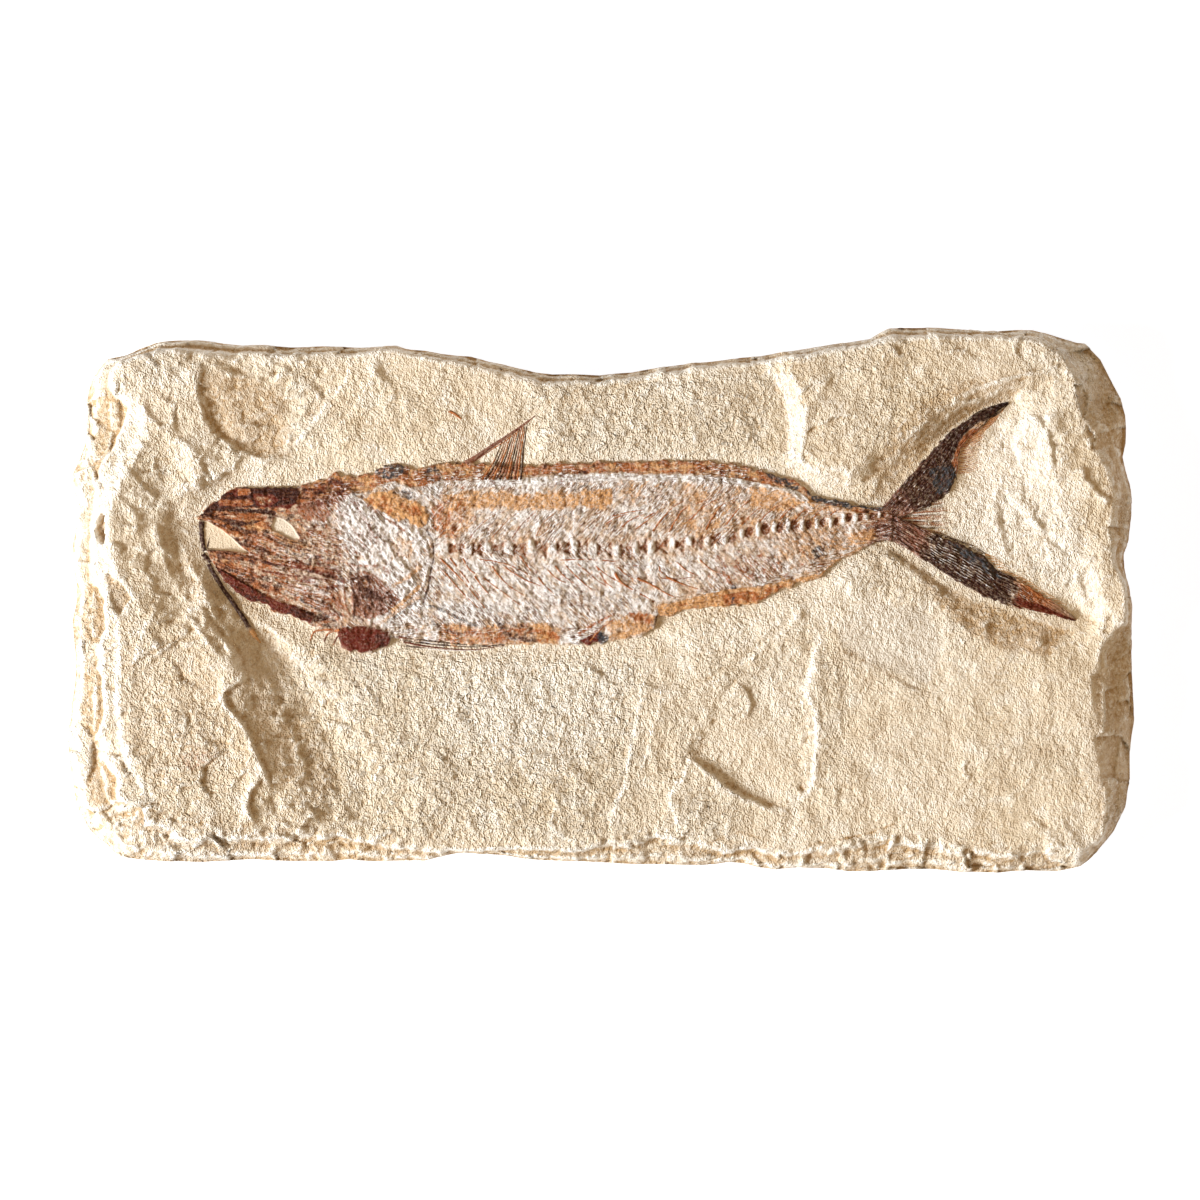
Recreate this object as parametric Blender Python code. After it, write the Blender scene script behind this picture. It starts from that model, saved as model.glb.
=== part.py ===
"""A fossil fish lying on the split face of a limestone slab, with two loose mouth bones and a stray bone splinter.

Run with: blender --background --python part.py

Lengths are in metres and +Z is up. The slab lies on its flat back, with its length along X and the fish's head
towards -X. The origin is the centre of the slab's footprint, on the surface that it lies on.

Plan outlines are drawn on a sheet whose unit is a set share of the slab's length. On the sheet x runs to the
right and y runs down, and on_plan() turns a sheet point into metres.
"""

import math

import bmesh
import bpy
import numpy as np
from mathutils import Vector, noise

# Driving dimensions, in metres.
SLAB_LENGTH = 0.332
FIELD_HEIGHT = 0.0186      # the open stone below and above the fish
BORDER_HEIGHT = 0.0250     # the raised border in front of the head
NORTH_EAST_HEIGHT = 0.0224  # the uncleared stone over the tail
EAST_HEIGHT = 0.0212       # the stone behind the tail
BED_HEIGHT = 0.0170        # the layer that the fish lies in
LIP_HEIGHT = 0.0110        # the slab's widest line, below its broken edge
BACK_INSET = 0.0035        # how far the back's edge lies inside the widest line
RECESS_DEPTH = 0.0008      # how deep the bones are let into the bed
FIT_GAP = 0.0004           # clearance between stone and bone
FIN_STEP = 0.00006         # each fin is let in a little less deeply than the one before
BODY_RISE = 0.0007         # the fish's rim above the bed
BODY_CROWN = 0.0010        # how much its flank rises above its rim
SPINE_RISE = 0.0008        # the vertebrae above the flank
RIB_RISE = 0.00025         # the ribs and spines above and below the flank's mean
BONE_RISE = 0.0010         # the loose bones above the bed
RAY_RISE = 0.0005          # the fin rays above their webs
BONE_SHOULDER = 0.0005     # how far a loose bone's sides fall below its ridge
FIELD_FACET = 0.0004       # how far the flaked facets of the open stone stand out
BORDER_FACET = 0.0009      # the same on the uncleared stone
EDGE_FACET = 0.0007        # the same down the broken edge
FIELD_SWELL = 0.0007       # how far the open stone rises and falls
LIP_SWELL = 0.0022         # how far the widest line rises and falls
SIDE_BELLY = 0.0010        # how far the side is drawn in half way down
BED_CLEARANCE = 0.0002     # the stone round the fish above the bed
DISH_DEPTH = 0.0018        # the hollow between the border and the fish's back
SCAR_DEPTH = 0.0010        # the flake scar below the fish
CUTTER_REACH = 0.0040      # how far a cutter passes what it cuts
BACK_CUTTER_DEPTH = 0.010

# The drawing sheet.
SHEET_SLAB_LENGTH = 1072.0
SHEET_CENTRE = (602.0, 600.5)
SHEET_FACETED = (0.0, 230.0, 1300.0, 990.0)  # the part of the sheet that the facets cover
UNIT = SLAB_LENGTH / SHEET_SLAB_LENGTH

# The slab's widest line, in four sides that meet at its corners. Each side runs left to right or top to bottom.
SLAB_TOP = [(98, 364), (116, 355), (136, 347), (158, 340), (200, 339), (240, 344), (320, 345), (396, 344),
            (410, 348), (470, 355), (504, 363), (536, 371), (568, 373), (616, 372), (680, 363), (760, 355),
            (872, 337), (890, 327), (936, 326), (1000, 329), (1036, 328), (1064, 336), (1088, 342), (1104, 358)]
SLAB_RIGHT = [(1104, 358), (1119, 386), (1129, 414), (1130, 442), (1127, 456), (1134, 484), (1135, 514),
              (1127, 554), (1131, 582), (1135, 612), (1137, 694), (1138, 722), (1134, 752), (1134, 780),
              (1129, 808), (1118, 832), (1100, 852)]
SLAB_BOTTOM = [(96, 842), (118, 858), (150, 862), (200, 864), (250, 861), (330, 863), (410, 862), (440, 858),
               (472, 855), (504, 857), (540, 862), (632, 866), (700, 867), (728, 864), (776, 871), (830, 870),
               (872, 873), (936, 871), (1000, 874), (1060, 873), (1084, 868), (1100, 852)]
SLAB_LEFT = [(98, 364), (87, 386), (83, 420), (80, 448), (69, 472), (75, 506), (69, 545), (74, 586), (69, 622),
             (73, 662), (68, 704), (63, 736), (68, 776), (76, 812), (96, 842)]

# Where the slab's face breaks away to its edge, clockwise from the top left.
FACE_EDGE = [(122, 366), (160, 356), (200, 360), (260, 362), (340, 358), (398, 353), (440, 362), (500, 378),
             (545, 388), (600, 385), (640, 380), (700, 372), (760, 366), (800, 360), (856, 351), (892, 343),
             (945, 344), (1000, 341), (1040, 342), (1055, 364), (1066, 392), (1080, 430), (1093, 454), (1114, 492),
             (1106, 528), (1109, 552), (1102, 588), (1096, 640), (1092, 680), (1093, 712), (1098, 770), (1108, 806),
             (1104, 832), (1080, 850), (1040, 843), (985, 846), (940, 838), (890, 829), (845, 836), (810, 842),
             (788, 852), (755, 843), (725, 847), (700, 836), (655, 827), (610, 838), (560, 849), (500, 849),
             (436, 850), (395, 838), (330, 827), (280, 823), (232, 831), (186, 824), (158, 800), (138, 780),
             (124, 752), (119, 715), (118, 660), (112, 610), (107, 566), (106, 510), (114, 478), (130, 448),
             (136, 408), (126, 388)]

# Each bank of stone rises, or sinks, from its toe to its brow. Both are closed, and the brow lies inside the toe.
BORDER_BROW = [(60, 300), (182, 300), (186, 358), (200, 373), (198, 392), (189, 404), (188, 425), (191, 446),
               (197, 457), (198, 470), (189, 486), (171, 498), (162, 509), (160, 524), (165, 546), (173, 562),
               (182, 579), (196, 598), (212, 624), (224, 643), (246, 668), (238, 679), (226, 690), (227, 703),
               (241, 714), (250, 730), (257, 750), (264, 769), (255, 786), (253, 800), (256, 818), (240, 900),
               (40, 900), (40, 300)]
BORDER_TOE = [(50, 280), (212, 280), (213, 345), (213, 374), (205, 393), (199, 408), (205, 425), (223, 440),
              (246, 452), (268, 459), (284, 469), (262, 478), (236, 484), (214, 490), (198, 500), (187, 514),
              (184, 532), (190, 552), (201, 570), (213, 589), (223, 606), (235, 623), (247, 642), (259, 656),
              (265, 673), (269, 688), (286, 705), (299, 723), (304, 743), (313, 763), (331, 786), (352, 806),
              (346, 828), (320, 920), (20, 920), (20, 280)]
DISH_BROW = [(228, 398), (242, 386), (264, 384), (284, 394), (290, 412), (276, 432), (256, 440), (238, 434),
             (225, 418)]
DISH_TOE = [(206, 366), (246, 362), (290, 368), (334, 370), (352, 384), (330, 410), (304, 438), (286, 455),
            (262, 457), (236, 449), (212, 431), (200, 406)]
NORTH_EAST_BROW = [(806, 300), (790, 372), (804, 402), (808, 430), (806, 452), (824, 468), (850, 474), (882, 440),
                   (960, 420), (1200, 420), (1200, 300)]
NORTH_EAST_TOE = [(770, 280), (764, 372), (783, 398), (789, 428), (786, 458), (806, 480), (850, 490), (880, 470),
                  (960, 460), (1240, 460), (1240, 280)]
EAST_BROW = [(1058, 380), (1060, 440), (1052, 480), (1075, 512), (1098, 548), (1106, 600), (1200, 640), (1200, 380)]
EAST_TOE = [(1020, 360), (1034, 440), (1026, 480), (1032, 508), (1062, 552), (1084, 590), (1096, 640),
            (1240, 680), (1240, 360)]
POCKET_BROW = [(872, 503), (888, 482), (908, 458), (930, 434), (954, 414), (984, 400), (1012, 394), (1014, 404),
               (1002, 426), (984, 450), (975, 490), (984, 530), (1008, 558), (1040, 580), (1078, 604), (1092, 624),
               (1060, 630), (1010, 618), (985, 608), (950, 592), (915, 566), (886, 548)]
POCKET_TOE = [(862, 492), (880, 462), (904, 430), (927, 404), (952, 388), (990, 374), (1034, 362), (1056, 370),
              (1058, 400), (1046, 440), (1040, 485), (1060, 520), (1092, 566), (1104, 604), (1098, 632),
              (1084, 648), (1045, 655), (1005, 642), (980, 625), (955, 606), (940, 590), (922, 567), (886, 556)]
SCAR_BROW = [(694, 752), (705, 758), (724, 775), (746, 791), (772, 803), (790, 800), (800, 775), (800, 740),
             (796, 700), (806, 660), (780, 662), (740, 700)]
SCAR_TOE = [(686, 752), (698, 765), (720, 782), (745, 799), (772, 810), (796, 808), (814, 782), (816, 740),
            (810, 694), (824, 640), (770, 640), (720, 690)]

# The fish's back and belly, from the snout to the root of the tail.
BACK_LINE = [(199, 514), (206, 507), (218, 498), (230, 490), (245, 487), (290, 486), (312, 482), (345, 474),
             (380, 467), (440, 462), (475, 461), (500, 466), (560, 464), (630, 460), (700, 459), (745, 465),
             (775, 474), (805, 488), (830, 497), (860, 504), (896, 506)]
BELLY_LINE = [(199, 520), (206, 553), (214, 564), (226, 579), (246, 598), (268, 607), (292, 616), (312, 626),
              (338, 631), (343, 648), (360, 653), (380, 649), (392, 641), (430, 645), (480, 649), (520, 645),
              (560, 641), (588, 646), (612, 642), (642, 636), (656, 620), (700, 612), (736, 606), (766, 600),
              (792, 586), (820, 575), (846, 560), (870, 546), (896, 541)]
SPINE_LINE = [(199, 517), (206, 528), (220, 536), (300, 540), (430, 549), (600, 548), (660, 545), (700, 540),
              (760, 530), (830, 523), (896, 521)]
SPINE_HALF_WIDTH = 8.0
SPINE_START, SPINE_END = 436.0, 896.0
VERTEBRA_COUNT = 25
HEAD_COLUMNS = 36
GILL_X = 432.0
MOUTH_GAP = [(190, 521), (209, 522), (228, 533), (250, 554), (209, 549.5), (208.5, 553), (190, 553)]
SKULL_RIDGES = [
    ([(222, 500), (250, 494), (292, 493)], 9.0, 0.0006),
    ([(206, 512), (240, 514), (268, 515)], 3.0, -0.0003),
    ([(222, 514), (252, 514), (264, 522)], 5.0, 0.0003),
    ([(211, 557), (250, 556), (276, 566), (330, 572)], 6.0, 0.0005),
    ([(216, 570), (240, 585), (266, 599), (300, 606)], 7.0, 0.0007),
    ([(340, 486), (362, 512), (386, 546), (412, 572)], 6.0, 0.0008),
    ([(412, 572), (402, 592), (388, 616)], 6.0, 0.0006),
    ([(422, 520), (433, 540), (434, 560), (424, 598)], 5.0, 0.0006),
    ([(352, 572), (356, 596), (364, 618)], 4.0, 0.0004),
    ([(300, 505), (322, 530), (330, 560)], 5.0, 0.0004),
    ([(338, 632), (352, 642), (380, 642)], 8.0, 0.0006),
    ([(300, 600), (320, 614), (344, 620)], 5.0, 0.0003),
]
EYE_WINDOW = [(271, 526), (276, 517), (284, 520), (297, 535), (298, 540), (285, 538)]
OPENINGS = {"mouth_gap": MOUTH_GAP, "eye_window": EYE_WINDOW}

# Fins: each lies between a leading edge and a trailing edge, both drawn from the root outwards.
UPPER_LOBE_LEADING = [(882, 508), (893, 491), (906, 476), (922, 460), (938, 441), (950, 430), (972, 414),
                      (1010, 401)]
UPPER_LOBE_TRAILING = [(888, 528), (916, 518), (936, 506), (952, 493), (958, 476), (960, 458), (984, 428),
                       (1011, 403)]
LOWER_LOBE_LEADING = [(880, 542), (904, 550), (922, 560), (942, 573), (966, 584), (988, 599), (1030, 609),
                      (1079, 622)]
LOWER_LOBE_TRAILING = [(888, 516), (918, 520), (944, 531), (966, 541), (986, 552), (1003, 568), (1034, 587),
                       (1080, 620)]
DORSAL_LEADING = [(466, 464), (484, 454), (506, 441), (521, 429), (534, 418)]
DORSAL_TRAILING = [(524, 482), (523, 466), (524, 448), (528, 432), (535, 419)]
PELVIC_LEADING = [(398, 646), (430, 648), (460, 651), (490, 651), (522, 647)]
PELVIC_TRAILING = [(398, 634), (430, 636), (460, 638), (490, 640), (523, 645)]
LOBE_RAYS, DORSAL_RAYS, PELVIC_RAYS = 5, 5, 2
RAY_COLUMNS = 9
FINS = {
    "pelvic_fin": (PELVIC_LEADING, PELVIC_TRAILING, PELVIC_RAYS),
    "dorsal_fin": (DORSAL_LEADING, DORSAL_TRAILING, DORSAL_RAYS),
    "lower_lobe": (LOWER_LOBE_LEADING, LOWER_LOBE_TRAILING, LOBE_RAYS),
    "upper_lobe": (UPPER_LOBE_LEADING, UPPER_LOBE_TRAILING, LOBE_RAYS),
}

# Loose bones: centreline points and half widths.
SNOUT_BONE = [(200.5, 523, 2.2), (200.5, 531, 3.6), (202, 541, 3.0), (204, 551, 2.2)]
NEEDLE_BONE = [(203.5, 556, 1.6), (212, 570, 2.6), (226, 592, 2.6), (240, 614, 3.0), (252, 634, 3.0),
               (259, 643, 1.4)]
STRAY_BONE = [(450, 412, 1.2), (455, 415, 2.0), (460, 420, 1.2)]
BONES = {"snout_bone": SNOUT_BONE, "needle_bone": NEEDLE_BONE, "stray_bone": STRAY_BONE}

# Resolution of the stone before it is thinned out.
GRID_COLUMNS, GRID_ROWS = 170, 86
THINNING = 0.137

# Sizes on the sheet of the stone's lumps and chips.
FACET_SIZE = 34.0           # of the flaked facets
EDGE_FACET_SIZE = 18.0      # of those down the broken edge
WANDER, WANDER_SIZE = 3.0, 26.0  # how far the banks' outlines wander, and over what length
SWELL_SIZE = 120.0
LIP_SWELL_SIZE = 70.0
LEDGE_WANDER, LEDGE_SIZE = 0.3, 50.0
LEDGE_COUNT = 2             # ledges in the broken edge
LEDGE_STEEPNESS = 1.7
BED_REACH = 26.0            # how far round the fish the stone is cleared down to the bed
MITRE_LIMIT = 0.5           # keeps a sharp corner's mitre short


def on_plan(x, y, z=0.0):
    """A sheet point in metres."""
    return Vector(((x - SHEET_CENTRE[0]) * UNIT, (SHEET_CENTRE[1] - y) * UNIT, z))


def clear_scene():
    for obj in list(bpy.data.objects):
        bpy.data.objects.remove(obj)


def new_collection(name):
    collection = bpy.data.collections.new(name)
    bpy.context.scene.collection.children.link(collection)
    return collection


def material(name, colour, roughness):
    made = bpy.data.materials.new(name)
    made.use_nodes = True
    shader = made.node_tree.nodes["Principled BSDF"]
    shader.inputs["Base Color"].default_value = (*colour, 1.0)
    shader.inputs["Roughness"].default_value = roughness
    return made


def object_from(name, mesh_builder, collection, finish=None):
    """A new object from a bmesh, which is freed."""
    mesh = bpy.data.meshes.new(name)
    mesh_builder.to_mesh(mesh)
    mesh_builder.free()
    obj = bpy.data.objects.new(name, mesh)
    if finish is not None:
        mesh.materials.append(finish)
    collection.objects.link(obj)
    return obj


def boolean(obj, other, operation):
    modifier = obj.modifiers.new(f"{operation.lower()} {other.name}", "BOOLEAN")
    modifier.operation = operation
    modifier.object = other


def as_cutter(obj):
    obj.hide_render = True
    obj.display_type = "WIRE"


# ---------------------------------------------------------------- the stone


def distance_inside(x, y, outline):
    """How far each sheet point lies inside a closed outline; negative outside it."""
    nearest = np.full(x.shape, 1e9)
    inside = np.zeros(x.shape, bool)
    for (ax, ay), (bx, by) in zip(outline, outline[1:] + outline[:1]):
        dx, dy = bx - ax, by - ay
        share = np.clip(((x - ax) * dx + (y - ay) * dy) / (dx * dx + dy * dy), 0, 1)
        nearest = np.minimum(nearest, np.hypot(x - ax - share * dx, y - ay - share * dy))
        if dy != 0:
            crosses = ((ay > y) != (by > y)) & (x < ax + (y - ay) / dy * dx)
            inside ^= crosses
    return np.where(inside, nearest, -nearest)


def bank_share(x, y, brow, toe):
    """0 outside the toe, 1 inside the brow, and the share of the way up between them."""
    past_toe = np.maximum(distance_inside(x, y, toe), 0)
    to_brow = np.maximum(-distance_inside(x, y, brow), 0)
    return np.where(past_toe > 0, past_toe / np.maximum(past_toe + to_brow, 1e-6), 0.0)


def eased(share):
    return share * share * (3 - 2 * share)


def ripple(x, y, size, seed):
    """Smooth noise from -1 to 1 whose lumps are about the given size on the sheet."""
    flat = [noise.noise(Vector((a / size, b / size, seed))) for a, b in zip(x.ravel(), y.ravel())]
    return np.array(flat).reshape(x.shape)


def facets(x, y, size, seed):
    """Flat chips about the given size on the sheet, each tilted its own way, from about -1 to 1."""
    chance = np.random.default_rng(seed)
    left, top, right, bottom = SHEET_FACETED
    columns, rows = int((right - left) / size), int((bottom - top) / size)
    across, down = np.meshgrid(np.arange(columns), np.arange(rows))
    seeds_x = left + (across + chance.uniform(0.1, 0.9, across.shape)).ravel() * size
    seeds_y = top + (down + chance.uniform(0.1, 0.9, down.shape)).ravel() * size
    tilt_x, tilt_y = chance.uniform(-1.2, 1.2, (2, seeds_x.size)) / size
    offset = chance.uniform(-0.4, 0.4, seeds_x.size)
    flat_x, flat_y = x.ravel(), y.ravel()
    nearest = np.argmin((flat_x[:, None] - seeds_x) ** 2 + (flat_y[:, None] - seeds_y) ** 2, axis=1)
    run_x, run_y = flat_x - seeds_x[nearest], flat_y - seeds_y[nearest]
    return (offset[nearest] + tilt_x[nearest] * run_x + tilt_y[nearest] * run_y).reshape(x.shape)


def ledged(share, x, y):
    """Turns a slope's share into ledges, where the stone has parted along its layers."""
    steps = LEDGE_COUNT * share + LEDGE_WANDER * ripple(x, y, LEDGE_SIZE, 7.7)
    tread = np.floor(steps)
    riser = eased(np.clip((steps - tread) * LEDGE_STEEPNESS, 0, 1))
    return np.clip((tread + riser) / LEDGE_COUNT, 0, 1)


def face_height(x, y):
    """The stone's surface over sheet points, in metres."""
    warp_x = x + WANDER * ripple(x, y, WANDER_SIZE, 1.7)
    warp_y = y + WANDER * ripple(x, y, WANDER_SIZE, 8.3)
    height = FIELD_HEIGHT + FIELD_SWELL * ripple(x, y, SWELL_SIZE, 3.1)
    for brow, toe, level in (
        (NORTH_EAST_BROW, NORTH_EAST_TOE, NORTH_EAST_HEIGHT),
        (EAST_BROW, EAST_TOE, EAST_HEIGHT),
        (POCKET_BROW, POCKET_TOE, BED_HEIGHT),
        (BORDER_BROW, BORDER_TOE, BORDER_HEIGHT),
        (DISH_BROW, DISH_TOE, FIELD_HEIGHT - DISH_DEPTH),
        (SCAR_BROW, SCAR_TOE, FIELD_HEIGHT - SCAR_DEPTH),
    ):
        share = eased(bank_share(warp_x, warp_y, brow, toe))
        height = height + (level - height) * share
    uncleared = eased(np.clip((height - FIELD_HEIGHT) / (NORTH_EAST_HEIGHT - FIELD_HEIGHT), 0, 1))
    height = height + (FIELD_FACET + (BORDER_FACET - FIELD_FACET) * uncleared) * facets(x, y, FACET_SIZE, 9)
    around_fish = -np.maximum.reduce([distance_inside(x, y, outline) for outline in bone_outlines()])
    bed_share = eased(np.clip(1 - around_fish / BED_REACH, 0, 1))
    low_stone = height < (BORDER_HEIGHT + FIELD_HEIGHT) / 2
    height = height + (BED_HEIGHT + BED_CLEARANCE - height) * bed_share * low_stone
    edge_share = bank_share(warp_x, warp_y, FACE_EDGE, slab_outline())
    lip = LIP_HEIGHT + LIP_SWELL * ripple(x, y, LIP_SWELL_SIZE, 6.4)
    broken = lip + (height - lip) * ledged(edge_share, x, y)
    broken = broken + EDGE_FACET * facets(x, y, EDGE_FACET_SIZE, 4)
    return np.where(edge_share >= 1, height, np.minimum(broken, height))


def slab_outline():
    return SLAB_TOP + SLAB_RIGHT[1:] + SLAB_BOTTOM[::-1][1:] + SLAB_LEFT[::-1][1:-1]


def bone_outlines():
    """The body and each fin, as closed outlines."""
    return [BACK_LINE + BELLY_LINE[::-1]] + [leading + trailing[::-1] for leading, trailing, _ in FINS.values()]


def along(points, share):
    """The point at each share of a polyline's length."""
    line = np.array(points, float)
    lengths = np.concatenate([[0], np.cumsum(np.hypot(*np.diff(line, axis=0).T))])
    at = share * lengths[-1]
    return np.stack([np.interp(at, lengths, line[:, 0]), np.interp(at, lengths, line[:, 1])], axis=-1)


def stone_plan(u, v):
    """Maps the unit square onto the slab: the four sides blended, less the corners counted twice."""
    u, v = u[..., None], v[..., None]
    top, bottom = along(SLAB_TOP, u[..., 0]), along(SLAB_BOTTOM, u[..., 0])
    left, right = along(SLAB_LEFT, v[..., 0]), along(SLAB_RIGHT, v[..., 0])
    corners = [np.array(side[end], float) for side in (SLAB_TOP, SLAB_BOTTOM) for end in (0, -1)]
    blend = (1 - v) * ((1 - u) * corners[0] + u * corners[1]) + v * ((1 - u) * corners[2] + u * corners[3])
    return (1 - v) * top + v * bottom + (1 - u) * left + u * right - blend


def build_slab(collection, finish):
    builder = bmesh.new()
    bmesh.ops.create_grid(builder, x_segments=GRID_COLUMNS, y_segments=GRID_ROWS, size=0.5)
    flat = np.array([vertex.co for vertex in builder.verts])
    plan = stone_plan(flat[:, 0] + 0.5, 0.5 - flat[:, 1])
    heights = face_height(plan[:, 0], plan[:, 1])
    for vertex, (x, y), height in zip(builder.verts, plan, heights):
        vertex.co = on_plan(x, y, height)
    lower_edge(builder, LIP_HEIGHT / 2, SIDE_BELLY)
    lower_edge(builder, -CUTTER_REACH / 4, BACK_INSET)
    bmesh.ops.edgeloop_fill(builder, edges=[edge for edge in builder.edges if edge.is_boundary])
    bmesh.ops.triangulate(builder, faces=builder.faces)
    bmesh.ops.recalc_face_normals(builder, faces=builder.faces)
    slab = object_from("slab", builder, collection, finish)
    thin = slab.modifiers.new("thin out", "DECIMATE")
    thin.ratio = THINNING
    return slab


def lower_edge(builder, height, inset):
    """Extrudes the open edge down to a height, drawn in towards the slab's middle."""
    edges = [edge for edge in builder.edges if edge.is_boundary]
    made = bmesh.ops.extrude_edge_only(builder, edges=edges)
    for vertex in (item for item in made["geom"] if isinstance(item, bmesh.types.BMVert)):
        inward = Vector((-vertex.co.x, -vertex.co.y * 2, 0)).normalized()
        uneven = 1 + 0.9 * noise.noise(Vector((vertex.co.x * 70, vertex.co.y * 70, height * 300)))
        vertex.co = Vector((vertex.co.x, vertex.co.y, height)) + inward * inset * uneven


def base_cutter(collection):
    """A block under the slab, which leaves its back flat at z = 0."""
    builder = bmesh.new()
    bmesh.ops.create_cube(builder, size=1.0)
    bmesh.ops.scale(builder, vec=(SLAB_LENGTH * 1.2, SLAB_LENGTH, BACK_CUTTER_DEPTH), verts=builder.verts)
    bmesh.ops.translate(builder, vec=(0, 0, -BACK_CUTTER_DEPTH / 2), verts=builder.verts)
    cutter = object_from("back_cutter", builder, collection)
    as_cutter(cutter)
    return cutter


# ---------------------------------------------------------------- the fish


def grown(points, margin):
    """A closed run of points moved outwards by a margin, with its corners mitred."""
    line = np.array(points, float)
    ahead = np.roll(line, -1, axis=0) - line
    ahead /= np.maximum(np.hypot(*ahead.T), 1e-9)[:, None]
    normal = np.stack([ahead[:, 1], -ahead[:, 0]], axis=1)
    before = np.roll(normal, 1, axis=0)
    shared = np.maximum(1 + np.sum(normal * before, axis=1), MITRE_LIMIT)
    area = np.sum(line[:, 0] * np.roll(line[:, 1], -1) - line[:, 1] * np.roll(line[:, 0], -1))
    return line + (normal + before) / shared[:, None] * margin * math.copysign(1.0, area)


def relief(name, columns, rows, place, height, floor, collection, finish=None, margin=0.0):
    """A closed solid from a grid: place(i, j) gives a sheet point and height(i, j) its top, over a flat floor."""
    builder = bmesh.new()
    bmesh.ops.create_grid(builder, x_segments=columns, y_segments=rows, size=0.5)
    for vertex in builder.verts:
        column = round((vertex.co.x + 0.5) * columns)
        row = round((vertex.co.y + 0.5) * rows)
        x, y = place(column, row)
        vertex.co = on_plan(x, y, height(column, row))
    rim = boundary_loop(builder)
    if margin:
        moved = grown([(vertex.co.x, vertex.co.y) for vertex in rim], margin)
        for vertex, (x, y) in zip(rim, moved):
            vertex.co.x, vertex.co.y = x, y
    edges = [edge for edge in builder.edges if edge.is_boundary]
    made = bmesh.ops.extrude_edge_only(builder, edges=edges)
    for vertex in (item for item in made["geom"] if isinstance(item, bmesh.types.BMVert)):
        vertex.co.z = floor
    bmesh.ops.edgeloop_fill(builder, edges=[edge for edge in builder.edges if edge.is_boundary])
    bmesh.ops.recalc_face_normals(builder, faces=builder.faces)
    return object_from(name, builder, collection, finish)


def boundary_loop(builder):
    """The open edge's vertices in order."""
    start = next(vertex for vertex in builder.verts if vertex.is_boundary)
    loop, last = [start], None
    while True:
        here = loop[-1]
        step = next(
            other
            for edge in here.link_edges
            if edge.is_boundary
            for other in [edge.other_vert(here)]
            if other is not last
        )
        if step is start:
            return loop
        last = here
        loop.append(step)


def line_y(line, x):
    return float(np.interp(x, [p[0] for p in line], [p[1] for p in line]))


def body_columns():
    """Sheet x of each column: even over the head, then three to a vertebra."""
    head = np.linspace(BACK_LINE[0][0], SPINE_START, HEAD_COLUMNS, endpoint=False)
    return np.concatenate([head, np.linspace(SPINE_START, SPINE_END, VERTEBRA_COUNT * 3 + 1)])


BODY_X = body_columns()
BELLY_ROWS, FLANK_ROWS = 5, 5
BODY_ROWS = BELLY_ROWS + 2 + FLANK_ROWS


def body_place(column, row):
    """Rows run from the belly to the spine's lower edge, over the spine, and on to the back."""
    x = BODY_X[column]
    belly, back, spine = line_y(BELLY_LINE, x), line_y(BACK_LINE, x), line_y(SPINE_LINE, x)
    half = min(SPINE_HALF_WIDTH, 0.3 * (belly - back))
    if row <= BELLY_ROWS:
        return x, belly + (spine + half - belly) * row / BELLY_ROWS
    if row == BELLY_ROWS + 1:
        return x, spine
    return x, spine - half + (back - spine + half) * (row - BELLY_ROWS - 2) / FLANK_ROWS


def skull_relief(x, y):
    """The bones of the head, each standing out along its own line."""
    rise = 0.0
    for line, half_width, bone_rise in SKULL_RIDGES:
        away = min(distance_to_piece(x, y, a, b) for a, b in zip(line, line[1:]))
        rise += bone_rise * max(0.0, 1 - (away / (half_width * 1.6)) ** 2)
    return rise


def distance_to_piece(x, y, a, b):
    run = Vector((b[0] - a[0], b[1] - a[1]))
    from_start = Vector((x - a[0], y - a[1]))
    share = min(1.0, max(0.0, from_start.dot(run) / run.length_squared))
    return (from_start - run * share).length


def body_height(column, row):
    x, y = body_place(column, row)
    belly, back = line_y(BELLY_LINE, x), line_y(BACK_LINE, x)
    across = (y - back) / (belly - back)
    crown = BODY_CROWN * max(0.0, 4 * across * (1 - across)) ** 0.5
    height = BED_HEIGHT + BODY_RISE + crown
    if x < GILL_X:
        return height + skull_relief(x, y)
    if row == BELLY_ROWS + 1:
        waist = 0.5 - 0.5 * math.cos(2 * math.pi * (column - HEAD_COLUMNS) / 3)
        return height + SPINE_RISE * (0.25 + 0.75 * waist)
    edge_rows = (0, 1, BODY_ROWS - 1, BODY_ROWS)
    if row in edge_rows:
        return height
    from_spine = abs(y - line_y(SPINE_LINE, x))
    pitch = (SPINE_END - SPINE_START) / VERTEBRA_COUNT
    return height + RIB_RISE * math.cos(2 * math.pi * (x - 0.9 * from_spine) / pitch)


def build_body(name, collection, finish=None, floor=None, top=None, margin=0.0):
    height = body_height if top is None else (lambda column, row: top)
    return relief(name, len(BODY_X) - 1, BODY_ROWS, body_place, height, floor, collection, finish, margin)


def fin_place(leading, trailing):
    """Places a fin's grid: columns run from root to tip, and rows from the leading to the trailing edge."""

    def place(column, row, rows):
        share = column / RAY_COLUMNS
        a, b = along(leading, np.array(share)), along(trailing, np.array(share))
        return tuple(a + (b - a) * row / rows)

    return place


def build_fin(name, leading, trailing, rays, collection, finish=None, floor=None, top=None, margin=0.0):
    """A fin whose rays stand up as ridges between its two edges."""
    rows = rays * 2
    placed = fin_place(leading, trailing)

    def height(column, row):
        if top is not None:
            return top
        root_share = 1 - column / RAY_COLUMNS
        return BED_HEIGHT + BODY_RISE * (0.55 + 0.4 * root_share) + RAY_RISE * (row % 2)

    return relief(name, RAY_COLUMNS, rows, lambda column, row: placed(column, row, rows), height, floor,
                  collection, finish, margin)


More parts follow.
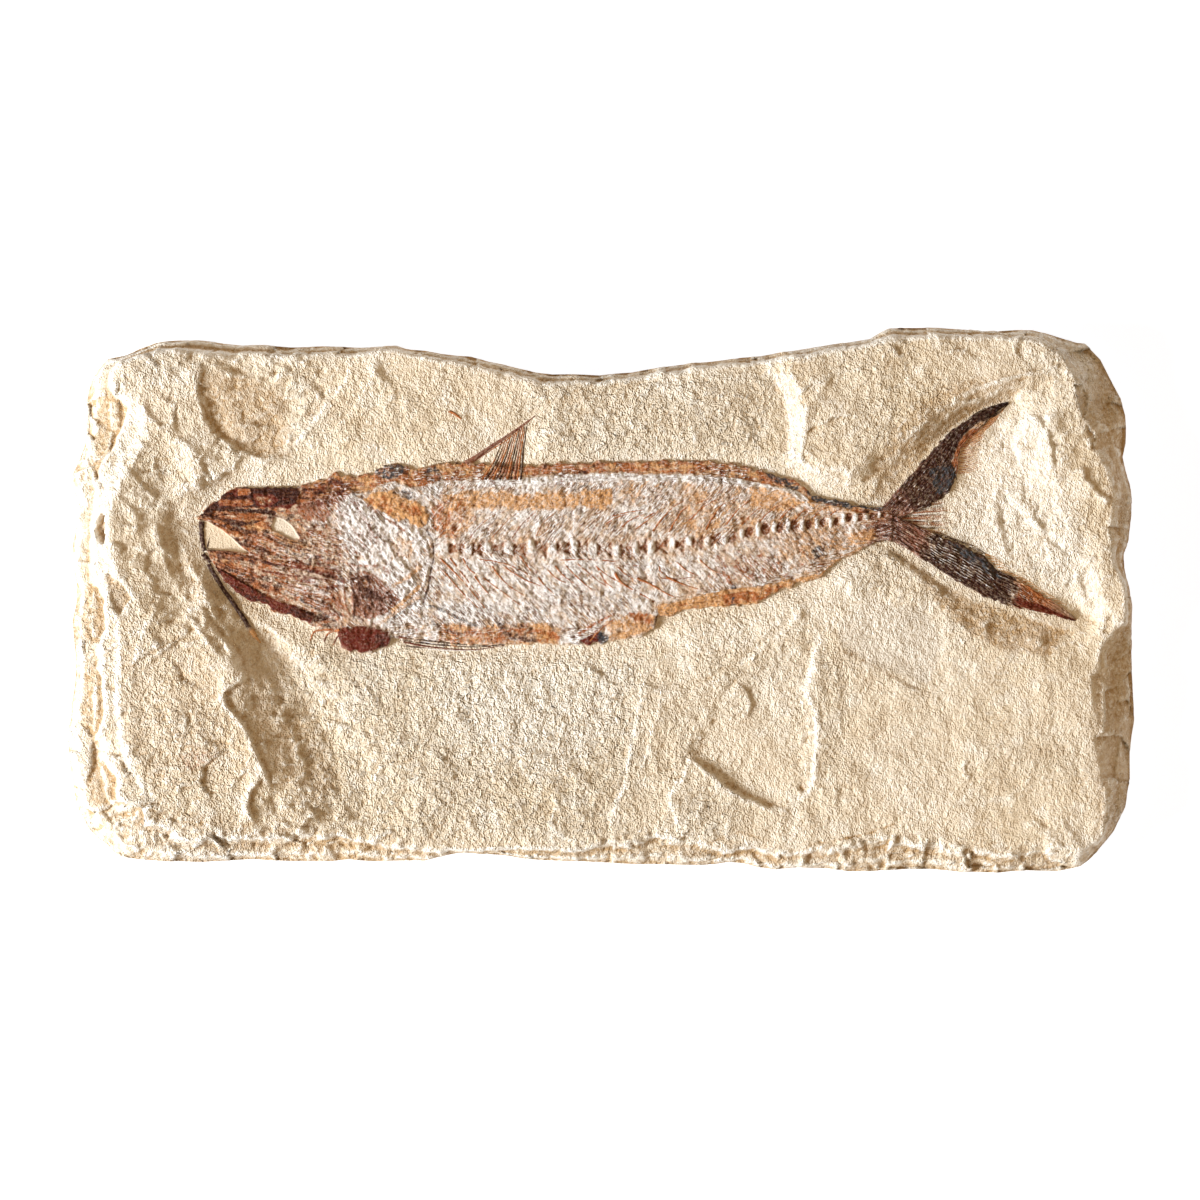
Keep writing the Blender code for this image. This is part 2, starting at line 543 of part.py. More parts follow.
def window_cutter(name, outline, collection):
    """A prism over a closed outline, tall enough to cut right through the fish."""
    builder = bmesh.new()
    corners = [builder.verts.new(on_plan(x, y, BED_HEIGHT - CUTTER_REACH)) for x, y in outline]
    base = builder.faces.new(corners)
    made = bmesh.ops.extrude_face_region(builder, geom=[base])
    risen = [item for item in made["geom"] if isinstance(item, bmesh.types.BMVert)]
    bmesh.ops.translate(builder, vec=(0, 0, BORDER_HEIGHT - BED_HEIGHT + 3 * CUTTER_REACH), verts=risen)
    bmesh.ops.recalc_face_normals(builder, faces=builder.faces)
    cutter = object_from(name, builder, collection)
    as_cutter(cutter)
    return cutter


def build_fish(collection, cutters, finish):
    floor = BED_HEIGHT - RECESS_DEPTH + FIT_GAP
    fish = build_body("fish", collection, finish, floor)
    for name, (leading, trailing, rays) in FINS.items():
        floor += FIN_STEP
        fin = build_fin(name, leading, trailing, rays, cutters, None, floor)
        as_cutter(fin)
        boolean(fish, fin, "UNION")
    for name, outline in OPENINGS.items():
        boolean(fish, window_cutter(name, outline, cutters), "DIFFERENCE")
    return fish


def cut_fish_recess(slab, cutters):
    """Lets the bed down under the fish and its fins, with a gap all round."""
    floor, top = BED_HEIGHT - RECESS_DEPTH, BORDER_HEIGHT + CUTTER_REACH
    recesses = [build_body("body_recess", cutters, None, floor, top, FIT_GAP)]
    for name, outline in OPENINGS.items():
        kept = grown(outline, -FIT_GAP / UNIT)
        boolean(recesses[0], window_cutter(f"{name}_stone", kept, cutters), "DIFFERENCE")
    for name, (leading, trailing, rays) in FINS.items():
        floor += FIN_STEP
        recesses.append(build_fin(f"{name}_recess", leading, trailing, rays, cutters, None, floor, top, FIT_GAP))
    for recess in recesses:
        as_cutter(recess)
        boolean(slab, recess, "DIFFERENCE")


# ---------------------------------------------------------------- the loose bones


def bone(name, line, floor, top, collection, finish=None, margin=0.0):
    """A bone laid along a centreline, flat below and ridged along its top."""
    count = len(line) - 1

    def place(column, row):
        x, y, half = line[column]
        ahead, behind = line[min(column + 1, count)], line[max(column - 1, 0)]
        run = Vector((ahead[0] - behind[0], ahead[1] - behind[1])).normalized()
        side = (row - 1) * half
        return x - run.y * side, y + run.x * side

    def height(column, row):
        return top if margin or row == 1 else top - BONE_SHOULDER

    return relief(name, count, 2, place, height, floor, collection, finish, margin)


def stone_under(line):
    """The height of the stone under the middle of a bone."""
    x, y, _ = line[len(line) // 2]
    return float(face_height(np.array([x]), np.array([y]))[0])


def build_bones(collection, cutters, slab, finish):
    for name, line in BONES.items():
        ground = stone_under(line)
        floor, top = ground - RECESS_DEPTH, BORDER_HEIGHT + CUTTER_REACH
        recess = bone(f"{name}_recess", line, floor, top, cutters, None, FIT_GAP)
        as_cutter(recess)
        boolean(slab, recess, "DIFFERENCE")
        bone(name, line, floor + FIT_GAP, ground + BONE_RISE, collection, finish)


def main():
    clear_scene()
    parts = new_collection("fossil fish slab")
    cutters = new_collection("cutters")
    limestone = material("limestone", (0.70, 0.58, 0.41), 0.95)
    fossil = material("fossil bone", (0.33, 0.16, 0.09), 0.5)
    dark_bone = material("dark bone", (0.05, 0.025, 0.02), 0.4)
    slab = build_slab(parts, limestone)
    boolean(slab, base_cutter(cutters), "DIFFERENCE")
    cut_fish_recess(slab, cutters)
    build_fish(parts, cutters, fossil)
    build_bones(parts, cutters, slab, dark_bone)


main()
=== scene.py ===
"""Visual model of a fossil fish that lies in the split face of a chipped limestone slab.

Lengths are in metres and +Z points up out of the fossil face. Outlines are drawn on a sheet whose x runs along the
slab towards the tail and whose y runs down towards the belly. `DrawingSheet` turns sheet points into metres.
"""

import logging
import math
from collections.abc import Callable, Sequence
from dataclasses import dataclass, field
from enum import Enum

import bmesh
import bpy
import numpy as np
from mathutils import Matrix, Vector


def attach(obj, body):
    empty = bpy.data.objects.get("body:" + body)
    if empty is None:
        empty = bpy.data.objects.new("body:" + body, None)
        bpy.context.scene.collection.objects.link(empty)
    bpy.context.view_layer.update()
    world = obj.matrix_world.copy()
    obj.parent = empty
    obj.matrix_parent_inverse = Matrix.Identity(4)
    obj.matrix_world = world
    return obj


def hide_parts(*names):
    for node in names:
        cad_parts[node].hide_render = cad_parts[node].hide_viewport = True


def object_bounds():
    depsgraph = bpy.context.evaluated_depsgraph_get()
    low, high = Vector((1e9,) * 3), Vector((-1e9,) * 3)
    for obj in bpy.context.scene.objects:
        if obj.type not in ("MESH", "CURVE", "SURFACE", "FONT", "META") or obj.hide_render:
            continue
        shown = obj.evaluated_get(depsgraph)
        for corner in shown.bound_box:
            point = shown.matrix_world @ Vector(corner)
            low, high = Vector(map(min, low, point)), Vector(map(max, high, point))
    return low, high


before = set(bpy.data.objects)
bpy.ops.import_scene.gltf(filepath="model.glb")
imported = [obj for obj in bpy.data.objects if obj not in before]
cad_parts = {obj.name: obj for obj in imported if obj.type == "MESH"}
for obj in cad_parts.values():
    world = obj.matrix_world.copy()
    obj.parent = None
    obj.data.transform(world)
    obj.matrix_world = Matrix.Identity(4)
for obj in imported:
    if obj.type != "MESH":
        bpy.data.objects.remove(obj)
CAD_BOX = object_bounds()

LOG = logging.getLogger("fossil fish slab")

Array = np.ndarray
Point = tuple[float, float]
Path = Sequence[Point]
Colour = tuple[float, float, float]
Span = tuple[float, float]
Surface = Callable[[Array, Array], Array]


# ------------------------------------------------------------------ sheet, noise and paths


@dataclass(frozen=True)
class DrawingSheet:
    """The flat sheet that every outline is drawn on."""

    slab_length: float = 0.332
    slab_units: float = 1072.0
    centre_x: float = 602.0
    centre_y: float = 600.5

    @property
    def unit(self) -> float:
        """Metres in one unit of the sheet."""
        return self.slab_length / self.slab_units

    def metres(self, x: Array, y: Array) -> tuple[Array, Array]:
        """Turn sheet points into metres.

        Args:
            x: Distances to the right.
            y: Distances down.

        Returns:
            The same points along the model's X and Y.
        """
        return (x - self.centre_x) * self.unit, (self.centre_y - y) * self.unit


SHEET = DrawingSheet()


@dataclass(frozen=True)
class Levels:
    """Heights above the slab's back, shared by the stone and by what lies in it."""

    field: float = 0.0186
    border: float = 0.0250
    north_east: float = 0.0224
    east: float = 0.0212
    bed: float = 0.0170
    lip: float = 0.0110


LEVELS = Levels()


class Grain:
    """Repeatable noise over the sheet."""

    LATTICE = 512
    JITTER = 0.38
    SMOOTH_SPAN = 1.5
    FRACTAL_SPAN = 1.3
    OCTAVE_SHIFT = (37.0, -91.0)
    FAR = 9.0

    def __init__(self, seed: int) -> None:
        """Make the lattice.

        Args:
            seed: Number that fixes the pattern.
        """
        chance = np.random.default_rng(seed)
        turn = chance.uniform(0, 2 * math.pi, self.LATTICE)
        self.order = chance.permutation(self.LATTICE)
        self.slope_x, self.slope_y = np.cos(turn), np.sin(turn)

    def _key(self, column: Array, row: Array) -> Array:
        """The lattice entry of a cell."""
        return self.order[(self.order[column % self.LATTICE] + row) % self.LATTICE]

    def smooth(self, x: Array, y: Array, size: float) -> Array:
        """Smooth noise from about -1 to 1.

        Args:
            x: Sheet distances to the right.
            y: Sheet distances down.
            size: Rough width of a lump.

        Returns:
            The noise at each point.
        """
        x, y = x / size, y / size
        left, top = np.floor(x).astype(int), np.floor(y).astype(int)
        across, down = x - left, y - top

        def corner(i: int, j: int) -> Array:
            """The slope of one lattice corner, carried to the point."""
            key = self._key(left + i, top + j)
            return self.slope_x[key] * (across - i) + self.slope_y[key] * (down - j)

        ease_x, ease_y = eased(across), eased(down)
        upper = corner(0, 0) * (1 - ease_x) + corner(1, 0) * ease_x
        lower = corner(0, 1) * (1 - ease_x) + corner(1, 1) * ease_x
        return self.SMOOTH_SPAN * (upper * (1 - ease_y) + lower * ease_y)

    def fractal(self, x: Array, y: Array, size: float, octaves: int = 4, gain: float = 0.55) -> Array:
        """Smooth noise with finer noise added to it.

        Args:
            x: Sheet distances to the right.
            y: Sheet distances down.
            size: Rough width of the largest lumps.
            octaves: How many sizes are added, each half the last.
            gain: The share of the last size's strength that the next has.

        Returns:
            The noise at each point, from about -1 to 1.
        """
        total, weight, share = np.zeros_like(x), 1.0, 0.0
        right, down = self.OCTAVE_SHIFT
        for octave in range(octaves):
            total = total + weight * self.smooth(x + right * octave, y + down * octave, size / 2**octave)
            share += weight
            weight *= gain
        return total / share * self.FRACTAL_SPAN

    def _seeds(self, x: Array, y: Array, size: float) -> list[tuple[Array, Array, Array]]:
        """Find the nine jittered seeds round each point.

        Args:
            x: Sheet distances to the right.
            y: Sheet distances down.
            size: Rough distance between seeds.

        Returns:
            For each seed, the distance across and down to it in cells, and its lattice entry.
        """
        x, y = x / size, y / size
        left, top = np.floor(x).astype(int), np.floor(y).astype(int)
        found = []
        for i in (-1, 0, 1):
            for j in (-1, 0, 1):
                key = self._key(left + i, top + j)
                seed_x = left + i + 0.5 + self.JITTER * self.slope_x[key]
                seed_y = top + j + 0.5 + self.JITTER * self.slope_y[key]
                found.append((x - seed_x, y - seed_y, key))
        return found

    def scoops(self, x: Array, y: Array, size: float, uneven: float = 0.35) -> Array:
        """Shallow bowls that meet at sharp ridges, as struck stone has.

        Args:
            x: Sheet distances to the right.
            y: Sheet distances down.
            size: Rough width of a bowl.
            uneven: How much some bowls lie deeper than others.

        Returns:
            Height from 0 in the deepest bowls to about 1 on the ridges.
        """
        best = np.full(x.shape, self.FAR)
        for across, down, key in self._seeds(x, y, size):
            best = np.minimum(best, across**2 + down**2 + uneven * key / self.LATTICE)
        return best

    def chips(self, x: Array, y: Array, size: float, tilt: float = 1.0) -> Array:
        """Flat chips, each tilted its own way, with small steps where they meet.

        Args:
            x: Sheet distances to the right.
            y: Sheet distances down.
            size: Rough width of a chip.
            tilt: How steeply a chip leans.

        Returns:
            Height from about -1 to 1.
        """
        best, height = np.full(x.shape, self.FAR), np.zeros(x.shape)
        for across, down, key in self._seeds(x, y, size):
            away = across**2 + down**2
            plane = tilt * (across * self.slope_y[key] - down * self.slope_x[key]) + 0.5 * key / self.LATTICE
            height = np.where(away < best, plane, height)
            best = np.minimum(best, away)
        return height - 0.25

    def shards(self, x: Array, y: Array, run: float, width: float, heading: float) -> tuple[Array, Array,
                                                                                            Array]:
        """Long splinters that lie along a heading, each with its own number.

        Args:
            x: Sheet distances to the right.
            y: Sheet distances down.
            run: Rough length of a splinter.
            width: Rough width of a splinter.
            heading: The way the splinters lie, in radians, clockwise on the sheet.

        Returns:
            Each point's splinter number from 0 to 1, its height from about -1 to 1, and how near it is to the
            splinter's edge, from 0 in the middle to 1 on the edge.
        """
        bend = 0.45 * width * self.fractal(x + 19, y - 7, 5.0 * width, 2)
        length = (x * math.cos(heading) + y * math.sin(heading)) / run
        cross = (y * math.cos(heading) - x * math.sin(heading) + bend) / width
        best, second = np.full(x.shape, self.FAR), np.full(x.shape, self.FAR)
        number, height = np.zeros(x.shape), np.zeros(x.shape)
        for across, down, key in self._seeds(length, cross, 1.0):
            away = across**2 + down**2
            closer = away < best
            second = np.where(closer, best, np.minimum(second, away))
            number = np.where(closer, key / self.LATTICE, number)
            lean = 1.3 * down * self.slope_y[key] + 0.5 * across * self.slope_x[key] + key / self.LATTICE - 0.5
            height = np.where(closer, lean, height)
            best = np.where(closer, away, best)
        edge = 1 - np.clip((np.sqrt(second) - np.sqrt(best)) / 0.35, 0, 1)
        return number, height, edge


def eased(share: Array) -> Array:
    """An S curve over shares from 0 to 1."""
    share = np.clip(share, 0.0, 1.0)
    return share * share * (3 - 2 * share)


def near_path(x: Array, y: Array, path: Path, closed: bool = False) -> tuple[Array, Array, Array]:
    """Measure sheet points from a path.

    Args:
        x: Sheet distances to the right.
        y: Sheet distances down.
        path: The path's corners.
        closed: Whether the last corner joins the first.

    Returns:
        The distance, the side (1 to the right of the way the path runs, -1 to the left), and the share of the
        path's length that has passed at the nearest point.
    """
    nearest, side, share = np.full(x.shape, 1e9), np.ones(x.shape), np.zeros(x.shape)
    corners = list(path) + [path[0]] if closed else list(path)
    lengths = [math.dist(a, b) for a, b in zip(corners, corners[1:])]
    total, passed = max(sum(lengths), 1e-9), 0.0
    for (ax, ay), (bx, by), length in zip(corners, corners[1:], lengths):
        dx, dy = bx - ax, by - ay
        along = np.clip(((x - ax) * dx + (y - ay) * dy) / max(length * length, 1e-9), 0, 1)
        off_x, off_y = x - ax - along * dx, y - ay - along * dy
        away = np.hypot(off_x, off_y)
        closer = away < nearest
        nearest = np.where(closer, away, nearest)
        side = np.where(closer, np.where(dx * off_y - dy * off_x >= 0, 1.0, -1.0), side)
        share = np.where(closer, (passed + along * length) / total, share)
        passed += length
    return nearest, side, share


def depth_inside(x: Array, y: Array, outline: Path) -> Array:
    """Measure how far sheet points lie inside a closed outline.

    Args:
        x: Sheet distances to the right.
        y: Sheet distances down.
        outline: The outline's corners.

    Returns:
        The distance to the outline, negative outside it.
    """
    nearest = near_path(x, y, outline, closed=True)[0]
    inside = np.zeros(x.shape, bool)
    for (ax, ay), (bx, by) in zip(outline, list(outline[1:]) + [outline[0]]):
        if by != ay:
            inside ^= ((ay > y) != (by > y)) & (x < ax + (y - ay) / (by - ay) * (bx - ax))
    return np.where(inside, nearest, -nearest)


def bank_share(x: Array, y: Array, brow: Path, toe: Path) -> Array:
    """Measure how far up a bank sheet points lie.

    Args:
        x: Sheet distances to the right.
        y: Sheet distances down.
        brow: The closed line where the bank ends.
        toe: The closed line round it, where the bank starts.

    Returns:
        The share of the way up: 0 outside the toe and 1 inside the brow.
    """
    past_toe = np.maximum(depth_inside(x, y, toe), 0)
    to_brow = np.maximum(-depth_inside(x, y, brow), 0)
    return np.where(past_toe > 0, past_toe / np.maximum(past_toe + to_brow, 1e-6), 0.0)


def along(path: Path, share: Array) -> Array:
    """Find the points at shares of a path's length.

    Args:
        path: The path's corners.
        share: The shares, from 0 to 1.

    Returns:
        The points, as pairs.
    """
    line = np.array(path, float)
    lengths = np.concatenate([[0], np.cumsum(np.hypot(*np.diff(line, axis=0).T))])
    at = np.asarray(share) * lengths[-1]
    return np.stack([np.interp(at, lengths, line[:, 0]), np.interp(at, lengths, line[:, 1])], axis=-1)


def at_x(path: Path, x: Array) -> Array:
    """The height on the sheet of a left-to-right path at each x."""
    return np.interp(x, [point[0] for point in path], [point[1] for point in path])


# ------------------------------------------------------------------ relief and coats


class Coat(Enum):
    """What a surface is coloured by. Each is a mesh attribute from 0 to 1."""

    DARK = "dark bone"
    RUST = "rust bone"
    AMBER = "amber bone"
    MAUVE = "mauve bone"
    BLOOD = "oxblood bone"
    SOOT = "soot"
    # Chalky white of the bone and of pale stone; on the stone it is also painted highlight along cliff faces that face
    # the light.
    CHALK = "chalk"
    MATRIX = "matrix"
    # Painted shade in the stone's hollows, cracks and shaded slopes and between the bone's splinters, with some tan
    # tone of the stone's own.
    HOLLOW = "hollow"
    # Painted highlight on points that stand proud of the ground round them.
    CREST = "crest"
    ROUGH = "rough"
    FIBRE_JAW = "jaw fibre"
    FIBRE_RIB = "rib fibre"
    FIBRE_SPINE = "spine fibre"


@dataclass
class Relief:
    """A surface over sheet points, with its height and the coats painted on it."""

    x: Array
    y: Array
    height: Array
    grain: Grain
    coats: dict[Coat, Array] = field(default_factory=dict)

    def coat(self, name: Coat) -> Array:
        """The values of a coat, made blank the first time."""
        return self.coats.setdefault(name, np.zeros(self.x.shape))

    def _near(self, path: Path, reach: float) -> Array:
        """Find the points near a path.

        Args:
            path: The path's corners.
            reach: How far outside the path's box a point may lie.

        Returns:
            The indices of those points.
        """
        xs, ys = [point[0] for point in path], [point[1] for point in path]
        return np.nonzero(
            (self.x > min(xs) - reach)
            & (self.x < max(xs) + reach)
            & (self.y > min(ys) - reach)
            & (self.y < max(ys) + reach)
        )[0]

    def stroke(
        self,
        path: Path,
        width: float,
        coat: Coat | None = None,
        strength: float = 1.0,
        rise: float = 0.0,
        ragged: float = 0.6,
        taper: Span = (1.0, 1.0),
        feather: float = 0.9,
        broken: float = 0.0,
    ) -> None:
        """Draw a line: a raised or sunk ridge, a painted streak, or both.

        Args:
            path: Where the line runs.
            width: Its full width on the sheet.
            coat: The coat it paints, or none.
            strength: How strongly it paints.
            rise: How high its crest stands, in metres.
            ragged: How far its edge wanders, in units of the sheet.
            taper: The share of the width at the line's start and end.
            feather: The width over which its paint fades in from its edge.
            broken: How far its paint is worn through.
        """
        here = self._near(path, width + 2 * ragged + feather + 2)
        if not here.size:
            return
        x, y = self.x[here], self.y[here]
        away, _, share = near_path(x, y, path)
        away = away + ragged * self.grain.smooth(x, y, 4.0)
        half = 0.5 * width * (taper[0] + (taper[1] - taper[0]) * share)
        if rise:
            self.height[here] += rise * eased(1.25 - away / np.maximum(half, 0.3))
        if coat is not None:
            mask = strength * np.clip((half - away) / feather + 0.5, 0, 1)
            mask = mask * np.clip(1 - broken * (0.35 - 0.9 * self.grain.fractal(x + 71, y, 7.0, 2)), 0, 1)
            self.coat(coat)[here] = np.maximum(self.coat(coat)[here], mask)

    def patch(
        self,
        outline: Path,
        coat: Coat | None = None,
        strength: float = 1.0,
        feather: float = 2.0,
        rise: float = 0.0,
        ragged: float = 1.5,
    ) -> None:
        """Fill an outline: a raised or sunk plate, a painted area, or both.

        Args:
            outline: The area's corners.
            coat: The coat it paints, or none. A negative strength rubs the coat off.
            strength: How strongly it paints.
            feather: The width over which it fades in from its edge.
            rise: How high it stands, in metres.
            ragged: How far its edge wanders.
        """
        here = self._near(outline, feather + 2 * ragged)
        if not here.size:
            return
        x, y = self.x[here], self.y[here]
        depth = depth_inside(x, y, outline) + ragged * self.grain.fractal(x, y, 9.0, 3)
        mask = eased(depth / feather + 0.5)
        if rise:
            self.height[here] += rise * mask
        if coat is None:
            return
        painted = self.coat(coat)[here]
        if strength < 0:
            self.coat(coat)[here] = painted * (1 + strength * mask)
        else:
            self.coat(coat)[here] = np.maximum(painted, strength * mask)

    def step(self, path: Path, drop: float, run: float, crisp: float = 1.5, ragged: float = 1.0) -> None:
        """A little cliff: the ground on the path's left stands up to its edge, and falls away behind it.

        Args:
            path: The cliff's edge, with the high ground on its left.
            drop: How high the cliff stands, in metres.
            run: How far back the high ground reaches.
            crisp: The width of the cliff's face.
            ragged: How far the edge wanders.
        """
        here = self._near(path, run * 2 + 2)
        if not here.size:
            return
        x, y = self.x[here], self.y[here]
        away, side, share = near_path(x, y, path)
        behind = -side * away + ragged * self.grain.fractal(x, y, 11.0, 3)
        ends = eased(np.minimum(share, 1 - share) * 7)
        self.height[here] += drop * ends * np.clip(behind / crisp + 0.5, 0,
                                                   1) * np.exp(-np.maximum(behind, 0) / run)

    def lay(self, plate: "Plate") -> None:
        """Fill a plate's outline."""
        self.patch(plate.outline, plate.coat, plate.strength, plate.feather, plate.rise, plate.ragged)


@dataclass(frozen=True)
class Plate:
    """A plate or patch of a surface: its outline and how it is coloured and raised."""

    outline: Path
    coat: Coat | None = None
    strength: float = 1.0
    rise: float = 0.0
    feather: float = 2.5
    ragged: float = 1.5


@dataclass(frozen=True)
class Streak:
    """A line drawn on a surface: where it runs, how wide it is and how it is coloured and raised."""

    path: Path
    width: float
    coat: Coat | None = None
    strength: float = 1.0
    rise: float = 0.0
    taper: Span = (1.0, 1.0)


# ------------------------------------------------------------------ meshes


# Coats that follow the ground's own shape: painted shade with some tan tone, chalky white with painted highlight, and
# painted highlight on proud points. They fade by this share at each ring down a piece's side.
SHADE_AND_HIGHLIGHT_COATS = (Coat.HOLLOW, Coat.CHALK, Coat.CREST)
SKIRT_FADE = 0.3

# How far below its surroundings a point lies before painted shade is laid on it, or above them before painted
# highlight is.
SHADE_FROM = 0.35
SHADE_GAIN = 0.6
SHADE_LEAST = -0.08
HIGHLIGHT_FROM = 0.25


def finished_piece(
    name: str, builder: bmesh.types.BMesh, finish: bpy.types.Material, nodes: Sequence[str]
) -> bpy.types.Object:
    """Turn a bmesh into a piece of the model.

    Args:
        name: The piece's name.
        builder: Its mesh, which is freed.
        finish: Its material.
        nodes: The CAD nodes that it stands for.

    Returns:
        The new object.
    """
    mesh = bpy.data.meshes.new(name)
    builder.to_mesh(mesh)
    builder.free()
    return placed_piece(name, mesh, finish, nodes)


def placed_piece(
    name: str, mesh: bpy.types.Mesh, finish: bpy.types.Material, nodes: Sequence[str]
) -> bpy.types.Object:
    """Put a mesh into the model as a piece, held inside the CAD model's box.

    Args:
        name: The piece's name.
        mesh: Its mesh, in place.
        finish: Its material.
        nodes: The CAD nodes that it stands for.

    Returns:
        The new object.
    """
    flat = np.empty(len(mesh.vertices) * 3)
    mesh.vertices.foreach_get("co", flat)
    low, high = (np.array(corner) for corner in CAD_BOX)
    mesh.vertices.foreach_set("co", np.clip(flat.reshape(-1, 3), low, high).ravel())
    mesh.materials.clear()
    mesh.materials.append(finish)
    piece = bpy.data.objects.new(name, mesh)
    bpy.context.scene.collection.objects.link(piece)
    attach(piece, "root")
    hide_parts(*nodes)
    LOG.info("%s: %d faces", name, len(mesh.polygons))
    return piece


def grid_mesh(name: str, columns: int, rows: int, place: Callable[[Array, Array], Relief]) -> bpy.types.Mesh:
    """Lay a grid over the sheet.

    Args:
        name: The mesh's name.
        columns: Quads along the grid.
        rows: Quads across it.
        place: Takes shares along and across and returns the relief there.

    Returns:
        An open mesh, facing up, with the relief's coats as attributes, to which painted shade and painted highlight
        are added from how far each point lies below or above the ground round it.
    """
    builder = bmesh.new()
    bmesh.ops.create_grid(builder, x_segments=columns, y_segments=rows, size=0.5)
    mesh = bpy.data.meshes.new(name)
    builder.to_mesh(mesh)
    builder.free()
    flat = np.empty(len(mesh.vertices) * 3)
    mesh.vertices.foreach_get("co", flat)
    flat = flat.reshape(-1, 3)
    relief = place(np.clip(flat[:, 0] + 0.5, 0, 1), np.clip(0.5 - flat[:, 1], 0, 1))
    flat[:, 0], flat[:, 1] = SHEET.metres(relief.x, relief.y)
    flat[:, 2] = relief.height
    mesh.vertices.foreach_set("co", flat.ravel())
    # Painted shade where a point lies below the ground round it, and painted highlight where it stands proud.
    pits = sunken(flat[:, 2], columns, rows)
    pit_shade = SHADE_GAIN * np.clip(pits - SHADE_FROM, SHADE_LEAST, None)
    relief.coats[Coat.HOLLOW] = np.clip(relief.coats.get(Coat.HOLLOW, 0.0) + pit_shade, 0, 1)
    relief.coats[Coat.CREST] = np.clip(-pits - HIGHLIGHT_FROM, 0, 1)
    for coat, values in relief.coats.items():
        layer = mesh.attributes.new(coat.value, "FLOAT", "POINT")
        layer.data.foreach_set("value", np.clip(values, 0, 1))
    mesh.update()
    return mesh


def sunken(height: Array, columns: int, rows: int, reach: int = 3, full: float = 0.00035) -> Array:
    """How far each point of a grid lies below the ground round it.

    Args:
        height: The heights of the grid's points, row by row.
        columns: Quads along the grid.
        rows: Quads across it.
        reach: How many points away the ground is taken from.
        full: The depth, in metres, that counts as 1.

    Returns:
        A share for each point, negative where it stands proud.
    """
    table = height.reshape(rows + 1, columns + 1)
    around = table.copy()
    for axis in (0, 1):
        padded = np.pad(around, [(reach, reach) if axis == side else (0, 0) for side in (0, 1)], mode="edge")
        length = table.shape[axis]
        around = sum(np.take(padded, range(shift, shift + length),
                             axis=axis) for shift in range(2 * reach + 1))
        around = around / (2 * reach + 1)
    return ((around - table) / full).ravel()


def close_below(mesh: bpy.types.Mesh, skirt: Sequence[Callable[[Vector], Vector]]) -> bmesh.types.BMesh:
    """Close an open sheet with a skirt round its edge, where its coats of painted shade, chalky white and painted
    highlight fade, and one face under it.

    Args:
        mesh: The open sheet, which is removed.
        skirt: For each ring of the skirt, where a vertex of the ring above goes.

    Returns:
        The closed solid.
    """
    builder = bmesh.new()
    builder.from_mesh(mesh)
    bpy.data.meshes.remove(mesh)
    for face in builder.faces:
        face.smooth = True
    rim = [edge for edge in builder.edges if edge.is_boundary]
    for edge in rim:
        edge.smooth = False
    painted = [builder.verts.layers.float[coat.value] for coat in SHADE_AND_HIGHLIGHT_COATS if coat.value in builder.verts.layers.float]
    for ring in skirt:
        made = bmesh.ops.extrude_edge_only(builder, edges=rim)["geom"]
        for vertex in (item for item in made if isinstance(item, bmesh.types.BMVert)):
            vertex.co = ring(vertex.co)
            for layer in painted:
                vertex[layer] *= SKIRT_FADE
        rim = [item for item in made if isinstance(item, bmesh.types.BMEdge) and item.is_boundary]
    bmesh.ops.edgeloop_fill(builder, edges=rim)
    bmesh.ops.recalc_face_normals(builder, faces=builder.faces)
    return builder


# ------------------------------------------------------------------ materials


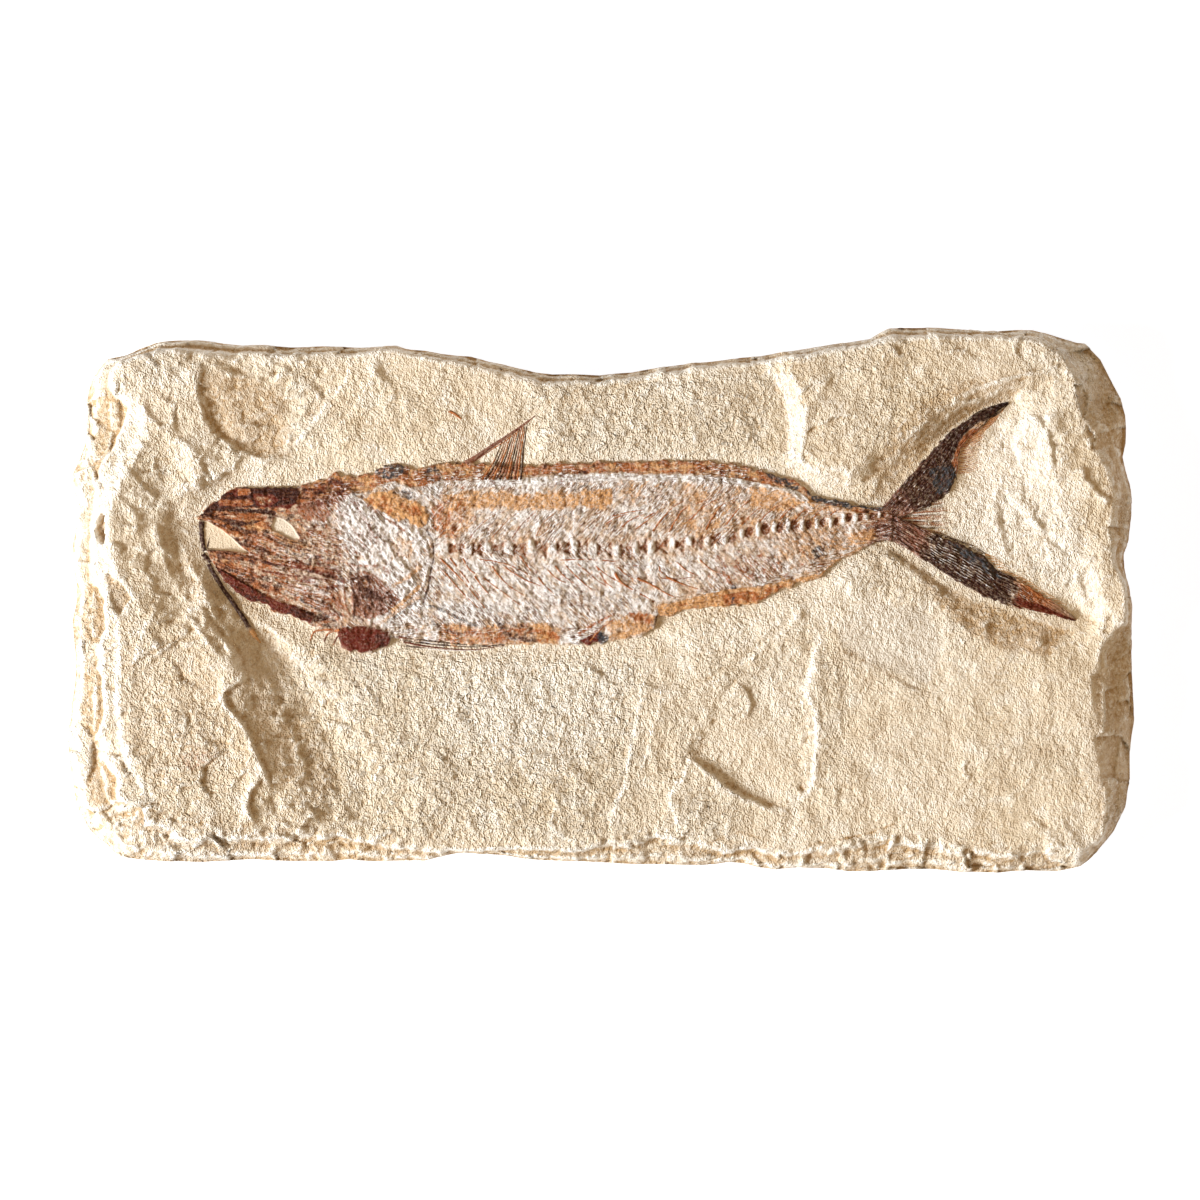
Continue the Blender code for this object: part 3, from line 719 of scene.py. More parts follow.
class Sketch:
    """A node tree being drawn."""

    def __init__(self, tree: bpy.types.NodeTree) -> None:
        """Start on an empty tree.

        Args:
            tree: The tree of a material or of a group.
        """
        self.tree = tree

    def add(self, kind: str, inputs: dict[str | int, object] | None = None,
            **settings: object) -> bpy.types.Node:
        """Add a node.

        Args:
            kind: The node's type.
            inputs: Values or sockets for its inputs, by name or by number.
            **settings: The node's own settings.

        Returns:
            The new node.
        """
        node = self.tree.nodes.new(kind)
        for name, value in settings.items():
            setattr(node, name, value)
        for key, value in (inputs or {}).items():
            socket = node.inputs[key]
            if isinstance(value, bpy.types.NodeSocket):
                self.tree.links.new(value, socket)
            elif isinstance(value, tuple) and len(value) == 3 and socket.type == "RGBA":
                socket.default_value = (*value, 1.0)
            else:
                socket.default_value = value
        return node

    def maths(self, operation: str, first: object, second: object = 0.5,
              clamp: bool = False) -> bpy.types.NodeSocket:
        """Work out a value from two others."""
        node = self.add("ShaderNodeMath", {0: first, 1: second}, operation=operation, use_clamp=clamp)
        return node.outputs[0]

    def mixed(self, share: object, first: object, second: object) -> bpy.types.NodeSocket:
        """Mix two colours by a share."""
        node = self.add("ShaderNodeMix", {0: share, 6: first, 7: second}, data_type="RGBA")
        return node.outputs[2]

    def ranged(
        self, value: object, low: float, high: float, to_low: float = 0.0, to_high: float = 1.0
    ) -> bpy.types.NodeSocket:
        """Stretch a value's range, smoothly and clamped."""
        inputs = {"Value": value, "From Min": low, "From Max": high, "To Min": to_low, "To Max": to_high}
        return self.add("ShaderNodeMapRange", inputs, interpolation_type="SMOOTHSTEP").outputs[0]

    def attribute(self, coat: Coat) -> bpy.types.NodeSocket:
        """The values of a coat."""
        return self.add("ShaderNodeAttribute", attribute_name=coat.value).outputs["Fac"]

    def place(self) -> bpy.types.NodeSocket:
        """Object coordinates."""
        return self.add("ShaderNodeTexCoord").outputs["Object"]

    def spread(self, value: object, contrast: object) -> bpy.types.NodeSocket:
        """Stretch a value away from its middle, clamped.

        Args:
            value: A socket whose middle is a half.
            contrast: How many times further from the middle it goes.

        Returns:
            The stretched value.
        """
        centred = self.maths("SUBTRACT", value, 0.5)
        stretched = self.maths("MULTIPLY_ADD", centred, contrast, clamp=True)
        stretched.node.inputs[2].default_value = 0.5
        return stretched

    def bump(self, depth: float, height: object, **over: object) -> bpy.types.NodeSocket:
        """Add a bump, on top of another where its normal is given."""
        inputs = {"Strength": 1.0, "Distance": depth, "Height": height, **over}
        return self.add("ShaderNodeBump", inputs).outputs["Normal"]


@dataclass(frozen=True)
class Mottle:
    """A kind of mottling: how many lumps go to the metre, how fine its detail is, and its contrast."""

    scale: float
    detail: float
    contrast: float


Sockets = dict[str, str]
Group = tuple[Sketch, bpy.types.NodeOutputs, bpy.types.NodeInputs]


class EffectGroups:
    """The node groups that more than one finish uses, each built once."""

    HELD = 4.0
    PECK_STRETCH = (1.0, 1.15, 1.0)
    PECK_TURN = math.radians(5.0)
    PECK_DETAIL = 3.2
    PECK_ROUGHNESS = 0.56
    GRIT_SCALE = 2.9
    KNOB_SCALE = 1.5
    KNOB_SMOOTHNESS = 0.7
    KNOB_WEIGHT = 0.15
    FIBRE_LENGTH = 0.0022
    FIBRE_WIDTH = 0.00040
    FIBRE_DETAIL = 3.0
    FIBRE_ROUGHNESS = 0.6
    FIBRE_CONTRAST = 3.2
    FIBRE_HEADINGS = ((3.0, None), (-17.0, "Jaw"), (-47.0, "Rib"), (50.0, "Spine"))

    def __init__(self) -> None:
        """Build the groups."""
        self.speckle = self._speckle()
        self.coat = self._coat()
        self.pecking = self._pecking()
        self.fibres = self._fibres()

    def mottled(self, sketch: Sketch, place: object, kind: Mottle) -> bpy.types.NodeSocket:
        """Add mottling to a material."""
        inputs = {"Place": place, "Scale": kind.scale, "Detail": kind.detail, "Contrast": kind.contrast}
        return sketch.add("ShaderNodeGroup", inputs, node_tree=self.speckle).outputs[0]

    def coated(
        self, sketch: Sketch, under: object, over: Colour, coat: Coat, fine: object, breakup: float
    ) -> tuple[bpy.types.NodeSocket, bpy.types.NodeSocket]:
        """Lay a coat over a colour.

        Args:
            sketch: The material's sketch.
            under: The colour so far.
            over: The coat's own colour.
            coat: The coat.
            fine: The speckle that breaks it up.
            breakup: How far the speckle breaks it up.

        Returns:
            The new colour, and how far the coat covers.
        """
        inputs = {"Under": under, "Over": over, "Mask": sketch.attribute(coat),
                  "Speckle": fine, "Breakup": breakup}
        node = sketch.add("ShaderNodeGroup", inputs, node_tree=self.coat)
        return node.outputs["Colour"], node.outputs["Cover"]

    def pecked(self, sketch: Sketch, place: object, size: float, grit: float) -> bpy.types.NodeSocket:
        """Add the height of pecked stone to a material."""
        inputs = {"Place": place, "Pit Size": size, "Grit": grit}
        return sketch.add("ShaderNodeGroup", inputs, node_tree=self.pecking).outputs[0]

    @staticmethod
    def _new(name: str, inputs: Sockets, outputs: Sockets) -> Group:
        """Start a group with named sockets.

        Args:
            name: The group's name.
            inputs: Its inputs' kinds, by name.
            outputs: Its outputs' kinds, by name.

        Returns:
            The sketch, what the group is given, and what it puts out.
        """
        tree = bpy.data.node_groups.new(name, "ShaderNodeTree")
        for way, sockets in (("INPUT", inputs), ("OUTPUT", outputs)):
            for label, kind in sockets.items():
                tree.interface.new_socket(label, in_out=way, socket_type=f"NodeSocket{kind}")
        sketch = Sketch(tree)
        return sketch, sketch.add("NodeGroupInput").outputs, sketch.add("NodeGroupOutput").inputs

    def _speckle(self) -> bpy.types.NodeTree:
        """Draw fine mottling.

        Returns:
            A group that gives a value from 0 to 1 with a chosen contrast.
        """
        takes = {"Place": "Vector", "Scale": "Float", "Detail": "Float", "Contrast": "Float"}
        sketch, given, out = self._new("mineral speckle", takes, {"Value": "Float"})
        inputs = {"Vector": given["Place"], "Scale": given["Scale"], "Detail": given["Detail"]}
        noise = sketch.add("ShaderNodeTexNoise", inputs)
        sketch.tree.links.new(sketch.spread(noise.outputs["Fac"], given["Contrast"]), out["Value"])
        return sketch.tree

    def _coat(self) -> bpy.types.NodeTree:
        """Draw a colour laid over another where its mask and the speckle let it through.

        Returns:
            A group that gives the mixed colour and how far the upper one covers.
        """
        takes = {"Under": "Color", "Over": "Color", "Mask": "Float", "Speckle": "Float", "Breakup": "Float"}
        sketch, given, out = self._new("broken coat", takes, {"Colour": "Color", "Cover": "Float"})
        wander = sketch.maths("SUBTRACT", given["Speckle"], 0.5)
        wander = sketch.maths("MULTIPLY", wander, given["Breakup"])
        held = sketch.maths("MULTIPLY", given["Mask"], self.HELD, clamp=True)
        wander = sketch.maths("MULTIPLY", wander, held)
        cover = sketch.maths("ADD", given["Mask"], wander, clamp=True)
        sketch.tree.links.new(sketch.mixed(cover, given["Under"], given["Over"]), out["Colour"])
        sketch.tree.links.new(cover, out["Cover"])
        return sketch.tree

    def _pecking(self) -> bpy.types.NodeTree:
        """Draw pecked, granular stone: rounded lumps a little longer one way, with grit and small knobs.

        Returns:
            A group that gives its height.
        """
        takes = {"Place": "Vector", "Pit Size": "Float", "Grit": "Float"}
        sketch, given, out = self._new("pecked stone", takes, {"Height": "Float"})
        wide = sketch.add("ShaderNodeCombineXYZ", dict(zip("XYZ", self.PECK_STRETCH)))
        size = sketch.add("ShaderNodeVectorMath", {0: wide.outputs[0], 3: given["Pit Size"]},
                          operation="SCALE")
        inputs = {"Vector": given["Place"], "Rotation": (0.0, 0.0, self.PECK_TURN), "Scale": size.outputs[0]}
        laid = sketch.add("ShaderNodeMapping", inputs, vector_type="TEXTURE").outputs[0]
        inputs = {"Vector": laid, "Scale": 1.0, "Detail": self.PECK_DETAIL, "Roughness": self.PECK_ROUGHNESS}
        lumps = sketch.add("ShaderNodeTexNoise", inputs)
        grit = sketch.add("ShaderNodeTexNoise", {"Vector": laid, "Scale": self.GRIT_SCALE, "Detail": 0.0})
        inputs = {"Vector": laid, "Scale": self.KNOB_SCALE, "Smoothness": self.KNOB_SMOOTHNESS}
        knobs = sketch.add("ShaderNodeTexVoronoi", inputs, feature="SMOOTH_F1")
        total = sketch.maths("MULTIPLY", grit.outputs["Fac"], given["Grit"])
        total = sketch.maths("ADD", total, lumps.outputs["Fac"])
        knobby = sketch.maths("MULTIPLY", knobs.outputs["Distance"], self.KNOB_WEIGHT)
        sketch.tree.links.new(sketch.maths("SUBTRACT", total, knobby), out["Height"])
        return sketch.tree

    def _fibres(self) -> bpy.types.NodeTree:
        """Draw fine bone fibres that lie along whichever heading each part of the bone has.

        Returns:
            A group that gives a value from 0 to 1, and a height.
        """
        takes = {"Place": "Vector", "Jaw": "Float", "Rib": "Float", "Spine": "Float"}
        sketch, given, out = self._new("bone fibres", takes, {"Value": "Float", "Height": "Float"})
        size = (self.FIBRE_LENGTH, self.FIBRE_WIDTH, self.FIBRE_WIDTH)
        total: bpy.types.NodeSocket | None = None
        for degrees, mask in self.FIBRE_HEADINGS:
            inputs = {"Vector": given["Place"], "Rotation": (0.0, 0.0, math.radians(degrees)), "Scale": size}
            turned = sketch.add("ShaderNodeMapping", inputs, vector_type="TEXTURE").outputs[0]
            inputs = {"Vector": turned, "Scale": 1.0, "Detail": self.FIBRE_DETAIL,
                      "Roughness": self.FIBRE_ROUGHNESS}
            noise = sketch.add("ShaderNodeTexNoise", inputs).outputs["Fac"]
            if mask is None:
                total = noise
            else:
                held = sketch.maths("GREATER_THAN", given[mask], 0.5)
                total = sketch.add("ShaderNodeMix", {0: held, 2: total, 3: noise},
                                   data_type="FLOAT").outputs[0]
        sketch.tree.links.new(total, out["Height"])
        sketch.tree.links.new(sketch.spread(total, self.FIBRE_CONTRAST), out["Value"])
        return sketch.tree


def new_material(name: str) -> tuple[bpy.types.Material, Sketch, bpy.types.Node]:
    """Start a material.

    Args:
        name: The material's name.

    Returns:
        The material, its sketch and its shader.
    """
    material = bpy.data.materials.new(name)
    material.use_nodes = True
    return material, Sketch(material.node_tree), material.node_tree.nodes["Principled BSDF"]


@dataclass(frozen=True)
class LimestoneFinish:
    """Cream limestone: pecked all over, with pale painted highlight along its broken crests, tan painted shade in its
    hollows, and faint stain marks.
    """

    body: Colour = (0.82, 0.74, 0.62)
    warm: Colour = (0.77, 0.66, 0.50)
    pale: Colour = (0.93, 0.90, 0.84)
    grey: Colour = (0.72, 0.67, 0.60)
    tan: Colour = (0.51, 0.345, 0.185)
    stain: Colour = (0.45, 0.22, 0.14)
    broad: Mottle = Mottle(30.0, 6.0, 2.6)
    fine: Mottle = Mottle(900.0, 3.0, 2.6)
    patchy: Mottle = Mottle(140.0, 4.0, 2.8)
    pale_patches: Span = (0.60, 1.0)
    pale_share: float = 0.5
    tan_patches: Span = (0.42, 0.0)
    tan_share: float = 0.20
    pit_size: float = 0.00118
    pit_depth: float = 0.00150
    grit: float = 0.42
    pits: Span = (0.56, 0.38)
    pit_shade_share: Span = (0.35, 0.75)
    crests: Span = (0.67, 0.84)
    crest_highlight: float = 0.5
    dug: Span = (0.50, 1.12)
    rough_size: float = 0.0028
    rough_depth: float = 0.0025

    def build(self, groups: EffectGroups) -> bpy.types.Material:
        """Build the material.

        Args:
            groups: The shared effects.

        Returns:
            The new material.
        """
        material, sketch, shader = new_material("limestone, pecked")
        place = sketch.place()
        broad = groups.mottled(sketch, place, self.broad)
        fine = groups.mottled(sketch, place, self.fine)
        patches = groups.mottled(sketch, place, self.patchy)
        pecks = groups.pecked(sketch, place, self.pit_size, self.grit)
        inputs = {"Vector": place, "Scale": 1 / self.rough_size, "Detail": 2.0, "Roughness": 0.55}
        lumps = sketch.add("ShaderNodeTexNoise", inputs).outputs["Fac"]
        rough = sketch.attribute(Coat.ROUGH)
        colour = sketch.mixed(broad, self.warm, self.body)
        colour = sketch.mixed(sketch.ranged(patches, *self.pale_patches, 0.0, self.pale_share),
                              colour, self.pale)
        colour = sketch.mixed(sketch.ranged(patches, *self.tan_patches, 0.0, self.tan_share),
                              colour, self.tan)
        # Grey patches; tan painted shade with some tan tone; pale chalky ground with painted highlight; pale painted
        # highlight on proud points; rust stain.
        for over, coat, breakup in (
            (self.grey, Coat.SOOT, 0.5),
            (self.tan, Coat.HOLLOW, 0.9),
            (self.pale, Coat.CHALK, 1.1),
            (self.pale, Coat.CREST, 0.8),
            (self.stain, Coat.RUST, 0.8),
        ):
            colour, _ = groups.coated(sketch, colour, over, coat, fine, breakup)
        # Painted shade: tan in the pits of the pecked bump, more where the stone is rough.
        held = sketch.ranged(pecks, *self.pits)
        sunk = sketch.maths("MULTIPLY", held, sketch.ranged(rough, 0.0, 1.0, *self.pit_shade_share))
        colour = sketch.mixed(sunk, colour, self.tan)
        # Painted highlight: pale on the crests of the pecked bump.
        crest = sketch.maths("MULTIPLY", sketch.ranged(pecks, *self.crests), self.crest_highlight)
        colour = sketch.mixed(crest, colour, self.pale)
        sketch.tree.links.new(colour, shader.inputs["Base Color"])
        coarse = sketch.bump(self.rough_depth, sketch.maths("MULTIPLY", lumps, rough))
        dug = sketch.maths("MULTIPLY", pecks, sketch.ranged(rough, 0.0, 1.0, *self.dug))
        sketch.tree.links.new(sketch.bump(self.pit_depth, dug, Normal=coarse), shader.inputs["Normal"])
        shader.inputs["Roughness"].default_value = 0.95
        shader.inputs["Specular IOR Level"].default_value = 0.15
        return material


@dataclass(frozen=True)
class BoneFinish:
    """Fossil bone: chalky where it has flaked, with mauve, amber, rust and near-black where it is whole."""

    base: Colour = (0.66, 0.54, 0.42)
    earth: Colour = (0.52, 0.32, 0.17)
    white: Colour = (0.91, 0.925, 0.955)
    mauve: Colour = (0.29, 0.115, 0.075)
    amber: Colour = (0.67, 0.37, 0.16)
    rust: Colour = (0.40, 0.125, 0.035)
    blood: Colour = (0.125, 0.016, 0.008)
    dark: Colour = (0.040, 0.013, 0.010)
    soot: Colour = (0.045, 0.05, 0.06)
    stone: Colour = (0.76, 0.65, 0.50)
    gap: Colour = (0.15, 0.055, 0.022)
    fine: Mottle = Mottle(1400.0, 2.0, 3.0)
    coarse: Mottle = Mottle(420.0, 4.0, 2.6)
    broad: Mottle = Mottle(95.0, 4.0, 3.0)
    amber_gloss: float = 0.75
    flecks: Span = (0.58, 0.84)
    cracks: Span = (0.46, 0.18)
    crack_share: float = 0.85
    roughness: Span = (0.75, 0.34)
    grain_size: float = 0.00075
    grain_depth: float = 0.00036
    grit: float = 0.5
    fibre_depth: float = 0.00052

    def build(self, groups: EffectGroups) -> bpy.types.Material:
        """Build the material.

        Args:
            groups: The shared effects.

        Returns:
            The new material.
        """
        material, sketch, shader = new_material("fossil bone, flaked")
        place = sketch.place()
        fine = groups.mottled(sketch, place, self.fine)
        coarse = groups.mottled(sketch, place, self.coarse)
        broad = groups.mottled(sketch, place, self.broad)
        colour = sketch.mixed(sketch.maths("MULTIPLY", broad, coarse), self.base, self.earth)
        covers = {}
        for over, coat, breakup in (
            (self.white, Coat.CHALK, 0.7),
            (self.mauve, Coat.MAUVE, 0.7),
            (self.amber, Coat.AMBER, 0.6),
            (self.rust, Coat.RUST, 0.7),
            (self.blood, Coat.BLOOD, 0.35),
            (self.dark, Coat.DARK, 0.5),
            (self.soot, Coat.SOOT, 0.7),
            # Dark brown painted shade in the gaps between splinters and in the bone's pits.
            (self.gap, Coat.HOLLOW, 0.3),
            (self.stone, Coat.MATRIX, 0.2),
        ):
            colour, covers[coat] = groups.coated(sketch, colour, over, coat, fine, breakup)
        masks = {"Jaw": Coat.FIBRE_JAW, "Rib": Coat.FIBRE_RIB, "Spine": Coat.FIBRE_SPINE}
        inputs = {"Place": place, **{label: sketch.attribute(coat) for label, coat in masks.items()}}
        fibres = sketch.add("ShaderNodeGroup", inputs, node_tree=groups.fibres)
        bare = sketch.ranged(covers[Coat.MATRIX], 0.5, 0.0)
        whole = sketch.maths("MAXIMUM", covers[Coat.DARK], covers[Coat.BLOOD])
        whole = sketch.maths("MAXIMUM", whole, sketch.maths("MULTIPLY", covers[Coat.AMBER], self.amber_gloss))
        flaked = sketch.maths("MULTIPLY", sketch.ranged(whole, 0.1, 0.8, 1.0, 0.0), bare)
        flaked = sketch.maths("MULTIPLY", sketch.ranged(broad, 0.25, 0.75, 0.25, 1.0), flaked)
        flaked = sketch.maths("MULTIPLY", sketch.attribute(Coat.ROUGH), flaked)
        # White flecks on the fibre ridges, as chalky flakes and painted glints.
        flecks = sketch.maths("MULTIPLY", sketch.ranged(fibres.outputs["Value"], *self.flecks), flaked)
        colour = sketch.mixed(flecks, colour, self.white)
        # Dark lines in the fibre grooves, as cracks and painted shade.
        cracks = sketch.maths("MULTIPLY", sketch.ranged(fibres.outputs["Value"], *self.cracks), flaked)
        colour = sketch.mixed(sketch.maths("MULTIPLY", cracks, self.crack_share), colour, self.gap)
        sketch.tree.links.new(colour, shader.inputs["Base Color"])
        sketch.tree.links.new(sketch.ranged(whole, 0.2, 0.9, *self.roughness), shader.inputs["Roughness"])
        pecks = groups.pecked(sketch, place, self.grain_size, self.grit)
        laid = sketch.bump(self.fibre_depth, sketch.maths("MULTIPLY", fibres.outputs["Height"], flaked))
        sketch.tree.links.new(sketch.bump(self.grain_depth, pecks, Normal=laid), shader.inputs["Normal"])
        shader.inputs["Specular IOR Level"].default_value = 0.14
        return material


# ------------------------------------------------------------------ the stone


@dataclass(frozen=True)
class Bank:
    """Ground that rises or sinks from its toe to its brow."""

    brow: Path
    toe: Path
    level: float
    power: float = 1.1
    terraces: float = 2.0
    tilt: float = 0.0
    relative: bool = False


@dataclass(frozen=True)
class Facet:
    """A flat scar cut into the slab's broken edge: the share of the edge's height it is cut down to, and its fall."""

    outline: Path
    level: float
    fall: float = 0.0012


@dataclass(frozen=True)
class Step:
    """A little cliff in the stone. The high ground is on the left of its path."""

    path: Path
    drop: float
    run: float = 25.0
    crisp: float = 2.5
    ragged: float = 2.0


@dataclass(frozen=True)
class Unevenness:
    """One size of roughness in the stone: how high it stands in metres, and how wide its lumps are."""

    height: float
    size: float


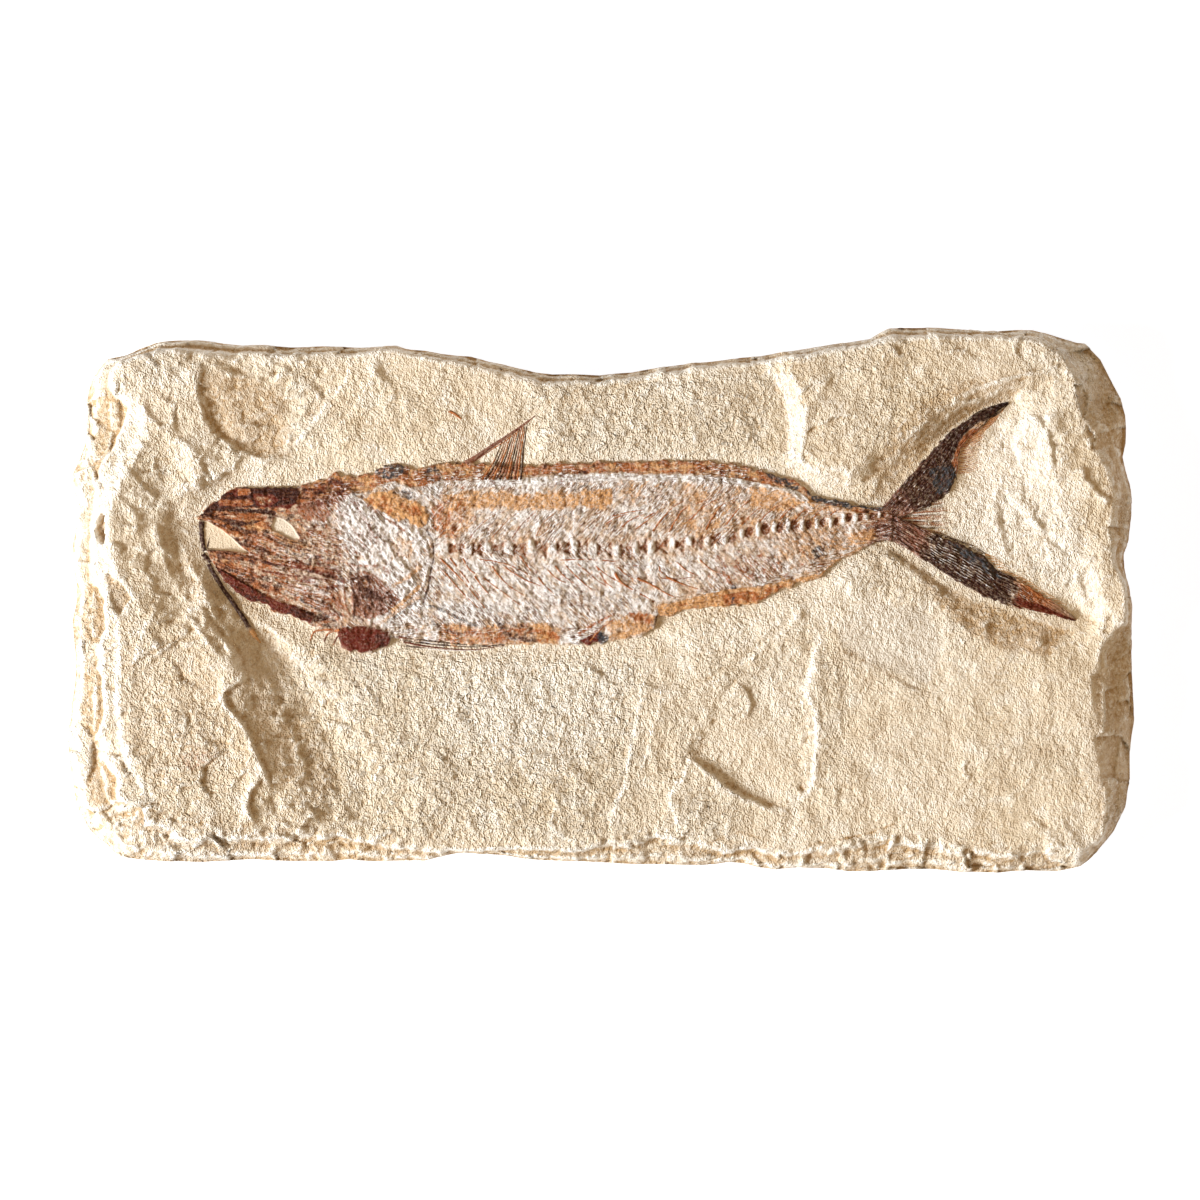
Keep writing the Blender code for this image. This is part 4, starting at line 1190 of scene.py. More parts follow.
@dataclass
class Slab:
    """The limestone slab: its broken edge, its banks, its flake scars and the pecked field round the fish."""

    columns: int = 290
    rows: int = 306
    split: float = 0.5
    back_inset: float = 0.0035
    side_rings: int = 6
    seam_flat: float = 0.004
    seam_fade: float = 0.022
    seed: int = 11
    ledges: float = 2.0
    ledge_stray: float = 0.4
    ledge_face: float = 2.4
    warp: float = 2.6
    warp_size: float = 24.0
    terraced: float = 0.30
    bank_fray: float = 0.07
    waves: Unevenness = Unevenness(0.00060, 110.0)
    swells: Unevenness = Unevenness(0.00060, 46.0)
    scoops: Unevenness = Unevenness(0.00040, 24.0)
    flakes: Unevenness = Unevenness(0.00042, 30.0)
    chips: Unevenness = Unevenness(0.00028, 12.0)
    lumps: Unevenness = Unevenness(0.00044, 16.0)
    slope_chips: Unevenness = Unevenness(0.00060, 17.0)
    slope_lumps: Unevenness = Unevenness(0.00040, 13.0)
    bed_lumps: Unevenness = Unevenness(0.00012, 8.0)
    pecks: Unevenness = Unevenness(0.00013, 6.0)
    lip_waves: Unevenness = Unevenness(0.0022, 60.0)
    edge_scoops: Unevenness = Unevenness(0.0003, 17.0)
    edge_flakes: Unevenness = Unevenness(0.0009, 30.0)
    edge_chips: Unevenness = Unevenness(0.0002, 9.0)
    foot_chips: Unevenness = Unevenness(0.0005, 19.0)
    bed_reach: float = 24.0
    tail_bed_reach: float = 7.0
    bed_depth: float = 0.0002
    bed_flat: float = 0.92
    side_ledge: float = 0.0010
    side_bulge: float = 0.0004

    top: Path = (
        (98, 364), (104, 357), (116, 355), (124, 353), (136, 347), (150, 342), (158, 340), (176, 339),
        (200, 339),
        (222, 342), (240, 344), (264, 344), (290, 346), (320, 345), (360, 346), (396, 344), (404, 347),
        (410, 348),
        (424, 349), (440, 352), (456, 354), (470, 355), (488, 360), (504, 363), (520, 367), (536, 371),
        (552, 373),
        (568, 373), (600, 374), (616, 372), (632, 371), (648, 368), (680, 363), (712, 360), (744, 356),
        (760, 355),
        (776, 352), (808, 347), (840, 342), (872, 337), (882, 331), (890, 327), (904, 326), (936, 326),
        (960, 327),
        (984, 329), (1000, 329), (1020, 328), (1036, 328), (1048, 331), (1064, 336), (1080, 341), (1088, 342),
        (1096, 350), (1104, 358),
    )
    right: Path = (
        (1104, 358), (1112, 373), (1119, 386), (1124, 396), (1129, 414), (1130, 430), (1130, 442),
        (1127, 456),
        (1130, 470), (1134, 484), (1135, 500), (1135, 514), (1132, 540), (1127, 554), (1128, 568),
        (1131, 582),
        (1134, 596), (1135, 612), (1135, 652), (1137, 694), (1138, 722), (1136, 736), (1134, 752),
        (1134, 780),
        (1131, 792), (1129, 808), (1123, 821), (1118, 832), (1108, 845), (1100, 852),
    )
    bottom: Path = (
        (96, 842), (104, 846), (110, 853), (118, 858), (136, 861), (150, 862), (168, 863), (200, 864),
        (232, 862),
        (250, 861), (290, 863), (330, 863), (348, 861), (370, 863), (410, 862), (424, 862), (440, 858),
        (456, 855),
        (472, 855), (488, 856), (504, 857), (520, 860), (540, 862), (580, 863), (632, 866), (664, 866),
        (700, 867),
        (716, 866), (728, 864), (744, 865), (760, 869), (776, 871), (800, 869), (830, 870), (850, 873),
        (872, 873),
        (904, 871), (936, 871), (960, 873), (1000, 874), (1030, 872), (1060, 873), (1076, 870), (1084, 868),
        (1092, 862), (1100, 852),
    )
    left: Path = (
        (98, 364), (90, 376), (87, 386), (84, 400), (83, 420), (84, 434), (80, 448), (75, 460), (69, 472),
        (70, 490),
        (75, 506), (72, 525), (69, 545), (70, 565), (74, 586), (73, 604), (69, 622), (71, 642), (73, 662),
        (71, 684),
        (68, 704), (67, 720), (63, 736), (66, 755), (68, 776), (72, 796), (76, 812), (84, 828), (90, 836),
        (96, 842),
    )
    face_edge: Path = (
        (122, 366), (140, 358), (160, 354), (200, 356), (260, 361), (300, 358), (340, 357), (398, 352),
        (440, 362),
        (470, 366), (500, 376), (545, 386), (600, 384), (640, 378), (700, 370), (760, 364), (800, 358),
        (856, 349),
        (892, 340), (945, 339), (1000, 338), (1040, 342), (1060, 356), (1074, 386), (1084, 428), (1096, 454),
        (1114, 492), (1108, 528), (1112, 556), (1124, 590), (1124, 622), (1100, 648), (1092, 680),
        (1093, 712), (1098, 770),
        (1108, 806), (1104, 832), (1080, 852), (1040, 843), (985, 846), (940, 838), (890, 829), (845, 836),
        (810, 842), (788, 852), (755, 843), (725, 847), (700, 836), (655, 827), (610, 838), (560, 849),
        (500, 849),
        (436, 850), (395, 838), (330, 827), (280, 823), (232, 831), (186, 824), (158, 800), (138, 780),
        (124, 752),
        (119, 715), (118, 660), (112, 610), (107, 566), (106, 510), (114, 478), (130, 448), (136, 408),
        (126, 388),
    )
    banks: tuple[Bank, ...] = (
        Bank(
            brow=((806, 300), (790, 372), (804, 402), (808, 430), (806, 452), (824, 468), (850, 474),
                  (882, 440),
                  (960, 420), (1200, 420), (1200, 300)),
            toe=((770, 280), (764, 372), (783, 398), (789, 428), (786, 458), (806, 480), (850, 490),
                 (880, 470),
                 (960, 460), (1240, 460), (1240, 280)),
            level=LEVELS.north_east,
        ),
        Bank(
            brow=((1058, 380), (1060, 440), (1052, 480), (1075, 512), (1098, 548), (1106, 600), (1200, 640),
                  (1200, 380)),
            toe=((1020, 360), (1034, 440), (1026, 480), (1032, 508), (1062, 552), (1084, 590), (1096, 640),
                 (1240, 680), (1240, 360)),
            level=LEVELS.east,
        ),
        Bank(
            brow=((876, 508), (894, 488), (914, 464), (936, 440), (958, 420), (985, 406), (1012, 398),
                  (1014, 404),
                  (1002, 426), (984, 450), (975, 490), (984, 530), (1008, 558), (1040, 580), (1078, 604),
                  (1092, 624), (1060, 630), (1010, 618), (985, 608), (950, 592), (915, 566), (886, 548)),
            toe=((866, 506), (876, 484), (890, 460), (910, 436), (932, 414), (960, 396), (992, 384),
                 (1034, 366),
                 (1056, 370), (1058, 400), (1046, 440), (1040, 485), (1060, 520), (1092, 566), (1104, 604),
                 (1098, 632),
                 (1084, 652), (1045, 660), (1004, 650), (962, 626), (938, 592), (914, 574), (896, 560),
                 (878, 554)),
            level=LEVELS.bed,
            power=1.25,
        ),
        Bank(
            brow=((60, 300), (178, 300), (182, 358), (192, 368), (200, 378), (199, 390), (191, 400),
                  (188, 412),
                  (182, 420), (186, 434), (193, 446), (199, 455), (196, 463), (198, 474), (197, 484),
                  (184, 492),
                  (170, 498), (160, 508), (157, 520), (158, 536), (163, 552), (170, 570), (180, 588),
                  (190, 604),
                  (196, 626), (212, 648), (224, 660), (236, 673), (244, 677), (233, 683), (226, 692),
                  (226, 702),
                  (236, 709), (246, 722), (256, 740), (263, 757), (268, 772), (258, 782), (252, 792),
                  (250, 804),
                  (254, 820), (240, 900), (40, 900), (40, 300)),
            toe=((50, 280), (350, 280), (352, 345), (344, 382), (326, 412), (304, 440), (292, 458),
                 (284, 469),
                 (262, 480), (238, 488), (218, 494), (206, 504), (199, 518),
                 (198, 536), (204, 556), (215, 574), (228, 592), (240, 610), (252, 628), (266, 646),
                 (280, 660),
                 (290, 676), (298, 692), (310, 708), (322, 726), (330, 746), (338, 766), (352, 786),
                 (366, 806),
                 (356, 828), (320, 920), (20, 920), (20, 280)),
            level=LEVELS.border,
            power=1.05,
            terraces=3.0,
            tilt=0.0015,
        ),
        Bank(
            brow=((168, 470), (160, 490), (156, 506), (158, 528), (164, 548), (172, 570), (182, 590),
                  (186, 580),
                  (178, 556), (172, 530), (174, 508), (182, 492)),
            toe=((166, 430), (140, 452), (124, 480), (114, 512), (116, 548), (126, 584), (150, 616),
                 (196, 640),
                 (214, 612), (204, 566), (198, 536), (200, 506), (218, 486), (210, 462)),
            level=-0.0034,
            relative=True,
        ),
        Bank(
            brow=((212, 376), (240, 364), (280, 366), (308, 380), (310, 398), (296, 420), (280, 440),
                  (262, 450),
                  (242, 445), (224, 434), (210, 416)),
            toe=((200, 364), (230, 350), (290, 352), (336, 366), (344, 384), (322, 412), (300, 440),
                 (282, 456),
                 (262, 458), (240, 452), (222, 440), (206, 420), (199, 402)),
            level=-0.0010,
            relative=True,
        ),
        Bank(
            brow=((262, 640), (290, 672), (312, 704), (330, 744), (352, 784), (366, 806), (330, 812),
                  (310, 776),
                  (296, 730), (276, 690), (256, 656)),
            toe=((230, 590), (246, 610), (284, 640), (320, 660), (356, 690), (386, 730), (420, 790),
                 (400, 840),
                 (300, 830), (276, 790), (264, 740), (244, 690), (226, 640)),
            level=-0.0017,
            relative=True,
        ),
        Bank(
            brow=((694, 752), (705, 758), (724, 775), (746, 791), (772, 803), (790, 800), (800, 775),
                  (800, 740),
                  (796, 700), (806, 660), (780, 662), (740, 700)),
            toe=((686, 752), (698, 765), (720, 782), (745, 799), (772, 810), (796, 808), (814, 782),
                 (816, 740),
                 (810, 694), (824, 640), (770, 640), (720, 690)),
            level=LEVELS.field - 0.0010,
        ),
    )
    facets: tuple[Facet, ...] = (
        Facet(((86, 396), (96, 390), (112, 392), (127, 408), (124, 424), (115, 442), (104, 458), (96, 466),
               (93, 446),
               (87, 440)), 0.56),
        Facet(((95, 458), (103, 462), (98, 480), (91, 474)), 0.62),
        Facet(((70, 464), (80, 460), (84, 474), (78, 488), (71, 486)), 0.35),
        Facet(((102, 516), (111, 512), (113, 532), (104, 542), (97, 530)), 0.72),
        Facet(((106, 571), (118, 579), (128, 589), (134, 600), (126, 608), (121, 620), (114, 604)),
              0.80, 0.0105),
        Facet(((78, 592), (86, 584), (98, 588), (106, 600), (106, 628), (98, 642), (84, 642), (73, 632),
               (72, 610)), 0.55),
        Facet(((76, 672), (90, 660), (103, 676), (105, 716), (94, 742), (80, 726)), 0.58),
        Facet(((84, 768), (98, 756), (116, 776), (118, 800), (98, 806), (84, 792)), 0.60),
        Facet(((300, 846), (336, 838), (372, 846), (360, 858), (310, 858)), 0.62, 0.0),
        Facet(((500, 852), (560, 850), (570, 858), (520, 858)), 0.60, 0.0),
    )
    steps: tuple[Step, ...] = (
        Step(((820, 636), (812, 660), (804, 690), (815, 715), (816, 740), (812, 780), (800, 805)),
             0.0011, 26, 3.0),
        Step(((650, 668), (640, 690), (636, 720), (630, 750), (622, 790), (606, 822)), 0.0009, 20, 3.0),
        Step(((690, 752), (684, 775), (668, 796), (680, 832)), 0.0009, 14, 3.0),
        Step(((804, 606), (786, 628), (764, 644), (740, 664)), 0.0009, 16, 3.0),
        Step(((664, 690), (655, 716), (648, 745), (636, 785)), 0.0006, 12, 2.0),
        Step(((604, 676), (592, 668), (584, 660)), 0.0008, 12, 2.0),
        Step(((745, 722), (754, 702), (746, 690), (735, 680)), 0.0009, 10, 2.0),
        Step(((736, 668), (720, 678), (690, 691), (660, 689), (630, 680)), 0.0006, 14, 2.0),
        Step(((925, 692), (905, 684), (880, 668), (838, 648)), 0.0006, 16, 2.0),
        Step(((800, 814), (790, 811), (770, 807), (745, 797), (720, 780), (700, 764), (690, 754)),
             0.0013, 9, 2.5, 1.0),
        Step(((772, 372), (786, 400), (791, 430), (788, 462), (802, 480), (834, 488)), 0.0009, 20, 6.0),
        Step(((815, 462), (804, 445), (806, 422), (822, 396), (832, 370)), 0.0010, 16, 10.0),
        Step(((872, 440), (862, 420), (866, 392), (880, 372)), 0.0003, 22, 12.0),
        Step(((900, 416), (886, 404), (884, 384), (896, 366)), 0.0004, 16, 12.0),
        Step(((352, 362), (342, 384), (318, 414), (296, 444)), 0.0008, 26, 3.0),
        Step(((376, 366), (360, 398), (330, 436)), 0.0005, 16, 2.5),
        Step(((326, 396), (302, 379), (280, 363)), 0.0010, 12, 7.0),
        Step(((398, 402), (386, 382), (372, 360)), 0.0010, 10, 8.0),
        Step(((250, 378), (222, 368), (200, 352)), 0.0010, 12, 7.0),
        Step(((290, 446), (275, 454), (258, 457), (240, 450), (222, 438), (207, 420), (200, 400),
              (200, 382)), 0.0006,
             14, 2.0, 0.7),
        Step(((156, 799), (141, 781), (128, 758), (121, 736), (118, 690), (119, 640), (117, 604)),
             -0.0019, 50, 6.0, 1.0),
        Step(((117, 604), (113, 580), (106, 548), (104, 515), (112, 490), (124, 466), (135, 448), (142, 430),
              (140, 408),
              (132, 384)), -0.0026, 34, 13.0, 3.0),
        Step(((104, 640), (106, 612), (105, 584), (96, 560)), -0.0010, 12, 6.0),
        Step(((84, 560), (78, 528), (86, 500), (78, 470)), 0.0009, 10, 3.0),
        Step(((96, 720), (92, 690), (98, 660), (90, 630), (84, 600)), -0.0009, 16, 4.0),
        Step(((122, 618), (127, 606), (134, 598), (128, 588), (118, 578), (107, 571)), -0.0017, 16, 2.5, 0.5),
        Step(((121, 618), (114, 602), (111, 588), (106, 571)), 0.0007, 7, 2.5, 0.5),
        Step(((96, 822), (112, 815), (132, 808), (156, 800)), 0.0012, 16, 2.0),
        Step(((150, 842), (148, 828), (152, 812)), 0.0008, 10, 2.0),
        Step(((148, 666), (170, 648), (196, 628)), 0.0010, 14, 2.0, 1.0),
        Step(((132, 668), (150, 652), (166, 644)), 0.0009, 12, 2.0, 1.0),
        Step(((160, 604), (150, 620), (142, 640), (134, 664)), 0.0008, 14, 3.0),
        Step(((178, 420), (164, 426), (152, 416), (146, 402)), 0.0011, 12, 4.0),
        Step(((190, 466), (199, 456), (190, 444), (176, 436)), 0.0009, 10, 2.5),
        Step(((160, 500), (144, 486), (132, 466)), 0.0007, 12, 2.5),
        Step(((212, 484), (204, 470), (200, 456)), 0.0010, 8, 3.0),
        Step(((176, 560), (163, 545), (158, 522)), 0.0008, 6, 3.0),
        Step(((240, 652), (228, 630), (214, 612), (206, 590), (204, 560)), 0.0008, 9, 3.0),
        Step(((214, 646), (200, 624), (188, 612)), 0.0008, 8, 2.5),
        Step(((276, 800), (270, 778), (262, 760), (248, 726), (228, 704), (226, 692), (248, 678), (238, 652),
              (218, 630),
              (200, 604)), 0.0015, 26, 2.5, 1.2),
        Step(((310, 776), (300, 752), (292, 730), (280, 706)), 0.0007, 12, 5.0),
        Step(((340, 800), (326, 780), (306, 764)), 0.0007, 10, 3.0),
        Step(((256, 822), (250, 806), (253, 791), (264, 778)), 0.0018, 9, 2.0, 0.5),
        Step(((380, 742), (350, 728), (318, 716), (300, 718)), 0.0006, 14, 3.0),
        Step(((380, 708), (372, 694), (364, 684)), 0.0007, 8, 2.5),
        Step(((460, 772), (440, 756), (418, 744)), 0.0006, 12, 2.5),
        Step(((560, 757), (530, 750), (500, 752)), 0.0005, 12, 2.0),
        Step(((340, 852), (318, 846), (300, 832), (310, 818), (326, 812)), 0.0012, 12, 3.0),
        Step(((372, 850), (380, 838), (396, 832)), 0.0011, 10, 3.0),
        Step(((545, 790), (556, 806), (548, 824), (566, 842)), 0.0009, 14, 3.0),
        Step(((1000, 470), (1008, 496), (1030, 520), (1056, 540), (1078, 556)), 0.0013, 14, 6.0),
        Step(((1072, 560), (1050, 540), (1030, 512)), 0.0010, 9, 4.0),
        Step(((1010, 560), (1002, 530), (998, 500), (1004, 484)), 0.0009, 12, 5.0),
        Step(((1052, 474), (1052, 446), (1040, 420), (1024, 412)), 0.0013, 12, 4.0),
        Step(((1022, 470), (1014, 446), (1018, 424)), -0.0010, 12, 4.0),
        Step(((1088, 606), (1080, 578), (1092, 556)), 0.0008, 12, 5.0),
        Step(((896, 400), (880, 420), (868, 446)), 0.0004, 10, 3.0),
        Step(((1045, 368), (1024, 374), (1000, 380), (980, 386)), 0.0008, 9, 2.5),
        Step(((1066, 412), (1046, 414), (1030, 418)), 0.0005, 8, 2.0),
        Step(((980, 592), (1010, 606), (1050, 626), (1090, 634)), 0.0006, 12, 3.0),
        Step(((972, 776), (966, 774), (964, 766), (970, 762)), 0.0009, 4, 2.0, 0.3),
        Step(((840, 588), (852, 572), (872, 566)), 0.0007, 16, 6.0),
        Step(((760, 640), (784, 622), (806, 618)), 0.0006, 12, 3.0),
        Step(((1066, 852), (1050, 832), (1030, 816)), 0.0006, 12, 3.0),
        Step(((1086, 850), (1072, 832), (1060, 818)), 0.0006, 8, 3.0),
        Step(((1112, 500), (1098, 494), (1084, 478), (1082, 464)), 0.0016, 12, 4.0),
        Step(((1100, 396), (1080, 380), (1062, 352)), 0.0008, 12, 6.0),
    )
    rough_zones: tuple[tuple[Path, float, float], ...] = (
        (((280, 640), (420, 650), (640, 660), (650, 760), (600, 850), (330, 840), (270, 800), (330, 740)),
         0.85, 50.0),
        (((520, 380), (780, 370), (760, 455), (540, 462)), 0.80, 30.0),
        (((130, 700), (230, 700), (250, 830), (110, 830)), 0.70, 30.0),
        (((850, 640), (1100, 640), (1090, 835), (840, 835)), -0.55, 50.0),
        (((202, 380), (260, 372), (300, 400), (284, 456), (225, 446)), -1.2, 16.0),
        (((700, 770), (740, 800), (790, 806), (810, 740), (760, 690)), -0.3, 30.0),
        (((840, 590), (940, 600), (950, 684), (880, 670), (840, 650)), -0.6, 20.0),
        (((930, 400), (1000, 380), (1060, 380), (1050, 560), (980, 560)), -0.35, 30.0),
    )
    # Tan lines are painted shadow in the cracks and under the ledges; pale lines are painted highlight on cliff faces
    # that face the light.
    cracks: tuple[Streak, ...] = (
        Streak(((201, 400), (207, 413), (216, 428), (230, 440), (246, 450), (262, 457), (284, 456)),
               1.5, Coat.HOLLOW,
               0.9),
        Streak(((204, 370), (204, 394)), 1.8, Coat.HOLLOW, 1.0),
        Streak(((204, 396), (216, 402), (226, 401), (240, 406)), 1.1, Coat.HOLLOW, 0.55),
        Streak(((244, 398), (238, 408), (250, 420)), 1.1, Coat.HOLLOW, 0.5),
        Streak(((190, 366), (196, 392), (200, 410), (214, 432), (244, 452)), 1.6, Coat.HOLLOW, 0.7),
        Streak(((130, 669), (150, 655), (166, 646), (180, 637), (197, 628)), 2.2, Coat.HOLLOW, 0.8),
        Streak(((97, 821), (125, 814), (152, 804)), 2.0, Coat.HOLLOW, 0.7),
        Streak(((250, 808), (253, 790), (264, 778)), 2.6, Coat.HOLLOW, 0.9),
        Streak(((147, 834), (149, 820)), 2.0, Coat.HOLLOW, 0.8),
        Streak(((838, 649), (880, 669), (905, 684), (926, 692)), 1.6, Coat.HOLLOW, 0.6),
        Streak(((190, 464), (199, 455)), 2.4, Coat.HOLLOW, 0.9),
        Streak(((199, 456), (202, 468), (208, 482)), 1.8, Coat.HOLLOW, 0.6),
        Streak(((690, 756), (704, 768), (722, 783), (746, 799), (772, 810), (790, 812)),
               3.0, Coat.HOLLOW, 0.8),
        Streak(((1104, 766), (1110, 763), (1117, 770)), 2.4, Coat.HOLLOW, 1.0),
        Streak(((1097, 684), (1102, 688)), 2.4, Coat.HOLLOW, 0.9),
        Streak(((586, 663), (600, 672), (616, 680)), 2.0, Coat.HOLLOW, 0.7),
        Streak(((736, 681), (751, 694), (752, 706), (744, 722)), 1.8, Coat.HOLLOW, 0.6),
        Streak(((236, 672), (246, 677), (234, 683), (226, 693), (227, 704)), 2.0, Coat.HOLLOW, 0.7),
        Streak(((284, 690), (279, 704), (290, 732)), 2.0, Coat.HOLLOW, 0.5),
        Streak(((798, 852), (812, 845), (840, 840), (866, 834), (896, 824)), 2.0, Coat.HOLLOW, 0.9),
        Streak(((858, 850), (876, 844), (898, 838)), 1.8, Coat.HOLLOW, 0.8),
        Streak(((776, 867), (796, 858), (830, 850)), 2.4, Coat.HOLLOW, 0.9),
        Streak(((700, 846), (722, 838), (740, 832), (760, 838)), 2.0, Coat.HOLLOW, 0.8),
        Streak(((712, 860), (740, 852), (770, 846)), 2.0, Coat.HOLLOW, 0.7),
        Streak(((206, 837), (236, 828), (262, 820)), 2.2, Coat.HOLLOW, 0.8),
        Streak(((158, 854), (184, 843), (228, 836)), 2.0, Coat.HOLLOW, 0.7),
        Streak(((204, 858), (230, 850), (262, 846)), 3.0, Coat.HOLLOW, 0.7),
        Streak(((350, 858), (372, 848), (392, 842)), 3.0, Coat.HOLLOW, 0.6),
        Streak(((300, 838), (306, 848), (318, 856)), 2.0, Coat.HOLLOW, 0.7),
        Streak(((950, 852), (980, 848), (996, 842)), 2.0, Coat.HOLLOW, 0.6),
        Streak(((870, 868), (890, 862), (918, 860)), 2.0, Coat.HOLLOW, 0.7),
        Streak(((430, 838), (436, 828), (446, 822)), 2.0, Coat.HOLLOW, 0.6),
        Streak(((636, 848), (660, 838), (690, 836)), 2.0, Coat.HOLLOW, 0.6),
        Streak(((820, 636), (812, 660), (804, 690), (815, 715), (816, 740), (812, 780), (800, 805)),
               5.0, Coat.CHALK, 1.0),
        Streak(((650, 668), (640, 690), (636, 720), (630, 750), (622, 790), (606, 822)),
               3.4, Coat.CHALK, 0.8),
        Streak(((690, 752), (684, 775), (668, 796), (680, 832)), 4.0, Coat.CHALK, 0.8),
        Streak(((804, 606), (786, 628), (764, 644), (740, 664)), 4.0, Coat.CHALK, 0.8),
        Streak(((352, 362), (342, 384), (318, 414), (296, 444)), 3.0, Coat.CHALK, 0.8),
        Streak(((330, 408), (312, 424), (300, 440)), 2.0, Coat.CHALK, 0.8),
        Streak(((117, 604), (119, 640), (118, 690), (121, 736), (128, 758), (141, 781), (156, 799)),
               6.0, Coat.CHALK, 1.0),
        Streak(((136, 420), (128, 450), (110, 484), (98, 512), (102, 548), (112, 576), (128, 606)),
               18.0, Coat.CHALK, 1.0),
        Streak(((786, 384), (793, 410), (794, 440), (790, 460), (806, 478), (842, 486)),
               12.0, Coat.CHALK, 0.9),
        Streak(((548, 824), (562, 838), (600, 846)), 4.0, Coat.CHALK, 0.8),
        Streak(((690, 836), (720, 832), (760, 846), (800, 856)), 6.0, Coat.CHALK, 0.6),
        Streak(((820, 600), (842, 590), (856, 570)), 14.0, Coat.CHALK, 0.7),
    )
    # Plates: the tan ones are painted shade on the slopes and plates below the border, in the dish, on the walls of
    # the tail's pocket, along the bottom edge and on the right bevel; the pale ones lighten broad areas; one is grey
    # and one rust.
    shade_and_stain_plates: tuple[Plate, ...] = (
        Plate(((940, 560), (985, 430), (1050, 400), (1090, 560), (1100, 610), (1020, 570)),
              Coat.CHALK, 0.65, 0.0, 30.0),
        Plate(((836, 622), (870, 600), (922, 606), (944, 640), (930, 684), (880, 668), (842, 648)),
              Coat.SOOT, 0.7, 0.0, 8.0),
        Plate(((182, 756), (196, 750), (222, 752), (208, 764), (190, 772)), Coat.RUST, 0.25, 0.0, 8.0),
        Plate(((1064, 368), (1076, 352), (1096, 358), (1098, 384), (1080, 396)),
              Coat.CHALK, 0.7, 0.0, 10.0, 4.0),
        Plate(((118, 640), (200, 640), (250, 700), (262, 770), (150, 800), (120, 730)),
              Coat.HOLLOW, 0.28, 0.0, 30.0),
        Plate(((200, 376), (246, 372), (284, 400), (290, 452), (250, 456), (208, 430)),
              Coat.HOLLOW, 0.62, 0.0, 18.0),
        Plate(((236, 620), (262, 650), (300, 690), (340, 780), (320, 810), (268, 776), (240, 700)),
              Coat.HOLLOW, 0.42, 0.0, 26.0),
        Plate(((160, 500), (196, 500), (206, 570), (240, 620), (214, 640), (176, 580), (158, 540)),
              Coat.HOLLOW, 0.26, 0.0, 18.0),
        Plate(((276, 640), (400, 650), (390, 720), (330, 700)), Coat.HOLLOW, 0.14, 0.0, 40.0),
        Plate(((866, 500), (876, 456), (902, 420), (940, 388), (990, 376), (1030, 374), (1010, 396),
               (966, 416), (930, 446), (890, 500)), Coat.HOLLOW, 0.60, 0.0, 14.0),
        Plate(((906, 560), (936, 580), (970, 598), (1010, 612), (1070, 628), (1050, 656), (1004, 652),
               (972, 634), (944, 610)), Coat.HOLLOW, 0.80, 0.0, 9.0),
        Plate(((196, 520), (206, 560), (236, 620), (262, 660), (300, 700), (296, 650), (262, 600),
               (236, 556), (204, 506)), Coat.HOLLOW, 0.30, 0.0, 16.0),
        Plate(((60, 812), (160, 806), (280, 826), (500, 846), (760, 846), (1060, 850), (1060, 880),
               (60, 880)), Coat.HOLLOW, 0.36, 0.0, 10.0),
        Plate(((1102, 480), (1144, 480), (1146, 850), (1098, 850), (1096, 700), (1116, 640), (1122, 580)),
              Coat.HOLLOW, 0.46, 0.0, 12.0),
        Plate(((1070, 396), (1092, 390), (1104, 350), (1140, 400), (1140, 490), (1104, 480)),
              Coat.HOLLOW, 0.46, 0.0, 12.0),
        Plate(((430, 650), (560, 640), (640, 660), (610, 740), (560, 780), (450, 740)),
              Coat.CHALK, 0.60, 0.0, 50.0, 12.0),
        Plate(((856, 580), (890, 600), (930, 670), (880, 640), (830, 600)), Coat.CHALK, 0.5, 0.0, 20.0, 8.0),
        Plate(((640, 640), (760, 606), (860, 570), (840, 630), (700, 656)), Coat.CHALK, 0.4, 0.0, 20.0, 8.0),
    )

    def outline(self) -> Path:
        """The slab's widest line, clockwise."""
        return (*self.top, *self.right[1:], *self.bottom[::-1][1:], *self.left[::-1][1:-1])

    def plan(self, u: Array, v: Array) -> tuple[Array, Array]:
        """Map a unit square onto the slab by blending its four sides.

        Args:
            u: Shares along it.
            v: Shares down it.

        Returns:
            The sheet points.
        """
        across, down = u[:, None], v[:, None]
        corners = [np.array(side[end], float) for side in (self.top, self.bottom) for end in (0, -1)]
        blend = (1 - down) * ((1 - across) * corners[0] + across * corners[1])
        blend = blend + down * ((1 - across) * corners[2] + across * corners[3])
        point = (1 - down) * along(self.top, u) + down * along(self.bottom, u)
        point = point + (1 - across) * along(self.left, v) + across * along(self.right, v) - blend
        return point[:, 0], point[:, 1]

    def ledged(self, share: Array, wander: Array, ledges: float, crisp: Array | float = 0.75) -> Array:
        """Turn a slope's share into ledges, where the stone has parted along its layers.

        Args:
            share: The share of the way up the slope.
            wander: How far the ledges stray up and down, from about -1 to 1.
            ledges: How many ledges there are.
            crisp: How much of the height is taken by the ledges' faces.

        Returns:
            The new share.
        """
        steps = ledges * share + self.ledge_stray * wander
        tread = np.floor(steps)
        rise = np.clip((steps - tread) * self.ledge_face, 0, 1)
        return np.clip((tread + crisp * rise + (1 - crisp) * (steps - tread)) / ledges, 0, 1)

